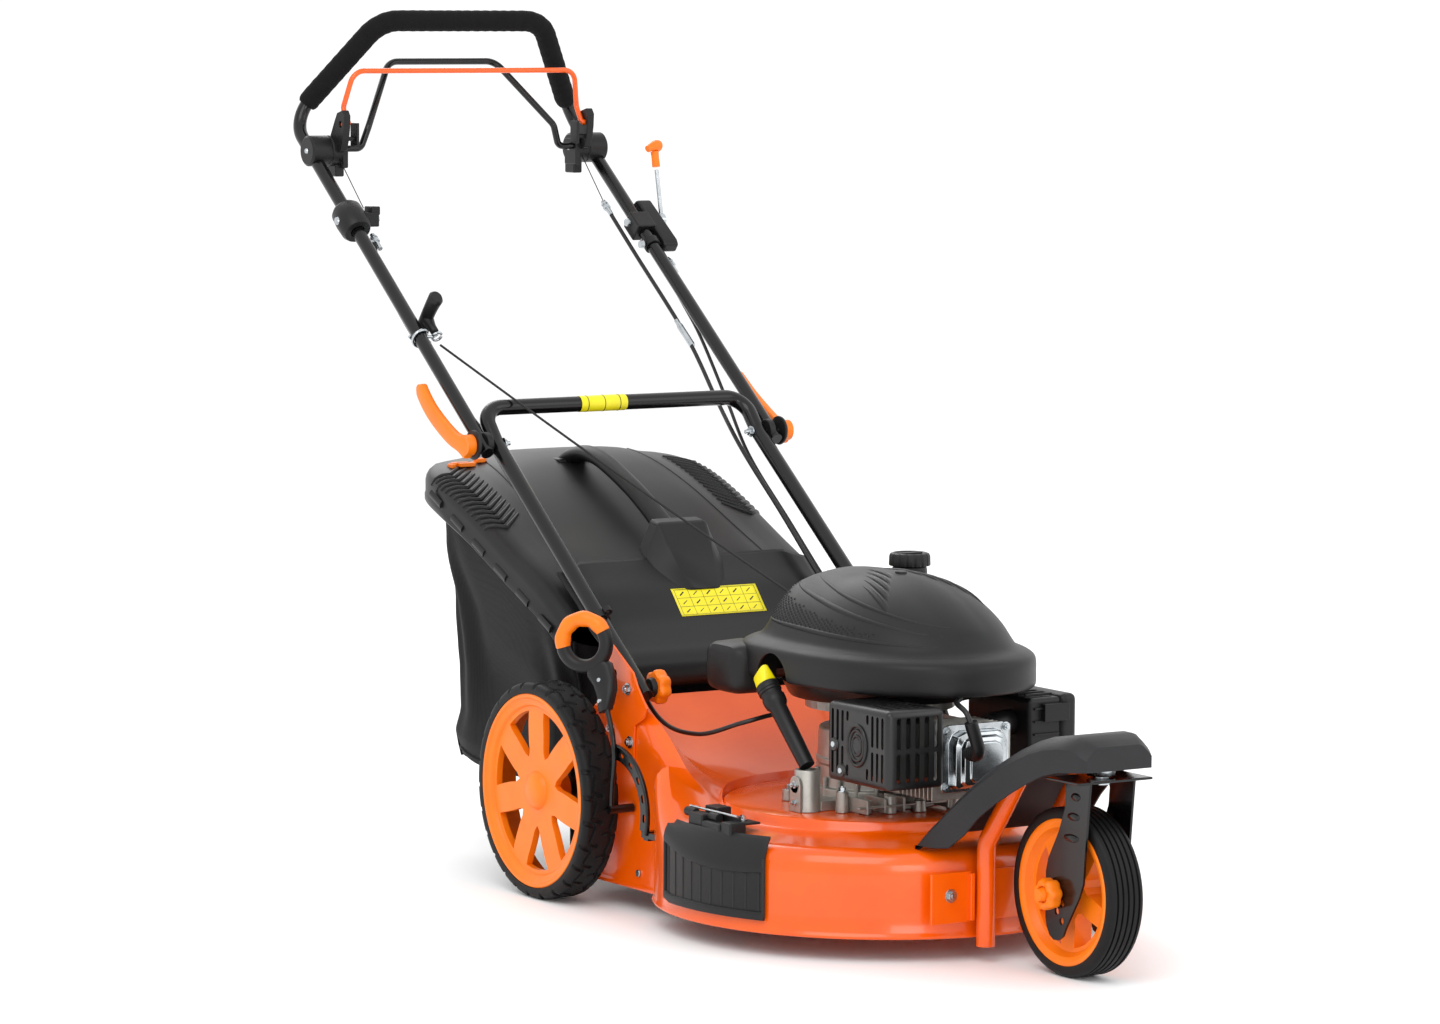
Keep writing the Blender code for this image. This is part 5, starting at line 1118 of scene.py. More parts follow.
def from_side(skin, y, z):
    """Where a ray from the near side meets the shroud, and its normal there."""
    hit, normal, _, _ = skin.ray_cast(Vector((-0.4, y, z)), Vector((1, 0, 0)))
    return hit, normal


def from_above(skin, x, y):
    hit, normal, _, _ = skin.ray_cast(Vector((x, y, 0.6)), Vector((0, 0, -1)))
    return hit, normal


def shroud_grip_panel(skin):
    """Small pyramids in rows on the near flank, in a panel that tapers to the front, and under the label."""
    bm = bmesh.new()
    for column in range(44):
        y = -0.262 - 0.0052 * column
        t = column / 43
        low = 0.3830 - 0.004 * t
        high = 0.4190 - 0.034 * t ** 0.85
        rows = int((high - low) / 0.0046)
        for row in range(rows):
            z = low + 0.0046 * (row + 0.5 * (column % 2))
            hit, normal = from_side(skin, y, z)
            if hit is None or normal.x > -0.2:
                continue
            spin = normal.to_track_quat("Z", "Y").to_matrix().to_4x4()
            bmesh.ops.create_cone(bm, cap_ends=True, segments=4, radius1=0.0023, radius2=0.0004, depth=0.0019,
                                  matrix=Matrix.Translation(hit + normal * 0.0006) @ spin)
    for column in range(26):
        for row in range(9):
            x, y = -0.062 + 0.0048 * column, -0.262 + 0.0050 * row + 0.0025 * (column % 2)
            hit, normal = from_above(skin, x, y)
            if hit is None or normal.z < 0.3:
                continue
            spin = normal.to_track_quat("Z", "Y").to_matrix().to_4x4()
            bmesh.ops.create_cone(bm, cap_ends=True, segments=4, radius1=0.0021, radius2=0.0005, depth=0.0014,
                                  matrix=Matrix.Translation(hit + normal * 0.0003) @ spin)
    as_object("shroud_knurl", bm, ABS_BLACK, "chassis", smooth=20)


def ribbon(bm, points, widths, height):
    """A low rounded ridge along points that carry their normals."""
    rings = []
    for k, (point, normal) in enumerate(points):
        way = (points[min(k + 1, len(points) - 1)][0] - points[max(k - 1, 0)][0]).normalized()
        side = way.cross(normal).normalized()
        half = widths[k]
        top = height * min(1.0, half / max(widths))
        rings.append([point + side * (half * math.cos(math.pi * s / 8)) + normal
                      * (top * math.sin(math.pi * s / 8) - 0.0004)
                      for s in range(9)])
    loft(bm, rings)


def shroud_ridges(skin):
    """Swept ridges that run from the rope hood down to the nose, and the cooling louvres on the crown with
    painted shade in their gaps.
    """
    ridges = bmesh.new()
    for start, middle, end, wide in (((-0.245, 0.4270), (-0.390, 0.4130), (-0.585, 0.3735), 0.0040),
                                     ((-0.238, 0.3800), (-0.400, 0.3780), (-0.575, 0.3675), 0.0034),
                                     ((-0.300, 0.4345), (-0.420, 0.4230), (-0.560, 0.3850), 0.0030)):
        points = []
        for k in range(31):
            t = k / 30
            y = (1 - t) ** 2 * start[0] + 2 * t * (1 - t) * middle[0] + t * t * end[0]
            z = (1 - t) ** 2 * start[1] + 2 * t * (1 - t) * middle[1] + t * t * end[1]
            hit, normal = from_side(skin, y, z)
            if hit is not None:
                points.append((hit, normal))
        if len(points) > 4:
            ribbon(ridges, points, [wide * (0.25 + 0.75 * math.sin(math.pi * (k + 0.5) / len(points)))
                                    for k in range(len(points))],
                   0.0022)
    as_object("shroud_swept_ridges", ridges, ABS_BLACK, "chassis", smooth=60)
    slots = bmesh.new()
    for side in (-1, 1):
        for k in range(5):
            points = []
            for s in range(15):
                t = s / 14
                x = 0.012 + side * (0.012 + 0.0125 * k + 0.012 * t)
                y = -0.345 - 0.016 * k - 0.100 * t + 0.030 * t * t
                hit, normal = from_above(skin, x, y)
                if hit is not None:
                    points.append((hit, normal))
            if len(points) > 4:
                ribbon(slots, points, [0.0034 * (0.15 + 0.85 * math.sin(math.pi * (j + 0.5) / len(points)))
                                       for j in range(len(points))], 0.0030)
    as_object("shroud_crown_louvres", slots, ABS_BLACK, "chassis", smooth=60)
    # Painted shade: a dark strip beside each louvre ridge stands for the shade in its gap.
    shade = bmesh.new()
    for side in (-1, 1):
        for k in range(5):
            points = []
            for s in range(11):
                t = 0.08 + 0.84 * s / 10
                x = 0.012 + side * (0.012 + 0.0125 * k + 0.012 * t) - side * 0.0048
                y = -0.345 - 0.016 * k - 0.100 * t + 0.030 * t * t
                hit, normal = from_above(skin, x, y)
                if hit is not None:
                    points.append((hit + normal * 0.0003, normal))
            if len(points) > 4:
                ribbon(shade, points, [0.0018 * (0.15 + 0.85 * math.sin(math.pi * (j + 0.5) / len(points)))
                                       for j in range(len(points))], 0.0007)
    as_object("shroud_louvre_gaps", shade, SHEATH_AND_GAP_SHADE_BLACK, "chassis", smooth=60)
    button = bmesh.new()
    hit, normal = from_above(skin, 0.012, -0.402)
    add_rod(button, hit - normal * 0.002, hit + normal * 0.0024, 0.0080, 0.0072, 32)
    as_object("shroud_crown_button", button, ABS_BLACK, "chassis", bevel=0.0008)


def shroud_label(skin):
    """A foil label that follows the crown behind the knurl."""
    bm = bmesh.new()
    rows = []
    for r in range(7):
        row = []
        for c in range(13):
            x, y = -0.050 + 0.100 * c / 12, -0.250 + 0.036 * r / 6
            hit, _ = from_above(skin, x, y)
            row.append(bm.verts.new(hit + Vector((0, 0, 1)) * 0.0022))
        rows.append(row)
    for a, b in zip(rows, rows[1:]):
        for k in range(12):
            bm.faces.new((a[k], a[k + 1], b[k + 1], b[k]))
    label = as_object("shroud_foil_label", bm, STICKER_SILVER, "chassis", smooth=60)
    thick = label.modifiers.new("foil", "SOLIDIFY")
    thick.thickness = 0.0004


def rope_hood():
    """The rounded hood at the shroud's back, where the starter rope comes out of a bushed eye."""
    bm = bmesh.new()
    rings = []
    for y, half, high in ((-0.268, 0.010, 0.0150), (-0.258, 0.022, 0.0185), (-0.240, 0.026, 0.0200),
                          (-0.222, 0.026, 0.0200),
                          (-0.214, 0.0245, 0.0190)):
        top = 0.3930 + (y + 0.214) * -0.30
        rings.append([Vector((-0.020 + half * math.cos(math.pi * s / 14), y,
                              top - 0.014 + high * math.sin(math.pi * s / 14)))
                      for s in range(15)] + [Vector((-0.020 - half, y, top - 0.030)),
                                             Vector((-0.020 + half, y, top - 0.030))])
    loft(bm, rings)
    hood = as_object("rope_hood", bm, ABS_BLACK, "chassis", smooth=40, bevel=0.0010)
    hole = bmesh.new()
    add_rod(hole, (-0.020, -0.190, 0.3975), (-0.020, -0.270, 0.3935), 0.0085, sides=32)
    cut(hood, hole)
    eye = bmesh.new()
    add_turned(eye, [(0.0042, -0.003), (0.0080, -0.003), (0.0088, 0.0), (0.0080, 0.003), (0.0060, 0.0040),
                     (0.0042, 0.003)],
               (-0.020, -0.2150, 0.3965), (0, 0.95, 0.30), 32, closed_ring=True)
    as_object("rope_eye", eye, SHEATH_AND_GAP_SHADE_BLACK, "chassis", smooth=50)


def tank():
    """The petrol tank: a moulded block under the shroud's back edge, with its filler neck."""
    bm = bmesh.new()
    rings = []
    for x, low, high, back, front in ((-0.1475, 0.296, 0.338, -0.205, -0.256),
                                      (-0.1440, 0.288, 0.345, -0.196, -0.266),
                                      (-0.1340, 0.284, 0.348, -0.190, -0.272), (-0.1000, 0.284, 0.349, -0.186,
                                              -0.276),
                                      (-0.0900, 0.286, 0.348, -0.187, -0.275)):
        ring = []
        cy, cz = (back + front) / 2, (low + high) / 2
        for s in range(40):
            a = 2 * math.pi * s / 40
            c, d = math.cos(a), math.sin(a)
            ring.append(Vector((x, cy + (back - front) / 2 * math.copysign(abs(c) ** 0.45, c),
                                cz + (high - low) / 2 * math.copysign(abs(d) ** 0.45, d))))
        rings.append(ring)
    loft(bm, rings)
    as_object("tank_shoulder", bm, ABS_BLACK, "chassis", smooth=45)
    neck = bmesh.new()
    add_turned(neck, [(0.0, 0.330), (0.0225, 0.330), (0.0225, 0.4340), (0.0215, 0.4385), (0.0, 0.4385)],
               (0.095, -0.300, 0.0),
               (0, 0, 1), 48)
    add_box(neck, (-0.085, -0.262, 0.3135), (0.118, -0.212, 0.343))
    as_object("tank_body", neck, PP_BLACK, "chassis", ["fuel_tank"], 35, 0.0012)
    cap = bmesh.new()
    steps = 96
    rings = []
    for r, h in ((0.0, 0.0), (0.0225, 0.0), (0.0262, 0.0008), (0.0266, 0.0022), (0.0262, 0.0128),
                 (0.0248, 0.0160), (0.0215, 0.0172),
                 (0.0190, 0.0160), (0.0175, 0.0150), (0.0, 0.0150)):
        rings.append([Vector((0.095 + max(r, 0.0003) * (1 - (0.045 if r > 0.0245 and (k % 6) < 2 else 0))
                              * math.cos(2 * math.pi * k / steps),
                              -0.300 + max(r, 0.0003) * (1 - (0.045
                                                              if r > 0.0245 and (k % 6) < 2 else 0)) * math.sin(2 * math.pi * k / steps),
                              0.4389 + h)) for k in range(steps)])
    loft(cap, rings)
    add_box(cap, (0.0780, -0.3035, 0.4530), (0.1120, -0.2965, 0.4560))
    as_object("fuel_cap_moulding", cap, ABS_BLACK, "fuel_cap", ["fuel_cap"], 30)


def oil_filler():
    """The oil filler: alloy boss, black tapered tube with its collar, and the yellow winged dipstick cap."""
    low = Vector((-0.138, ENGINE_Y - 0.045, 0.2145))
    high = Vector((-0.146, -0.346, 0.300))
    up = (high - low).normalized()
    pipe = bmesh.new()
    add_turned(pipe, [(0.0, 0.0), (0.0098, 0.0), (0.0104, 0.030), (0.0112, (high - low).length - 0.026),
                      (0.0140, (high - low).length - 0.022), (0.0148, (high - low).length - 0.017),
                      (0.0148, (high - low).length - 0.011), (0.0136, (high - low).length - 0.009),
                      (0.0136, (high - low).length - 0.004), (0.0150, (high - low).length - 0.003),
                      (0.0150, (high - low).length), (0.0, (high - low).length)], low, up, 48)
    as_object("oil_tube", pipe, PP_BLACK, "chassis", ["oil_filler_tube"], 35)
    cap = bmesh.new()
    start = high + up * GAP
    add_turned(cap, [(0.0, 0.0), (0.0140, 0.0), (0.0150, 0.0012), (0.0150, 0.0070), (0.0138, 0.0090),
                     (0.0, 0.0090)], start, up, 40)
    as_object("dipstick_collar", cap, PP_BLACK, "dipstick", smooth=35)
    wing = bmesh.new()
    across = Vector((0.0, 1.0, 0.0))
    across = (across - up * across.dot(up)).normalized()
    side = up.cross(across)
    rings = []
    for h, wide, deep in ((0.0088, 0.0125, 0.0100), (0.0100, 0.0135, 0.0104), (0.0150, 0.0146, 0.0090),
                          (0.0215, 0.0156, 0.0072),
                          (0.0270, 0.0160, 0.0058), (0.0290, 0.0150, 0.0044)):
        ring = []
        for s in range(32):
            a = 2 * math.pi * s / 32
            c, d = math.cos(a), math.sin(a)
            ring.append(start + up * h + across * (wide * math.copysign(abs(c) ** 0.55, c))
                        + side * (deep * math.copysign(abs(d) ** 0.55, d)))
        rings.append(ring)
    loft(wing, rings)
    as_object("dipstick_wing", wing, PE_YELLOW, "dipstick", ["dipstick"], 40)


shroud_skin = shroud()
shroud_grip_panel(shroud_skin)
shroud_ridges(shroud_skin)
shroud_label(shroud_skin)
rope_hood()
tank()
oil_filler()


# ---------------------------------------------------------------- engine
CASE_Z = 0.1583


def crankcase():
    """The die-cast crankcase: bolted foot, ribbed body, filler boss and the breather's stub."""
    y, z = ENGINE_Y, CASE_Z
    foot = bmesh.new()
    outline = []
    for k in range(96):
        a = 2 * math.pi * k / 96
        reach = 0.094 + 0.012 * max(0.0, math.cos(4 * a + 0.4)) ** 2
        outline.append((reach * 1.06 * math.cos(a), y + reach * 0.96 * math.sin(a)))
    add_plate(foot, outline, z, z + 0.0085, "Z")
    as_object("crankcase_foot", foot, ALLOY_CAST, "chassis", ["crankcase"], 35, 0.0012)
    body = bmesh.new()
    add_turned(body, [(0.0, 0.008), (0.084, 0.008), (0.084, 0.018), (0.0795, 0.020), (0.078, 0.046),
                      (0.0800, 0.048),
                      (0.0800, 0.054), (0.0780, 0.056), (0.0765, 0.090), (0.0740, 0.0925), (0.0, 0.0925)],
                      (0, y, z), (0, 0, 1), 72)
    add_box(body, (-0.052, y - 0.120, z + 0.024), (0.052, y - 0.050, z + 0.110))
    for k in range(20):
        a = 2 * math.pi * k / 20
        at = Vector((0.0815 * math.cos(a), y + 0.0815 * math.sin(a), z + 0.008))
        add_rod(body, at, at + Vector((0, 0, 0.034 if k % 2 else 0.024)), 0.0032, sides=12)
    as_object("crankcase_body", body, ALLOY_CAST, "chassis", smooth=35, bevel=0.0010)
    lugs = bmesh.new()
    for x, dy, high in ((-0.108, -0.078, 0.026), (-0.110, 0.040, 0.014), (0.108, -0.070, 0.014),
                        (0.106, 0.062, 0.014),
                        (-0.088, -0.100, 0.016), (-0.060, -0.112, 0.022), (-0.020, -0.118, 0.014),
                        (0.030, -0.118, 0.018)):
        add_rod(lugs, (x, y + dy, z), (x, y + dy, z + high), 0.0085, 0.0078, 28)
    for x in (-0.100, -0.074, -0.046, -0.016, 0.020):
        add_box(lugs, (x - 0.0016, y - 0.124, z + 0.002), (x + 0.0016, y - 0.080, z + 0.020))
    add_box(lugs, (-0.112, y - 0.122, z + 0.0085), (0.052, y - 0.116, z + 0.0115))
    add_box(lugs, (-0.126, y - 0.058, z), (-0.070, y - 0.032, z + 0.012))
    as_object("crankcase_lugs", lugs, ALLOY_CAST, "chassis", smooth=35, bevel=0.0008)
    boss = bmesh.new()
    add_turned(boss, [(0.0108, 0.012), (0.0108, 0.0520), (0.0150, 0.0520), (0.0158, 0.0505), (0.0158, 0.0060),
                      (0.0175, 0.0015),
                      (0.0175, 0.0), (0.0108, 0.0)], (-0.138, y - 0.045, z), (0, 0, 1), 48, closed_ring=True)
    add_box(boss, (-0.1565, y - 0.056, z), (-0.1530, y - 0.034, z + 0.036))
    add_rod(boss, (-0.1565, y - 0.045, z + 0.034), (-0.1530, y - 0.045, z + 0.034), 0.011, sides=28)
    as_object("oil_boss", boss, ALLOY_CAST, "chassis", smooth=35, bevel=0.0006)
    bolts = bmesh.new()
    for dz in (0.012, 0.034):
        add_bolt(bolts, (-0.1565, y - 0.045, z + dz), (-1, 0, 0), 0.0036)
    for x, dy, high in ((-0.108, -0.078, 0.026), (0.108, -0.070, 0.014), (0.106, 0.062, 0.014),
                        (-0.110, 0.040, 0.014)):
        add_bolt(bolts, (x, y + dy, z + high), (0, 0, 1), 0.0052)
    as_object("crankcase_bolts", bolts, ZINC_BRIGHT, "chassis")
    housing = bmesh.new()
    add_turned(housing, [(0.108, 0.290), (0.118, 0.290), (0.121, 0.294), (0.128, 0.3085), (0.125, 0.3085),
                         (0.115, 0.296),
                         (0.108, 0.296)], (0.006, y, 0.0), (0, 0, 1), 80, closed_ring=True)
    as_object("blower_housing", housing, HEAT_BLACK, "chassis", smooth=40)


def cylinder():
    """Cooling fins round the barrel, the stepped rocker cover on its head, and the spark plug's boot."""
    y, z = ENGINE_Y, CASE_Z
    fins = bmesh.new()
    add_box(fins, (-0.046, y - 0.205, z + 0.036), (0.046, y - 0.1203, z + 0.104))
    for k in range(9):
        fin_y = y - 0.126 - 0.0090 * k
        add_box(fins, (-0.058, fin_y - 0.0022, z + 0.026), (0.058, fin_y, z + 0.114))
    as_object("barrel_fins", fins, ALLOY_CAST, "chassis", ["cylinder"], 35, 0.0006)
    cover = bmesh.new()

    def face(half, low, high, cut_off, depth):
        return [Vector((x, depth, zz)) for x, zz in
                [(-half + 0.004, low), (half - 0.004, low), (half, low + 0.004), (half, high - cut_off),
                 (half - 0.3 * cut_off, high - 0.3 * cut_off),
                 (half - cut_off, high), (-half + cut_off, high),
                 (-half + 0.3 * cut_off, high - 0.3 * cut_off), (-half, high - cut_off),
                 (-half, low + 0.004)]]

    front = y - 0.2053
    steps = ((0.0500, 0.1940, 0.2770, 0.010, front), (0.0500, 0.1940, 0.2770, 0.010, front - 0.0035),
             (0.0400, 0.1990, 0.2700, 0.015, front - 0.0045), (0.0385, 0.2000, 0.2685, 0.015, front - 0.0165),
             (0.0320, 0.2040, 0.2640, 0.014, front - 0.0200), (0.0310, 0.2050, 0.2630, 0.014, front - 0.0255),
             (0.0240, 0.2090, 0.2580, 0.012, front - 0.0275), (0.0235, 0.2095, 0.2570, 0.012, front - 0.0300))
    loft(cover, [face(*step) for step in steps])
    as_object("rocker_cover", cover, ZINC_BRIGHT, "chassis", ["valve_cover"], 28, 0.0016,
              segments=3)
    bolts = bmesh.new()
    for x, zz in ((-0.0440, 0.2700), (0.0440, 0.2700), (-0.0440, 0.2010), (0.0440, 0.2010)):
        add_bolt(bolts, (x, front - 0.0035, zz), (0, -1, 0), 0.0050)
    as_object("rocker_cover_bolts", bolts, ZINC_BRIGHT, "chassis")
    boot = bmesh.new()
    path = rounded([(-0.030, y - 0.2365, 0.246), (-0.030, y - 0.262, 0.246), (-0.045, y - 0.262, 0.288)],
                   (0.012,), 8)
    add_tube(boot, path, 0.0082, 28)
    for t in (0.004, 0.008, 0.012):
        add_rod(boot, (-0.030, y - 0.2365 - t, 0.246), (-0.030, y - 0.2390 - t, 0.246), 0.0092, sides=28)
    as_object("plug_boot", boot, PP_BLACK, "chassis", ["spark_plug_boot"], 45, 0.0006)
    lead = bmesh.new()
    add_tube(lead, smooth_path([(-0.0445, y - 0.262, 0.2860), (-0.048, y - 0.255, 0.300),
                                (-0.040, y - 0.225, 0.3065),
                                (-0.010, y - 0.190, 0.3060)], 8), 0.0034, 14)
    as_object("plug_lead", lead, SHEATH_AND_GAP_SHADE_BLACK, "chassis", smooth=60)


def muffler_guard():
    """The pressed guard round the silencer: two rows of rounded slots, the outlet's rings and its screws."""
    y = ENGINE_Y
    x0, x1, y0, y1, z0, z1 = -0.150, -0.0665, y - 0.240, y - 0.106, 0.206, 0.3045
    shell = bmesh.new()
    add_box(shell, (x0, y0, z0), (x1, y1, z1))
    bmesh.ops.bevel(shell, geom=[e for e in shell.edges], offset=0.0075, segments=4, affect="EDGES",
                    profile=0.5)
    guard = as_object("silencer_guard", shell, HEAT_BLACK, "chassis", ["muffler_guard"], 35)
    hollow = bmesh.new()
    add_box(hollow, (x0 + 0.0022, y0 + 0.0022, z0 - 0.02), (x1 + 0.02, y1 - 0.0022, z1 - 0.0022))
    bmesh.ops.bevel(hollow, geom=[e for e in hollow.edges], offset=0.0060, segments=3, affect="EDGES",
                    profile=0.5)
    cut(guard, hollow)
    slots = bmesh.new()
    rows = ((0.2165, 0.2520), (0.2575, 0.2960))

    def slot(axis, place, low, high, wide):
        """A slot with round ends, through the side (X) or the front (Y)."""
        half = wide / 2
        outline = arc((place, high - half), half, 0, 180, 6) + arc((place, low + half), half, 180, 360, 6)
        if axis == "X":
            add_plate(slots, outline, x0 - 0.004, x0 + 0.006, "X")
        else:
            add_plate(slots, outline, y0 - 0.004, y0 + 0.006, "Y")

    for k in range(11):
        place = y0 + 0.013 + 0.0108 * k
        ring = 2 < k < 8
        for low, high in rows:
            if ring:
                if k in (3, 7):
                    slot("X", place, low if low < 0.24 else high - 0.012, low + 0.014 if low < 0.24 else high,
                         0.0052)
                continue
            slot("X", place, low, high, 0.0052)
    for k in range(5):
        for low, high in rows:
            slot("Y", x0 + 0.0155 + 0.0135 * k, low, high, 0.0066)
    for k in range(5):
        top = arc((x0 + 0.018 + 0.0125 * k, y0 + 0.060), 0.003, 0, 180,
                  5) + arc((x0 + 0.018 + 0.0125 * k, y0 + 0.020), 0.003, 180, 360, 5)
        add_plate(slots, top, z1 - 0.006, z1 + 0.004, "Z")
    cut(guard, slots)
    rings = bmesh.new()
    centre = (x0, y - 0.1730, 0.2560)
    for radius, wide in ((0.0245, 0.0024), (0.0185, 0.0022), (0.0120, 0.0020)):
        path = [(x0 - 0.0004, centre[1] + 0.80 * radius * math.cos(2 * math.pi * k / 48),
                 centre[2] + radius * math.sin(2 * math.pi * k / 48))
                for k in range(49)]
        add_tube(rings, path, wide, 10)
    add_rod(rings, (x0 + 0.0020, centre[1], centre[2]), (x0 - 0.0006, centre[1], centre[2]), 0.0185, sides=40)
    for dy, dz in ((0.050, 0.252), (0.034, 0.2215)):
        add_turned(rings, [(0.0035, 0.0), (0.0035, 0.0022), (0.0075, 0.0022), (0.0085, 0.0)],
                   (x0, y - 0.173 + dy, dz), (-1, 0, 0), 28,
                   closed_ring=True)
    as_object("silencer_outlet_rings", rings, HEAT_BLACK, "chassis", smooth=60)
    pit = bmesh.new()
    add_rod(pit, (x0 - 0.0004, centre[1], centre[2]), (x0 - 0.0012, centre[1], centre[2]), 0.0085, sides=32)
    as_object("silencer_outlet", pit, SHEATH_AND_GAP_SHADE_BLACK, "chassis")
    screws = bmesh.new()
    for dy, dz in ((0.050, 0.252), (0.034, 0.2215)):
        add_rod(screws, (x0 - 0.0006, y - 0.173 + dy, dz), (x0 - 0.0030, y - 0.173 + dy, dz), 0.0042, 0.0034,
                20)
    as_object("silencer_screws", screws, ZINC_BRIGHT, "chassis")


def air_box():
    """The air filter's box on the far side: ribbed lid over a deeper base, with its clip."""
    y = ENGINE_Y
    base = bmesh.new()
    add_box(base, (0.099, y - 0.182, 0.205), (0.150, y - 0.048, 0.297))
    as_object("air_box_base", base, PP_BLACK, "chassis", ["air_filter_box"], 35, 0.006,
              segments=4)
    lid = bmesh.new()
    add_box(lid, (0.146, y - 0.186, 0.203), (0.1705, y - 0.044, 0.3005))
    as_object("air_box_lid", lid, ABS_BLACK, "chassis", bevel=0.008, segments=4)
    ribs = bmesh.new()
    for k in range(7):
        ry = y - 0.166 + 0.017 * k
        add_box(ribs, (0.104, ry - 0.0015, 0.2975), (0.144, ry + 0.0015, 0.3010))
    for k in range(5):
        rz = 0.220 + 0.016 * k
        add_box(ribs, (0.106, y - 0.1850, rz - 0.0013), (0.144, y - 0.1815, rz + 0.0013))
    add_box(ribs, (0.118, y - 0.190, 0.268), (0.156, y - 0.180, 0.290))
    as_object("air_box_ribs", ribs, PP_BLACK, "chassis", bevel=0.0008)
    duct = bmesh.new()
    add_tube(duct, smooth_path([(0.060, y - 0.150, 0.262), (0.082, y - 0.150, 0.264),
                                (0.100, y - 0.140, 0.264)], 6), 0.016, 28)
    as_object("intake_elbow", duct, PP_BLACK, "chassis", smooth=50)


crankcase()
cylinder()
muffler_guard()
air_box()


# ---------------------------------------------------------------- grass bag and flap
# distance behind the rear axle, half width, height and half width of the flat top of each section of the lid
LID_SECTIONS = ((0.0340, 0.2140, 0.3560, 0.135), (0.0980, 0.2190, 0.4000, 0.135),
                (0.1800, 0.2200, 0.4375, 0.140),
                (0.2800, 0.2200, 0.4830, 0.140), (0.3600, 0.2185, 0.5120, 0.138),
                (0.4200, 0.2060, 0.5260, 0.128),
                (0.4580, 0.1820, 0.5280, 0.112), (0.4920, 0.1300, 0.5190, 0.080))


def lid_section(y, half, z, flat):
    """One section of the lid: turned-down edge strip, a sloping shelf for the vents, and a raised crown."""
    low = z - 0.052
    side = [(half, low), (half + 0.0012, low + 0.002), (half + 0.0012, low + 0.010), (half, low + 0.013),
            (half, z - 0.024),
            (half - 0.0016, z - 0.0175), (half - 0.0060, z - 0.0110), (half - 0.0150, z - 0.0050),
            (half - 0.0300, z - 0.0024),
            (flat + 0.030, z - 0.0010), (flat + 0.018, z + 0.0004), (flat + 0.008, z + 0.0028),
            (flat * 0.92, z + 0.0060),
            (flat * 0.75, z + 0.0078), (flat * 0.5, z + 0.0086), (flat * 0.25, z + 0.0090)]
    return [Vector((-x, y, h)) for x, h in side] + [Vector((0.0, y, z + 0.0090))] + [Vector((x, y, h)) for x,
            h in reversed(side)]


def lid():
    rows = between(LID_SECTIONS, 7)
    outer = [lid_section(*row) for row in rows]
    bm = bmesh.new()
    made = [[bm.verts.new(p) for p in ring] for ring in outer]
    for a, b in zip(made, made[1:]):
        for k in range(len(a) - 1):
            bm.faces.new((a[k], a[k + 1], b[k + 1], b[k]))
    low_row = [bm.verts.new(Vector((p.x, 0.4935, rows[-1][2] - 0.0520))) for p in outer[-1]]
    for k in range(len(low_row) - 1):
        bm.faces.new((made[-1][k], made[-1][k + 1], low_row[k + 1], low_row[k]))
    bmesh.ops.remove_doubles(bm, verts=bm.verts, dist=0.0002)
    bmesh.ops.recalc_face_normals(bm, faces=bm.faces)
    if sum(f.normal.z * f.calc_area() for f in bm.faces) < 0:
        bmesh.ops.reverse_faces(bm, faces=bm.faces)
    skin = BVHTree.FromBMesh(bm)
    shell = as_object("bag_lid_moulding", bm, PP_BLACK, "grass_bag", ["bag_lid"], 32,
                      recalc=False)
    wall = shell.modifiers.new("wall", "SOLIDIFY")
    wall.thickness = 0.0028
    wall.offset = -1.0
    return skin


def on_lid(skin, x, y):
    hit, normal, _, _ = skin.ray_cast(Vector((x, y, 0.8)), Vector((0, 0, -1)))
    return hit, normal


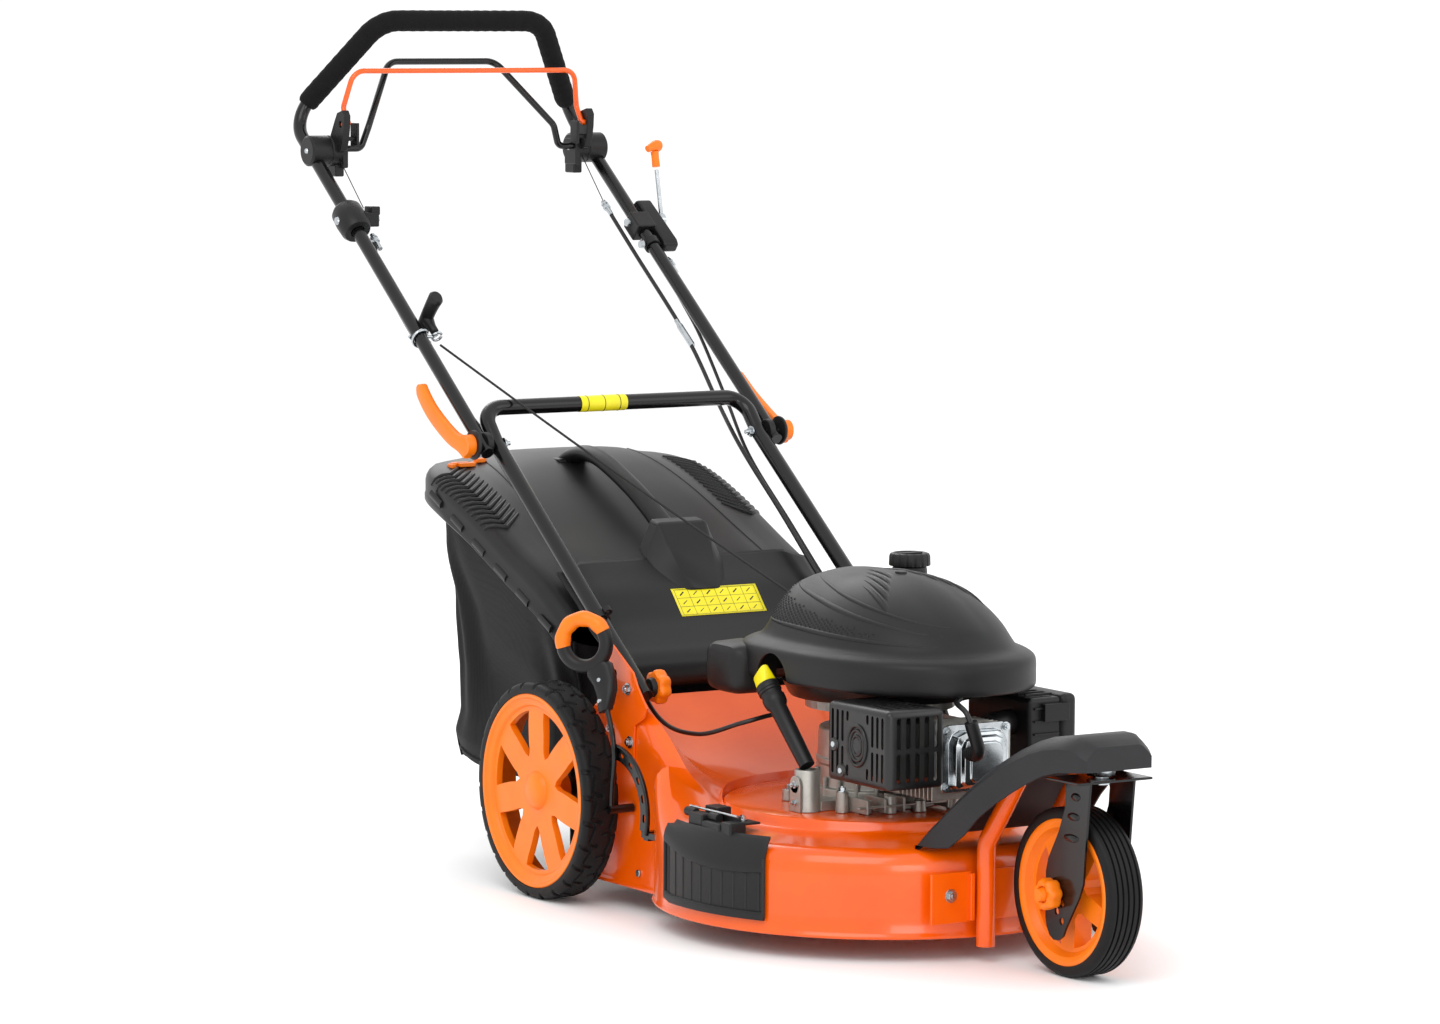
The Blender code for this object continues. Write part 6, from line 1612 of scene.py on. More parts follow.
def lid_details(skin):
    """Chevron vents on both shelves with painted shade in their gaps, the clip slots with painted shade
    inside, the orange latch and the long handle.
    """
    vents = bmesh.new()
    for side in (-1, 1):
        for k in range(14):
            y = 0.395 - 0.0118 * k
            points = []
            for s in range(15):
                t = s / 14
                x = side * (0.2165 - 0.056 * t)
                v = y - 0.016 + 0.026 * abs(t - 0.42) / 0.58
                hit, normal = on_lid(skin, x, v)
                if hit is not None:
                    points.append((hit, normal))
            if len(points) > 4:
                ribbon(vents, points, [0.0030 * (0.5 + 0.5 * math.sin(math.pi * (j + 0.5) / len(points)))
                                       for j in range(len(points))],
                       0.0042)
    as_object("lid_chevron_vents", vents, PP_BLACK, "grass_bag", smooth=60)
    # Painted shade: a dark strip between each pair of vent ridges stands for the shade in the vent's gap.
    vent_gap_shade = bmesh.new()
    for side in (-1, 1):
        for k in range(13):
            y = 0.395 - 0.0118 * (k + 0.5)
            points = []
            for s in range(13):
                t = 0.06 + 0.88 * s / 12
                x = side * (0.2165 - 0.056 * t)
                v = y - 0.016 + 0.026 * abs(t - 0.42) / 0.58
                hit, normal = on_lid(skin, x, v)
                if hit is not None:
                    points.append((hit, normal))
            if len(points) > 4:
                ribbon(vent_gap_shade, points, [0.0021] * len(points), 0.0009)
    as_object("lid_vent_gaps", vent_gap_shade, SHEATH_AND_GAP_SHADE_BLACK, "grass_bag", smooth=60)
    # slots holds painted shade: a dark strip inside each clip frame stands for the shade in its slot.
    slots = bmesh.new()
    frames = bmesh.new()
    for side in (-1, 1):
        for k in range(6):
            y = 0.078 + 0.058 * k
            z = 0.3560 + (y - 0.034) * (0.156 / 0.326) - 0.032
            way = Vector((0, 0.902, 0.431))
            x = side * (0.2205 if y > 0.06 else 0.217)
            for material, reach, length, thick in ((slots, 0.0008, 0.0125, 0.0030),
                                                   (frames, 0.0002, 0.0160, 0.0052)):
                path = [Vector((x + side * reach, y, z)) + way * t for t in (-length, length)]
                add_tube(material, path, thick, 12, (0.45, 1.0))
    as_object("lid_clip_frames", frames, PP_BLACK, "grass_bag", smooth=50)
    as_object("lid_clip_slots", slots, SHEATH_AND_GAP_SHADE_BLACK, "grass_bag", smooth=50)
    latch = bmesh.new()
    for x0, x1, y0, y1 in ((-0.176, -0.136, 0.402, 0.410), (-0.168, -0.144, 0.394, 0.418),
                           (-0.178, -0.172, 0.398, 0.414),
                           (-0.138, -0.124, 0.399, 0.412)):
        hit, normal = on_lid(skin, (x0 + x1) / 2, (y0 + y1) / 2)
        add_box(latch, (x0, y0, hit.z - 0.001), (x1, y1, hit.z + 0.0048))
    as_object("lid_latch", latch, NYLON_ORANGE, "grass_bag", bevel=0.0014, segments=3)
    handle = bmesh.new()
    path = smooth_path([(0, 0.392, 0.522), (0, 0.372, 0.5330), (0, 0.340, 0.5385), (0, 0.300, 0.5320),
                        (0, 0.250, 0.5130),
                        (0, 0.200, 0.4900), (0, 0.150, 0.4610), (0, 0.128, 0.4440), (0, 0.122, 0.4180)], 7)
    radii = [0.0125 + 0.003 * (1 - math.sin(math.pi * k / (len(path) - 1))) for k in range(len(path))]
    add_tube(handle, path, 0.0125, 28, (1.25, 0.80), radii)
    as_object("bag_handle", handle, ABS_BLACK, "grass_bag", smooth=60)
    pads = bmesh.new()
    for y, z in ((0.392, 0.5265),):
        add_box(pads, (-0.026, y - 0.020, z - 0.004), (0.026, y + 0.020, z + 0.0030))
    as_object("bag_handle_foot", pads, PP_BLACK, "grass_bag", bevel=0.0030, segments=3)
    seams = bmesh.new()
    for side in (-1, 1):
        points = []
        for s in range(25):
            y = 0.105 + 0.33 * s / 24
            hit, normal = on_lid(skin, side * (0.150 - 0.028 * (s / 24)), y)
            if hit is not None:
                points.append((hit, normal))
        ribbon(seams, points, [0.0022] * len(points), 0.0016)
    as_object("lid_crown_beads", seams, PP_BLACK, "grass_bag", smooth=60)


def lerp_table(table, v):
    """Reads a table of (v, numbers...) at v, smoothly."""
    for a, b in zip(table, table[1:]):
        if v <= b[0]:
            t = (v - a[0]) / (b[0] - a[0])
            t = t * t * (3 - 2 * t) * 0.5 + t * 0.5
            return [p + (q - p) * t for p, q in zip(a[1:], b[1:])]
    return list(table[-1][1:])


# how far down the cloth, then half width, back and front
CLOTH = ((0.00, 0.2120, 0.4240, 0.0320), (0.12, 0.2110, 0.4190, 0.0330), (0.35, 0.2040, 0.3960, 0.0345),
         (0.60, 0.1960, 0.3900, 0.0360),
         (0.78, 0.1945, 0.3990, 0.0380), (0.90, 0.1930, 0.4210, 0.0420), (1.00, 0.1820, 0.4200, 0.0500))


def cloth_point(u, v):
    """A point of the net: u runs round the bag, v runs down from the lid."""
    half, back, front = lerp_table(CLOTH, v)
    a = 2 * math.pi * u
    c, s = math.cos(a), math.sin(a)
    x = half * math.copysign(abs(c) ** 0.30, c)
    y = (back + front) / 2 + (back - front) / 2 * math.copysign(abs(s) ** 0.30, s)
    top = 0.3120 + (y - 0.032) * 0.452
    top = min(top, 0.482)
    z = top + (0.1270 - top) * v
    centre = Vector((0.0, 0.23, z))
    out = (Vector((x, y, z)) - centre).normalized()
    loose = math.sin(math.pi * min(1.0, v * 1.05)) ** 0.8
    fold = (0.0052 * math.sin(a * 7 + 3.2 * v + 1.3 * math.sin(5 * v)) + 0.0034 * math.sin(a * 17 - 5.5 * v))
    fold += 0.0075 * noise.noise(Vector((x * 9, y * 9 + 3, z * 7)))
    sag = -0.008 * loose * (1 - v) - 0.0045
    drop = 0.006 * math.sin(a * 5 + 1) * ease(v, 0.75, 1.0)
    return Vector((x, y, z + drop)) + out * (fold * loose + sag)


def net_bag():
    """The net hung from the lid's edge: one skin, narrow at its waist, with folds and a sagging floor."""
    around, down = 200, 64
    bm = bmesh.new()
    rows = []
    for r in range(down + 1):
        rows.append([bm.verts.new(cloth_point(k / around, r / down)) for k in range(around)])
    floor_rows = 14
    for r in range(1, floor_rows):
        t = r / floor_rows
        row = []
        for k in range(around):
            edge = cloth_point(k / around, 1.0)
            middle = Vector((0.0, 0.235, 0.1270))
            p = edge.lerp(middle, t)
            p.z = edge.z + (0.1262 - edge.z) * t - 0.006 * math.sin(math.pi * min(1.0,
                    t * 3) / 2) + 0.003 * noise.noise(p * 14)
            row.append(bm.verts.new(p))
        rows.append(row)
    for a, b in zip(rows, rows[1:]):
        for k in range(around):
            j = (k + 1) % around
            bm.faces.new((a[k], a[j], b[j], b[k]))
    centre = bm.verts.new(Vector((0.0, 0.235, 0.1205)))
    for k in range(around):
        bm.faces.new((rows[-1][k], rows[-1][(k + 1) % around], centre))
    net = as_object("bag_net", bm, NET_CLOTH, "grass_bag", ["bag_fabric"], 180)
    hems = bmesh.new()
    for u in (0.377, 0.123, 0.622, 0.878):
        path = [cloth_point(u, v / 24) for v in range(25)]
        centre_line = Vector((0.0, 0.23, 0.0))
        path = [p + (Vector((p.x, p.y, 0)) - centre_line).normalized() * 0.0012 for p in path]
        add_tube(hems, path, 0.0024, 10)
    bead = [cloth_point(k / around, 0.975) for k in range(around + 1)]
    bead = [p + (Vector((p.x, p.y, 0)) - Vector((0.0, 0.23, 0.0))).normalized() * 0.0010 for p in bead]
    add_tube(hems, bead, 0.0021, 8)
    piping = as_object("bag_net_piping", hems, NET_CLOTH, "grass_bag", smooth=70)
    return net


lid_skin = lid()
lid_details(lid_skin)
net_bag()


def rear_flap():
    """The sprung guard over the bag's mouth, with its faceted hood and a plain panel."""
    y, z = -0.036, 0.2705
    spine = [(y - 0.003, z - 0.004), (y - 0.0105, z + 0.004), (y - 0.0128, z + 0.014),
             (y - 0.0105, z + 0.028), (y - 0.002, z + 0.040),
             (y + 0.012, z + 0.050), (-0.004, 0.335), (0.014, 0.349), (0.030, 0.3665), (0.046, 0.384),
             (0.070, 0.402), (0.094, 0.4205)]
    path = smooth_path([(0, a, b) for a, b in spine], 5)
    bm = bmesh.new()
    rows = []
    for k, p in enumerate(path):
        t = k / (len(path) - 1)
        half = 0.186 + 0.010 * ease(t, 0.35, 1.0)
        row = []
        for c in range(33):
            s = -1 + 2 * c / 32
            drop = -0.012 * max(0.0, abs(s) - 0.80) / 0.20 * ease(t, 0.25, 0.7)
            row.append(bm.verts.new(Vector((half * s, p.y + 0.3 * drop, p.z + drop + 0.0012))))
        rows.append(row)
    for a, b in zip(rows, rows[1:]):
        for k in range(32):
            bm.faces.new((a[k], a[k + 1], b[k + 1], b[k]))
    bmesh.ops.recalc_face_normals(bm, faces=bm.faces)
    if sum(f.normal.z * f.calc_area() for f in bm.faces) < 0:
        bmesh.ops.reverse_faces(bm, faces=bm.faces)
    skin = BVHTree.FromBMesh(bm)
    flap = as_object("flap_moulding", bm, PP_BLACK, "rear_flap", ["rear_flap"], 60,
                     recalc=False)
    wall = flap.modifiers.new("wall", "SOLIDIFY")
    wall.thickness = 0.0026
    wall.offset = -1.0
    hood = bmesh.new()
    rings = []
    for cy, low, half_low, high, half_high in ((0.040, 0.3790, 0.030, 0.3830, 0.018),
                                               (0.052, 0.386, 0.043, 0.4020, 0.026),
                                               (0.078, 0.4060, 0.056, 0.4400, 0.034), (0.096, 0.4180, 0.060,
                                                       0.4660, 0.037),
                                               (0.1180, 0.4300, 0.055, 0.4700, 0.036)):
        rings.append([Vector((-half_low, cy, low)), Vector((-half_high, cy, high)),
                      Vector((half_high, cy, high)),
                      Vector((half_low, cy, low))])
    loft(hood, rings)
    as_object("flap_hood", hood, ABS_BLACK, "rear_flap", smooth=30, bevel=0.0065, segments=4)
    label = bmesh.new()
    rows = []
    for r in range(7):
        row = []
        for c in range(13):
            x = -0.050 + 0.132 * c / 12
            ly = 0.044 - 0.030 * r / 6
            hit, normal, _, _ = skin.ray_cast(Vector((x, ly, 0.8)), Vector((0, 0, -1)))
            row.append(label.verts.new(hit + normal * 0.0006))
        rows.append(row)
    for a, b in zip(rows, rows[1:]):
        for k in range(12):
            label.faces.new((a[k], a[k + 1], b[k + 1], b[k]))
    sticker = as_object("flap_sticker", label, STICKER_YELLOW, "rear_flap", smooth=60)
    thick = sticker.modifiers.new("vinyl", "SOLIDIFY")
    thick.thickness = 0.0003
    marks = bmesh.new()

    def line(start, end, wide):
        points = []
        for s in range(9):
            x = start[0] + (end[0] - start[0]) * s / 8
            ly = start[1] + (end[1] - start[1]) * s / 8
            hit, normal, _, _ = skin.ray_cast(Vector((x, ly, 0.8)), Vector((0, 0, -1)))
            points.append((hit + normal * 0.0007, normal))
        ribbon(marks, points, [wide] * 9, 0.0004)

    for k in range(7):
        line((-0.046 + 0.0207 * k, 0.0425), (-0.046 + 0.0207 * k, 0.0155), 0.0005)
    for k in range(4):
        line((-0.046, 0.0425 - 0.0090 * k), (0.078, 0.0425 - 0.0090 * k), 0.0005)
    for row in range(3):
        for k in range(6):
            x, ly = -0.0357 + 0.0207 * k, 0.0380 - 0.0090 * row
            line((x - 0.0042, ly - 0.0018), (x + 0.0030, ly + 0.0018), 0.0009 if (row + k) % 2 else 0.0014)
    as_object("flap_sticker_marks", marks, STICKER_INK, "rear_flap", smooth=60)
    pivots = bmesh.new()
    add_rod(pivots, (-0.190, y, z), (0.190, y, z), 0.0036, sides=20)
    as_object("flap_hinge_rod", pivots, ZINC_BRIGHT, "rear_flap")


rear_flap()


# ---------------------------------------------------------------- handles
LEG_X, LEG_R, UPPER_R = 0.2060, 0.0105, 0.0093
LEG_PIVOT, FOLD = (-0.137, 0.2835), (0.231, 0.568)
HANDLE_TOP, HANDLE_BEND, HANDLE_TOP_X = (0.687, 1.1235), (0.768, 0.985), 0.130
HUB, HUB_R, HUB_L = (0.702, 0.943), 0.0215, 0.054
UPPER_X = LEG_X + 0.0208
LEG_WAY = (Vector((0.0, *FOLD)) - Vector((0.0, *LEG_PIVOT))).normalized()
UPPER_WAY = (Vector((0.0, *HANDLE_BEND)) - Vector((0.0, *FOLD))).normalized()
SQUARE = Vector((0.0, UPPER_WAY.z, -UPPER_WAY.y))


def on_upper(distance, x=UPPER_X, off=0.0):
    return Vector((x, *FOLD)) + UPPER_WAY * distance + SQUARE * off


def on_lower(distance, x=LEG_X, off=0.0):
    return Vector((x, *LEG_PIVOT)) + LEG_WAY * distance + Vector((0.0, LEG_WAY.z, -LEG_WAY.y)) * off


def lower_handle():
    """The bent tube with its crossbar, its pivot bolts, star knobs and the clip that holds the cables."""
    foot = Vector((0.0, *LEG_PIVOT)) - LEG_WAY * 0.016
    bend = Vector((0.0, *FOLD)) + LEG_WAY * 0.050
    bend.z += 0.014
    x = LEG_X
    path = rounded([(-x, foot.y, foot.z), (-x, *FOLD), (-x, bend.y, bend.z), (x, bend.y, bend.z), (x, *FOLD),
                    (x, foot.y, foot.z)], (0.06, 0.030, 0.030, 0.06), 12)
    bm = bmesh.new()
    add_tube(bm, path, LEG_R, 28)
    as_object("lower_tube", bm, ENAMEL_BLACK, "lower_handle", ["lower_handle"], 50, 0.0008)
    for side, name in ((-1, "right"), (1, "left")):
        y, z = LEG_PIVOT
        inner = side * (LEG_X - LEG_R - 0.0008)
        knob = bmesh.new()
        add_star(knob, (inner - side * 0.0070, y, z), (-side, 0, 0), 0.0225, 0.0170, 7)
        as_object(f"leg_star_knob_{name}", knob, NYLON_ORANGE, "lower_handle", [f"leg_knob_{name}"], 40)
        spacer = bmesh.new()
        add_rod(spacer, (inner, y, z), (inner - side * 0.0072, y, z), 0.0110, 0.0130, 32)
        add_rod(spacer, (side * (LEG_X - 0.0125), y, z), (side * (LEG_X + 0.0125), y, z), 0.0050, sides=24)
        as_object(f"leg_spacer_{name}", spacer, PP_BLACK, "lower_handle", bevel=0.0010)
        bolt = bmesh.new()
        add_rod(bolt, (inner - side * 0.0160, y, z), (side * (DECK_SIDE_X + 0.0040), y, z), 0.0030, sides=20)
        add_bolt(bolt, (side * (DECK_SIDE_X + 0.0036), y, z), (side, 0, 0), 0.0062)
        as_object(f"leg_bolt_{name}", bolt, ZINC_BRIGHT, "lower_handle")
        washer = bmesh.new()
        add_turned(washer, [(0.0040, 0.0), (0.0150, 0.0), (0.0165, 0.0015), (0.0165, 0.0078),
                            (0.0150, 0.0092), (0.0040, 0.0092)],
                   (side * (LEG_X + LEG_R + 0.0008), *FOLD), (side, 0, 0), 40, closed_ring=True)
        as_object(f"fold_washer_{name}", washer, PP_BLACK, "lower_handle", bevel=0.0006)
        pin = bmesh.new()
        add_bolt(pin, (side * (LEG_X - LEG_R), *FOLD), (-side, 0, 0), 0.0062)
        as_object(f"fold_nut_{name}", pin, ZINC_BRIGHT, "lower_handle")
    label = bmesh.new()
    add_turned(label, [(LEG_R + 0.0003, -0.056), (LEG_R + 0.0005, -0.0555), (LEG_R + 0.0005, 0.0155),
                       (LEG_R + 0.0003, 0.016)],
               (0.0, bend.y, bend.z), (1, 0, 0), 48)
    as_object("crossbar_sticker", label, STICKER_YELLOW, "lower_handle", smooth=60)
    marks = bmesh.new()
    for x0 in (-0.046, -0.020, 0.004):
        add_turned(marks, [(LEG_R + 0.0006, x0), (LEG_R + 0.0008, x0 + 0.0002), (LEG_R + 0.0008, x0 + 0.0010),
                           (LEG_R + 0.0006, x0 + 0.0012)],
                   (0.0, bend.y, bend.z), (1, 0, 0), 48)
    as_object("crossbar_sticker_marks", marks, STICKER_INK, "lower_handle", smooth=60)
    clip = bmesh.new()
    at = on_lower(0.128, -LEG_X)
    add_turned(clip, [(LEG_R + 0.0002, -0.0065), (LEG_R + 0.0022, -0.0060), (LEG_R + 0.0022, 0.0060),
                      (LEG_R + 0.0002, 0.0065)],
               at, LEG_WAY, 36, closed_ring=True)
    for off in (-0.0145, 0.0145):
        centre = on_lower(0.128, -LEG_X + 0.0060, off)
        add_turned(clip, [(0.0036, -0.004), (0.0056, -0.004), (0.0056, 0.004), (0.0036, 0.004)], centre,
                   LEG_WAY, 24, closed_ring=True)
    add_box(clip, (at.x + 0.004, at.y - 0.005, at.z - 0.016), (at.x + 0.020, at.y + 0.004, at.z - 0.011))
    as_object("leg_cable_clip", clip, PP_BLACK, "lower_handle", smooth=45)


def upper_handle():
    """The folding tube and its foam grip."""
    x, top_x = UPPER_X, HANDLE_TOP_X
    low = on_upper(-0.018, x)
    corners = [(-x, low.y, low.z), (-x, *HANDLE_BEND), (-top_x, *HANDLE_TOP), (top_x, *HANDLE_TOP),
               (x, *HANDLE_BEND),
               (x, low.y, low.z)]
    path = rounded(corners, (0.045, 0.050, 0.050, 0.045), 14)
    bm = bmesh.new()
    add_tube(bm, path, UPPER_R, 28)
    as_object("upper_tube", bm, ENAMEL_BLACK, "upper_handle", ["upper_handle"], 50, 0.0008)
    coarse = rounded(corners, (0.045, 0.050, 0.050, 0.045), 5)
    ends = [coarse[5].lerp(coarse[6], 0.12), coarse[-6].lerp(coarse[-7], 0.12)]
    line = [ends[0], *path[15:-15], ends[1]]
    fine = []
    for a, b in zip(line, line[1:]):
        count = max(1, round((b - a).length / 0.004))
        fine += [a.lerp(b, k / count) for k in range(count)]
    fine.append(line[-1])
    last = len(fine) - 1
    radii = []
    for k in range(last + 1):
        edge = min(k, last - k)
        radii.append(0.0148 - 0.0030 * max(0.0, 1 - edge / 1.5) + 0.00022 * math.sin(k * 1.7) + 0.0002
                     * noise.noise(Vector((k * 0.4, 0, 0))))
    grip = bmesh.new()
    add_tube(grip, fine, 0.0148, 36, None, radii)
    as_object("foam_sleeve", grip, FOAM_BLACK, "upper_handle", ["foam_grip"], 70)


def bail_hub(side, name):
    """A barrel clamped on the tube, with end screws, a parting groove and the stop bail's bracket."""
    y, z = HUB
    middle = side * 0.2120
    half = HUB_L / 2
    bm = bmesh.new()
    profile = [(0.0, -half), (HUB_R - 0.0030, -half), (HUB_R, -half + 0.0025), (HUB_R, -0.0060),
               (HUB_R - 0.0012, -0.0050),
               (HUB_R - 0.0012, -0.0040), (HUB_R, -0.0030), (HUB_R, half - 0.0025), (HUB_R - 0.0030, half),
               (0.0, half)]
    add_turned(bm, profile, (middle, y, z), (side, 0, 0), 56)
    as_object(f"hub_barrel_{name}", bm, PP_BLACK, "upper_handle", [f"bail_hub_{name}"], 30, 0.0006)
    screw = bmesh.new()
    for end in (-1, 1):
        add_rod(screw, (middle + end * (half - 0.0005), y, z), (middle + end * (half + 0.0016), y, z), 0.0042,
                0.0032, 24)
    as_object(f"hub_screws_{name}", screw, ZINC_BRIGHT, "upper_handle")
    block = bmesh.new()
    x0, x1 = sorted((side * 0.1840, side * 0.1925))
    add_box(block, (x0, y - 0.021, z - 0.024), (x1, y + 0.012, z + 0.014))
    add_box(block, (min(side * 0.186, side * 0.200), y - 0.012, z - 0.036),
            (max(side * 0.186, side * 0.200), y + 0.014, z - 0.018))
    as_object(f"hub_block_{name}", block, PP_BLACK, "upper_handle", bevel=0.0022, segments=3)
    lug = bmesh.new()
    by, bz = 0.6720, 0.9800
    outline = [(by - 0.011, bz - 0.004), (by - 0.008, bz - 0.020), (by - 0.002, bz - 0.036), (y, z - 0.008),
               (y + 0.010, z + 0.004),
               (by + 0.018, bz + 0.004), (by + 0.010, bz + 0.016), (by - 0.006, bz + 0.020),
               (by - 0.012, bz + 0.012)]
    add_plate(lug, outline, *sorted((side * 0.1918, side * 0.2022)))
    plate = as_object(f"hub_lug_{name}", lug, PP_BLACK, "upper_handle", bevel=0.0012)
    hole = bmesh.new()
    add_rod(hole, (side * 0.18, by, bz), (side * 0.21, by, bz), 0.0045, sides=24)
    cut(plate, hole)
    cheek = bmesh.new()
    add_box(cheek, (min(side * 0.176, side * 0.180), by - 0.008, bz - 0.030),
            (max(side * 0.176, side * 0.180), by + 0.012, bz + 0.002))
    add_rod(cheek, (side * 0.180, by, bz - 0.020), (side * 0.1925, by, bz - 0.020), 0.0030, sides=16)
    as_object(f"hub_cheek_{name}", cheek, PP_BLACK, "upper_handle", bevel=0.0010)


def bails():
    y, z = HUB[0] - 0.012, HUB[1] + 0.003
    ends = 0.1852
    path = rounded([(-ends, y, z), (-0.160, y, z), (-0.150, y - 0.004, z + 0.030), (-0.086, 0.744, 1.066),
                    (0.086, 0.744, 1.066), (0.150, y - 0.004, z + 0.030), (0.160, y, z), (ends, y, z)],
                   (0.010, 0.014, 0.026, 0.026, 0.014, 0.010), 10)
    bm = bmesh.new()
    add_tube(bm, path, 0.0048, 22)
    as_object("drive_bail_rod", bm, ENAMEL_BLACK, "drive_bail", ["drive_bail"], 60, 0.0004)
    y, z = 0.6720, 0.9800
    path = rounded([(-0.1990, y, z), (-0.1880, y, z), (-0.1890, 0.688, 1.002), (-0.1780, 0.676, 1.054),
                    (0.1780, 0.676, 1.054), (0.1890, 0.688, 1.002), (0.1880, y, z), (0.1990, y, z)],
                   (0.004, 0.012, 0.020, 0.020, 0.012, 0.004), 10)
    bm = bmesh.new()
    add_tube(bm, path, 0.0037, 22)
    as_object("stop_bail_rod", bm, ENAMEL_ORANGE, "blade_bail", ["blade_bail"], 60, 0.0003)


def cam_lever(side, name):
    """The curved orange lever of a quick clamp, on its black cup, with a pin through the cam."""
    outside = UPPER_X + UPPER_R + GAP
    cup = bmesh.new()
    add_turned(cup, [(0.0, 0.0010), (0.0150, 0.0010), (0.0195, 0.0022), (0.0200, 0.0040), (0.0190, 0.0062),
                     (0.0150, 0.0068), (0.0, 0.0068)],
               (side * outside, *FOLD), (side, 0, 0), 44)
    as_object(f"cam_cup_{name}", cup, PP_BLACK, f"cam_lever_{name}", smooth=35)
    lever = bmesh.new()
    spine = smooth_path([(0, 0.226, 0.560), (0, 0.240, 0.568), (0, 0.262, 0.575), (0, 0.292, 0.590),
                         (0, 0.322, 0.608), (0, 0.345, 0.626),
                         (0, 0.358, 0.638)], 6)
    rings = []
    last = len(spine) - 1
    for k, p in enumerate(spine):
        way = (spine[min(k + 1, last)] - spine[max(k - 1, 0)]).normalized()
        up = Vector((0, -way.z, way.y))
        t = k / last
        wide = (0.0135 - 0.0035 * ease(t, 0.0, 0.3) + 0.0012 * math.sin(math.pi * t)) * (1.0
                if k < last - 2 else (0.93, 0.78, 0.45)[k - last + 2])
        wide *= 0.85 if k == 0 else 1.0
        thick = 0.0062
        middle = Vector((side * (outside + 0.0132 + 0.004 * math.sin(math.pi * t)), p.y, p.z))
        rings.append([middle + up * (wide * math.copysign(abs(math.cos(2 * math.pi * s / 24)) ** 0.5,
                math.cos(2 * math.pi * s / 24)))
                      + Vector((side * thick * math.copysign(abs(math.sin(2 * math.pi * s / 24)) ** 0.5,
                              math.sin(2 * math.pi * s / 24)), 0, 0))
                      for s in range(24)])
    loft(lever, rings)
    add_rod(lever, (side * (outside + 0.0070), *FOLD), (side * (outside + 0.0192), *FOLD), 0.0140, sides=40)
    as_object(f"cam_arm_{name}", lever, NYLON_ORANGE, f"cam_lever_{name}", [f"cam_lever_{name}"], 45)
    pin = bmesh.new()
    add_rod(pin, (side * (outside + 0.0185), FOLD[0] + 0.004, FOLD[1] + 0.002),
            (side * (outside + 0.0205), FOLD[0] + 0.004, FOLD[1] + 0.002),
            0.0032, sides=20)
    add_rod(pin, (side * (LEG_X - LEG_R - 0.010), *FOLD), (side * (outside + 0.003), *FOLD), 0.0030, sides=16)
    as_object(f"cam_pin_{name}", pin, ZINC_BRIGHT, f"cam_lever_{name}")


def throttle():
    """The throttle's case on the left leg, its clamp, and the T-shaped orange knob on a plated stalk."""
    x = UPPER_X
    middle = on_upper(0.4350, x)
    shape = arc((-0.034, 0.000), 0.0145, 70, 230, 8) + [(0.046, -0.0135), (0.054, -0.010), (0.054, 0.0035),
                                                        (0.040, 0.0095), (0.004, 0.0160)]
    outline = [(middle + UPPER_WAY * -a + SQUARE * b) for a, b in shape]
    bm = bmesh.new()
    add_plate(bm, [(p.y, p.z) for p in outline], x + UPPER_R + 0.002, x + UPPER_R + 0.026)
    as_object("throttle_case", bm, PP_BLACK, "upper_handle", ["throttle_box"], 35, 0.0034,
              segments=4)
    clamp = bmesh.new()
    add_plate(clamp, [(p.y, p.z) for p in (middle + UPPER_WAY * 0.016 - SQUARE * 0.014,
                                           middle + UPPER_WAY * 0.016 + SQUARE * 0.014,
                                           middle - UPPER_WAY * 0.016 + SQUARE * 0.014,
                                           middle - UPPER_WAY * 0.016 - SQUARE * 0.014)],
              x - UPPER_R - 0.006, x + UPPER_R + 0.006)
    as_object("throttle_clamp", clamp, PP_BLACK, "upper_handle", bevel=0.0022, segments=3)
    screws = bmesh.new()
    for d in (0.008, -0.040):
        centre = middle + UPPER_WAY * d
        add_rod(screws, centre + Vector((-UPPER_R - 0.0055, 0, 0)),
                centre + Vector((-UPPER_R - 0.0105, 0, 0)), 0.0062, 0.0052, 24)
    as_object("throttle_clamp_screws", screws, ZINC_BRIGHT, "upper_handle")
    band = bmesh.new()
    add_turned(band, [(UPPER_R + 0.0002, -0.006), (UPPER_R + 0.0030, -0.006), (UPPER_R + 0.0030, 0.006),
                      (UPPER_R + 0.0002, 0.006)],
               middle - UPPER_WAY * 0.040, UPPER_WAY, 32, closed_ring=True)
    as_object("throttle_band", band, PP_BLACK, "upper_handle", bevel=0.0006)
    pivot = middle + UPPER_WAY * 0.012
    lever_x = x + UPPER_R + 0.0265
    knob = Vector((lever_x + 0.006, pivot.y + 0.020, 0.9405))
    foot = Vector((lever_x + 0.006, pivot.y, pivot.z))
    stalk = bmesh.new()
    add_rod(stalk, foot, foot.lerp(knob, 0.72), 0.0030, sides=20)
    add_rod(stalk, (lever_x, pivot.y, pivot.z), (lever_x + 0.0085, pivot.y, pivot.z), 0.0095, sides=32)
    as_object("throttle_stalk", stalk, ZINC_BRIGHT, "throttle_lever", bevel=0.0004)
    grip = bmesh.new()
    way = (knob - foot).normalized()
    add_turned(grip, [(0.0, 0.0), (0.0052, 0.0), (0.0058, 0.001), (0.0054, 0.014), (0.0060, 0.022),
                      (0.0, 0.024)],
               knob - way * 0.024, way, 36)
    bar = smooth_path([knob + Vector((-0.014, -0.004, 0.002)), knob + Vector((-0.006, -0.002, 0.005)),
                       knob + Vector((0.002, 0.001, 0.0065)),
                       knob + Vector((0.009, 0.004, 0.0060))], 6)
    radii = [0.0050 + 0.0034 * ease(k / (len(bar) - 1), 0.0,
                                    0.8) - (0.0018 if k == len(bar) - 1 else 0) for k in range(len(bar))]
    add_tube(grip, bar, 0.0085, 28, None, radii)
    as_object("throttle_knob", grip, NYLON_ORANGE, "throttle_lever", ["throttle_lever"], 50, 0.0006)


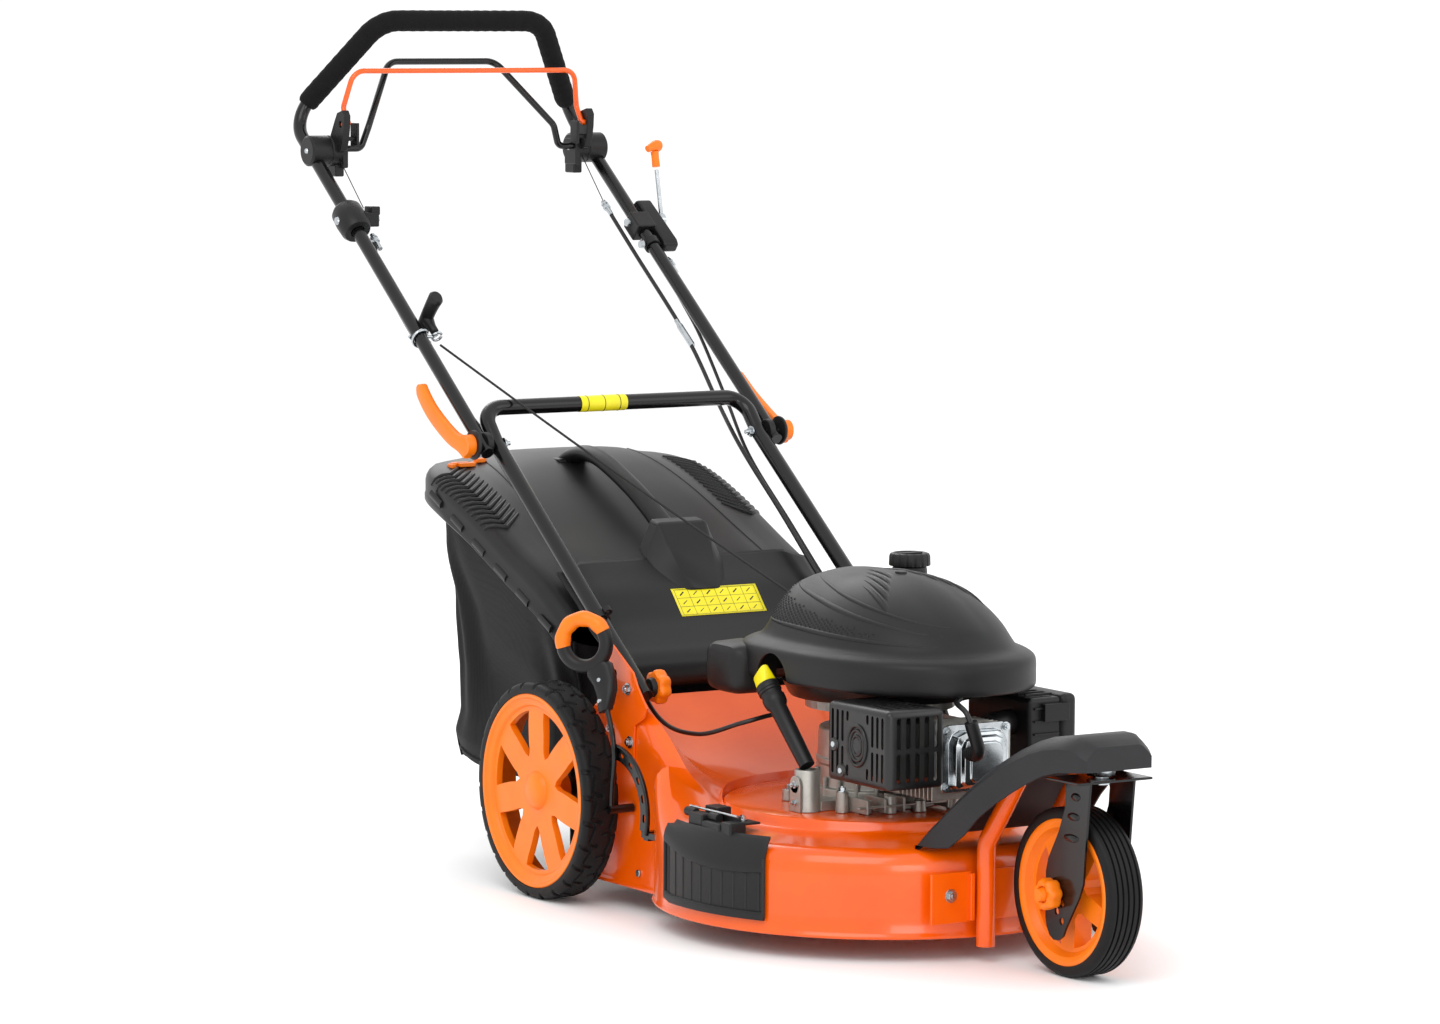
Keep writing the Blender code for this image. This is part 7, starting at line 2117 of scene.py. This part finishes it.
def starter():
    """The parked T grip, the plated rope guide with its loop, and the block that carries the stop cable."""
    x = UPPER_X
    guide = bmesh.new()
    coil = []
    for k in range(61):
        turn = 2 * math.pi * 1.4 * k / 60
        coil.append(on_upper(0.206 + 0.020 * k / 60, -x) + Vector((math.cos(turn), 0, 0)) * (UPPER_R + 0.0024)
                    + SQUARE * ((UPPER_R + 0.0024) * math.sin(turn)))
    add_tube(guide, coil, 0.0021, 14)
    arm = [on_upper(0.216, -x + 0.0105), on_upper(0.216, -x + 0.020), on_upper(0.220, -x + 0.0285)]
    add_tube(guide, smooth_path(arm, 6), 0.0022, 14)
    loop = [on_upper(0.216, -x + 0.0265) + Vector((math.cos(2 * math.pi * k / 28), 0,
                                                   0)) * 0.0068 + SQUARE * (0.0068
                                                           * math.sin(2 * math.pi * k / 28))
            for k in range(26)]
    add_tube(guide, loop, 0.0020, 14)
    as_object("rope_guide_wire", guide, ZINC_BRIGHT, "upper_handle", ["rope_guide"], 60)
    hold = on_upper(0.216, -x + 0.026, 0.0)
    pull = (on_upper(0.262, -x + 0.026) - hold).normalized()
    foot = hold + Vector((0, 0.0042, 0.0052))
    head = foot + pull * 0.030
    across = Vector((0.0, -pull.z, pull.y))
    grip = bmesh.new()
    add_turned(grip, [(0.0, 0.0), (0.0046, 0.0), (0.0058, 0.0012), (0.0060, 0.012), (0.0085, 0.024),
                      (0.0, 0.026)], foot, pull, 36)
    bar, radii = [], []
    for k in range(25):
        t = -1 + 2 * k / 24
        bar.append(head + across * (0.042 * t) - pull * (0.004 * t * t))
        radii.append(0.0102 + 0.0016 * t * t - (0.0030 if abs(t) > 0.98 else 0.0))
    add_tube(grip, bar, 0.0105, 28, (0.85, 1.0), radii)
    as_object("starter_t_grip", grip, ABS_BLACK, "starter_grip", ["starter_grip"], 50)
    block = bmesh.new()
    centre = on_upper(0.460, -x)
    add_turned(block, [(UPPER_R + GAP, -0.024), (0.0185, -0.024), (0.0215, -0.018), (0.0225, 0.0),
                       (0.0215, 0.018), (0.0175, 0.024),
                       (UPPER_R + GAP, 0.024)], centre, UPPER_WAY, 44, closed_ring=True)
    as_object("stop_cable_collar", block, PP_BLACK, "upper_handle", ["cable_clamp"], 35, 0.0010)
    arm = bmesh.new()
    at = on_upper(0.462, -x + 0.022)
    add_box(arm, at - Vector((0.006, 0.013, 0.010)), at + Vector((0.016, 0.013, 0.010)))
    add_box(arm, at + Vector((0.004, -0.012, 0.006)), at + Vector((0.018, 0.010, 0.018)))
    as_object("stop_cable_arm", arm, PP_BLACK, "upper_handle", bevel=0.0018, segments=3)
    screw = bmesh.new()
    add_rod(screw, centre + Vector((-0.0205, 0, 0)), centre + Vector((-0.0240, 0, 0)), 0.0062, 0.0050, 24)
    add_rod(screw, at + Vector((0.016, 0, 0)), at + Vector((0.0215, 0, 0)), 0.0036, sides=20)
    as_object("stop_cable_screws", screw, ZINC_BRIGHT, "upper_handle")


lower_handle()
upper_handle()
for hub_side, hub_name in ((-1, "right"), (1, "left")):
    bail_hub(hub_side, hub_name)
    cam_lever(hub_side, hub_name)
bails()
throttle()
starter()


# ---------------------------------------------------------------- cables and the starter rope
SHEATH_R, GAS_SHEATH_R, ROPE_R = 0.0029, 0.0024, 0.0016
SPAN_STEPS = 10                 # rings between two route points


def held_cable(name, points, radius, node_name, split, material=SHEATH_AND_GAP_SHADE_BLACK):
    """A cable held along the handle, in two lengths that meet where the route is split."""
    whole = smooth_path(points, SPAN_STEPS)
    meet = SPAN_STEPS * split
    upper, lower = whole[:meet + 1], whole[meet:]
    bm = bmesh.new()
    add_tube(bm, upper, radius, 16)
    top = as_object(f"{name}_upper", bm, material, None, [node_name], 60)
    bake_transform(top)
    bm = bmesh.new()
    add_tube(bm, lower, radius, 16)
    bottom = as_object(f"{name}_lower", bm, material, None, [node_name], 60)
    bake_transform(bottom)


def cables():
    x = UPPER_X
    stop = [on_upper(0.432, -x + 0.024, 0.006), on_upper(0.36, -x + 0.010, 0.016),
            on_upper(0.22, -x + 0.004, 0.0150),
            on_upper(0.08, -x + 0.022, 0.018), Vector((-0.187, 0.225, 0.535)), Vector((-0.184, 0.120, 0.455)),
            Vector((-0.184, 0.020, 0.372)), Vector((-0.186, -0.060, 0.322)), Vector((-0.176, -0.130, 0.244)),
            Vector((-0.170, -0.215, 0.2315)), Vector((-0.150, -0.285, 0.252)),
            Vector((-0.112, -0.300, 0.262)),
            Vector((-0.0905, -0.306, 0.262))]
    held_cable("stop_cable", stop, SHEATH_R, "blade_cable", 5)
    drive = [on_upper(0.500, x - 0.024, 0.012), on_upper(0.40, x - 0.022, 0.016),
             on_upper(0.22, x - 0.020, 0.020),
             on_upper(0.09, x - 0.034, 0.022), Vector((0.176, 0.225, 0.546)), Vector((0.173, 0.120, 0.467)),
             Vector((0.174, 0.020, 0.384)), Vector((0.186, -0.052, 0.322)), Vector((0.185, -0.130, 0.262)),
             Vector((0.150, -0.205, 0.246)), Vector((0.090, -0.232, 0.232)), Vector((0.060, -0.232, 0.226))]
    held_cable("drive_line", drive, SHEATH_R, "drive_cable", 5)
    gas = [on_upper(0.375, x + 0.024, 0.014), on_upper(0.33, x + 0.010, 0.018),
           on_upper(0.22, x - 0.001, 0.0155),
           on_upper(0.09, x - 0.018, 0.022), Vector((0.189, 0.225, 0.535)), Vector((0.186, 0.120, 0.455)),
           Vector((0.186, 0.020, 0.376)), Vector((0.176, -0.056, 0.345)), Vector((0.164, -0.130, 0.318)),
           Vector((0.158, -0.205, 0.290)), Vector((0.150, -0.282, 0.274)), Vector((0.120, -0.300, 0.276)),
           Vector((0.095, -0.306, 0.276))]
    held_cable("gas_line", gas, GAS_SHEATH_R, "throttle_cable", 5)
    start, end = Vector((-0.020, -0.215, 0.396)), Vector((-0.201, 0.3905, 0.6895))
    count = 40
    rope = [start.lerp(end, k / count) - Vector((0, 0,
                                                 0.004 * math.sin(math.pi
                                                         * k / count))) for k in range(count + 1)]
    meet = 22
    bm = bmesh.new()
    add_tube(bm, rope[:meet + 1], ROPE_R, 12)
    bottom = as_object("pull_rope_lower", bm, ROPE_BLACK, None, ["starter_rope"], 60)
    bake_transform(bottom)
    bm = bmesh.new()
    add_tube(bm, rope[meet:], ROPE_R, 12)
    top = as_object("pull_rope_upper", bm, ROPE_BLACK, None, ["starter_rope"], 60)
    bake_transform(top)


def adjusters():
    """Bare inner wires, threaded cable ends and the clips on the upper tube."""
    x = UPPER_X
    wires = bmesh.new()
    hub_y, hub_z = HUB
    start = Vector((-0.1965, hub_y - 0.016, hub_z - 0.010))
    add_rod(wires, start, on_upper(0.486, -x + 0.030), 0.0007, sides=8)
    add_rod(wires, Vector((0.1965, hub_y - 0.016, hub_z - 0.010)), on_upper(0.500, x - 0.024, 0.012), 0.0007,
            sides=8)
    as_object("inner_wires", wires, STEEL_DARK, "upper_handle")
    ends = bmesh.new()
    for d, at_x, off in ((0.432, -x + 0.024, 0.006), (0.500, x - 0.024, 0.012), (0.375, x + 0.024, 0.014)):
        centre = on_upper(d, at_x, off)
        add_turned(ends, [(0.0, -0.026), (0.0034, -0.026), (0.0036, -0.010), (0.0036, 0.004), (0.0, 0.004)],
                   centre, UPPER_WAY, 24)
        add_rod(ends, centre - UPPER_WAY * 0.012, centre - UPPER_WAY * 0.007, 0.0056, sides=6)
        add_rod(ends, centre - UPPER_WAY * 0.004, centre - UPPER_WAY * 0.001, 0.0056, sides=6)
    as_object("cable_adjusters", ends, ZINC_BRIGHT, "upper_handle")
    barrel = bmesh.new()
    for d, at_x, off in ((0.232, -x + 0.0115, 0.0155), (0.224, x - 0.020, 0.020)):
        centre = on_upper(d, at_x, off)
        add_turned(barrel, [(0.0, -0.024), (0.0042, -0.024), (0.0048, -0.020), (0.0048, 0.018),
                            (0.0036, 0.022), (0.0036, 0.030), (0.0, 0.030)],
                   centre, UPPER_WAY, 28)
    as_object("line_adjusters", barrel, ZINC_BRIGHT, "upper_handle")


cables()
adjusters()


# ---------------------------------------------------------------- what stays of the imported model
SLOT_FINISH = {
    "orange_paint": ENAMEL_ORANGE, "orange_plastic": NYLON_ORANGE, "black_paint": ENAMEL_BLACK,
    "black_plastic": ABS_BLACK, "tyre_rubber": RUBBER_TYRE, "foam": FOAM_BLACK, "cast_alloy": ALLOY_CAST,
    "zinc_steel": ZINC_BRIGHT, "dark_steel": STEEL_DARK, "yellow_plastic": PE_YELLOW, "bag_fabric": NET_CLOTH,
    "cable_sheath": SHEATH_AND_GAP_SHADE_BLACK, "belt_rubber": BELT_RUBBER,
}


def finish_packed_nodes():
    """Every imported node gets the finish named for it, or else the one of its material slot."""
    for name, packed in frame["nodes"].items():
        for place in range(len(packed.material_slots)):
            kept = packed.material_slots[place].material
            slot_name = kept.name.split(".")[0] if kept else ""
            packed.material_slots[place].material = NODE_FINISH.get(name,
                    SLOT_FINISH.get(slot_name, PP_BLACK))


finish_packed_nodes()
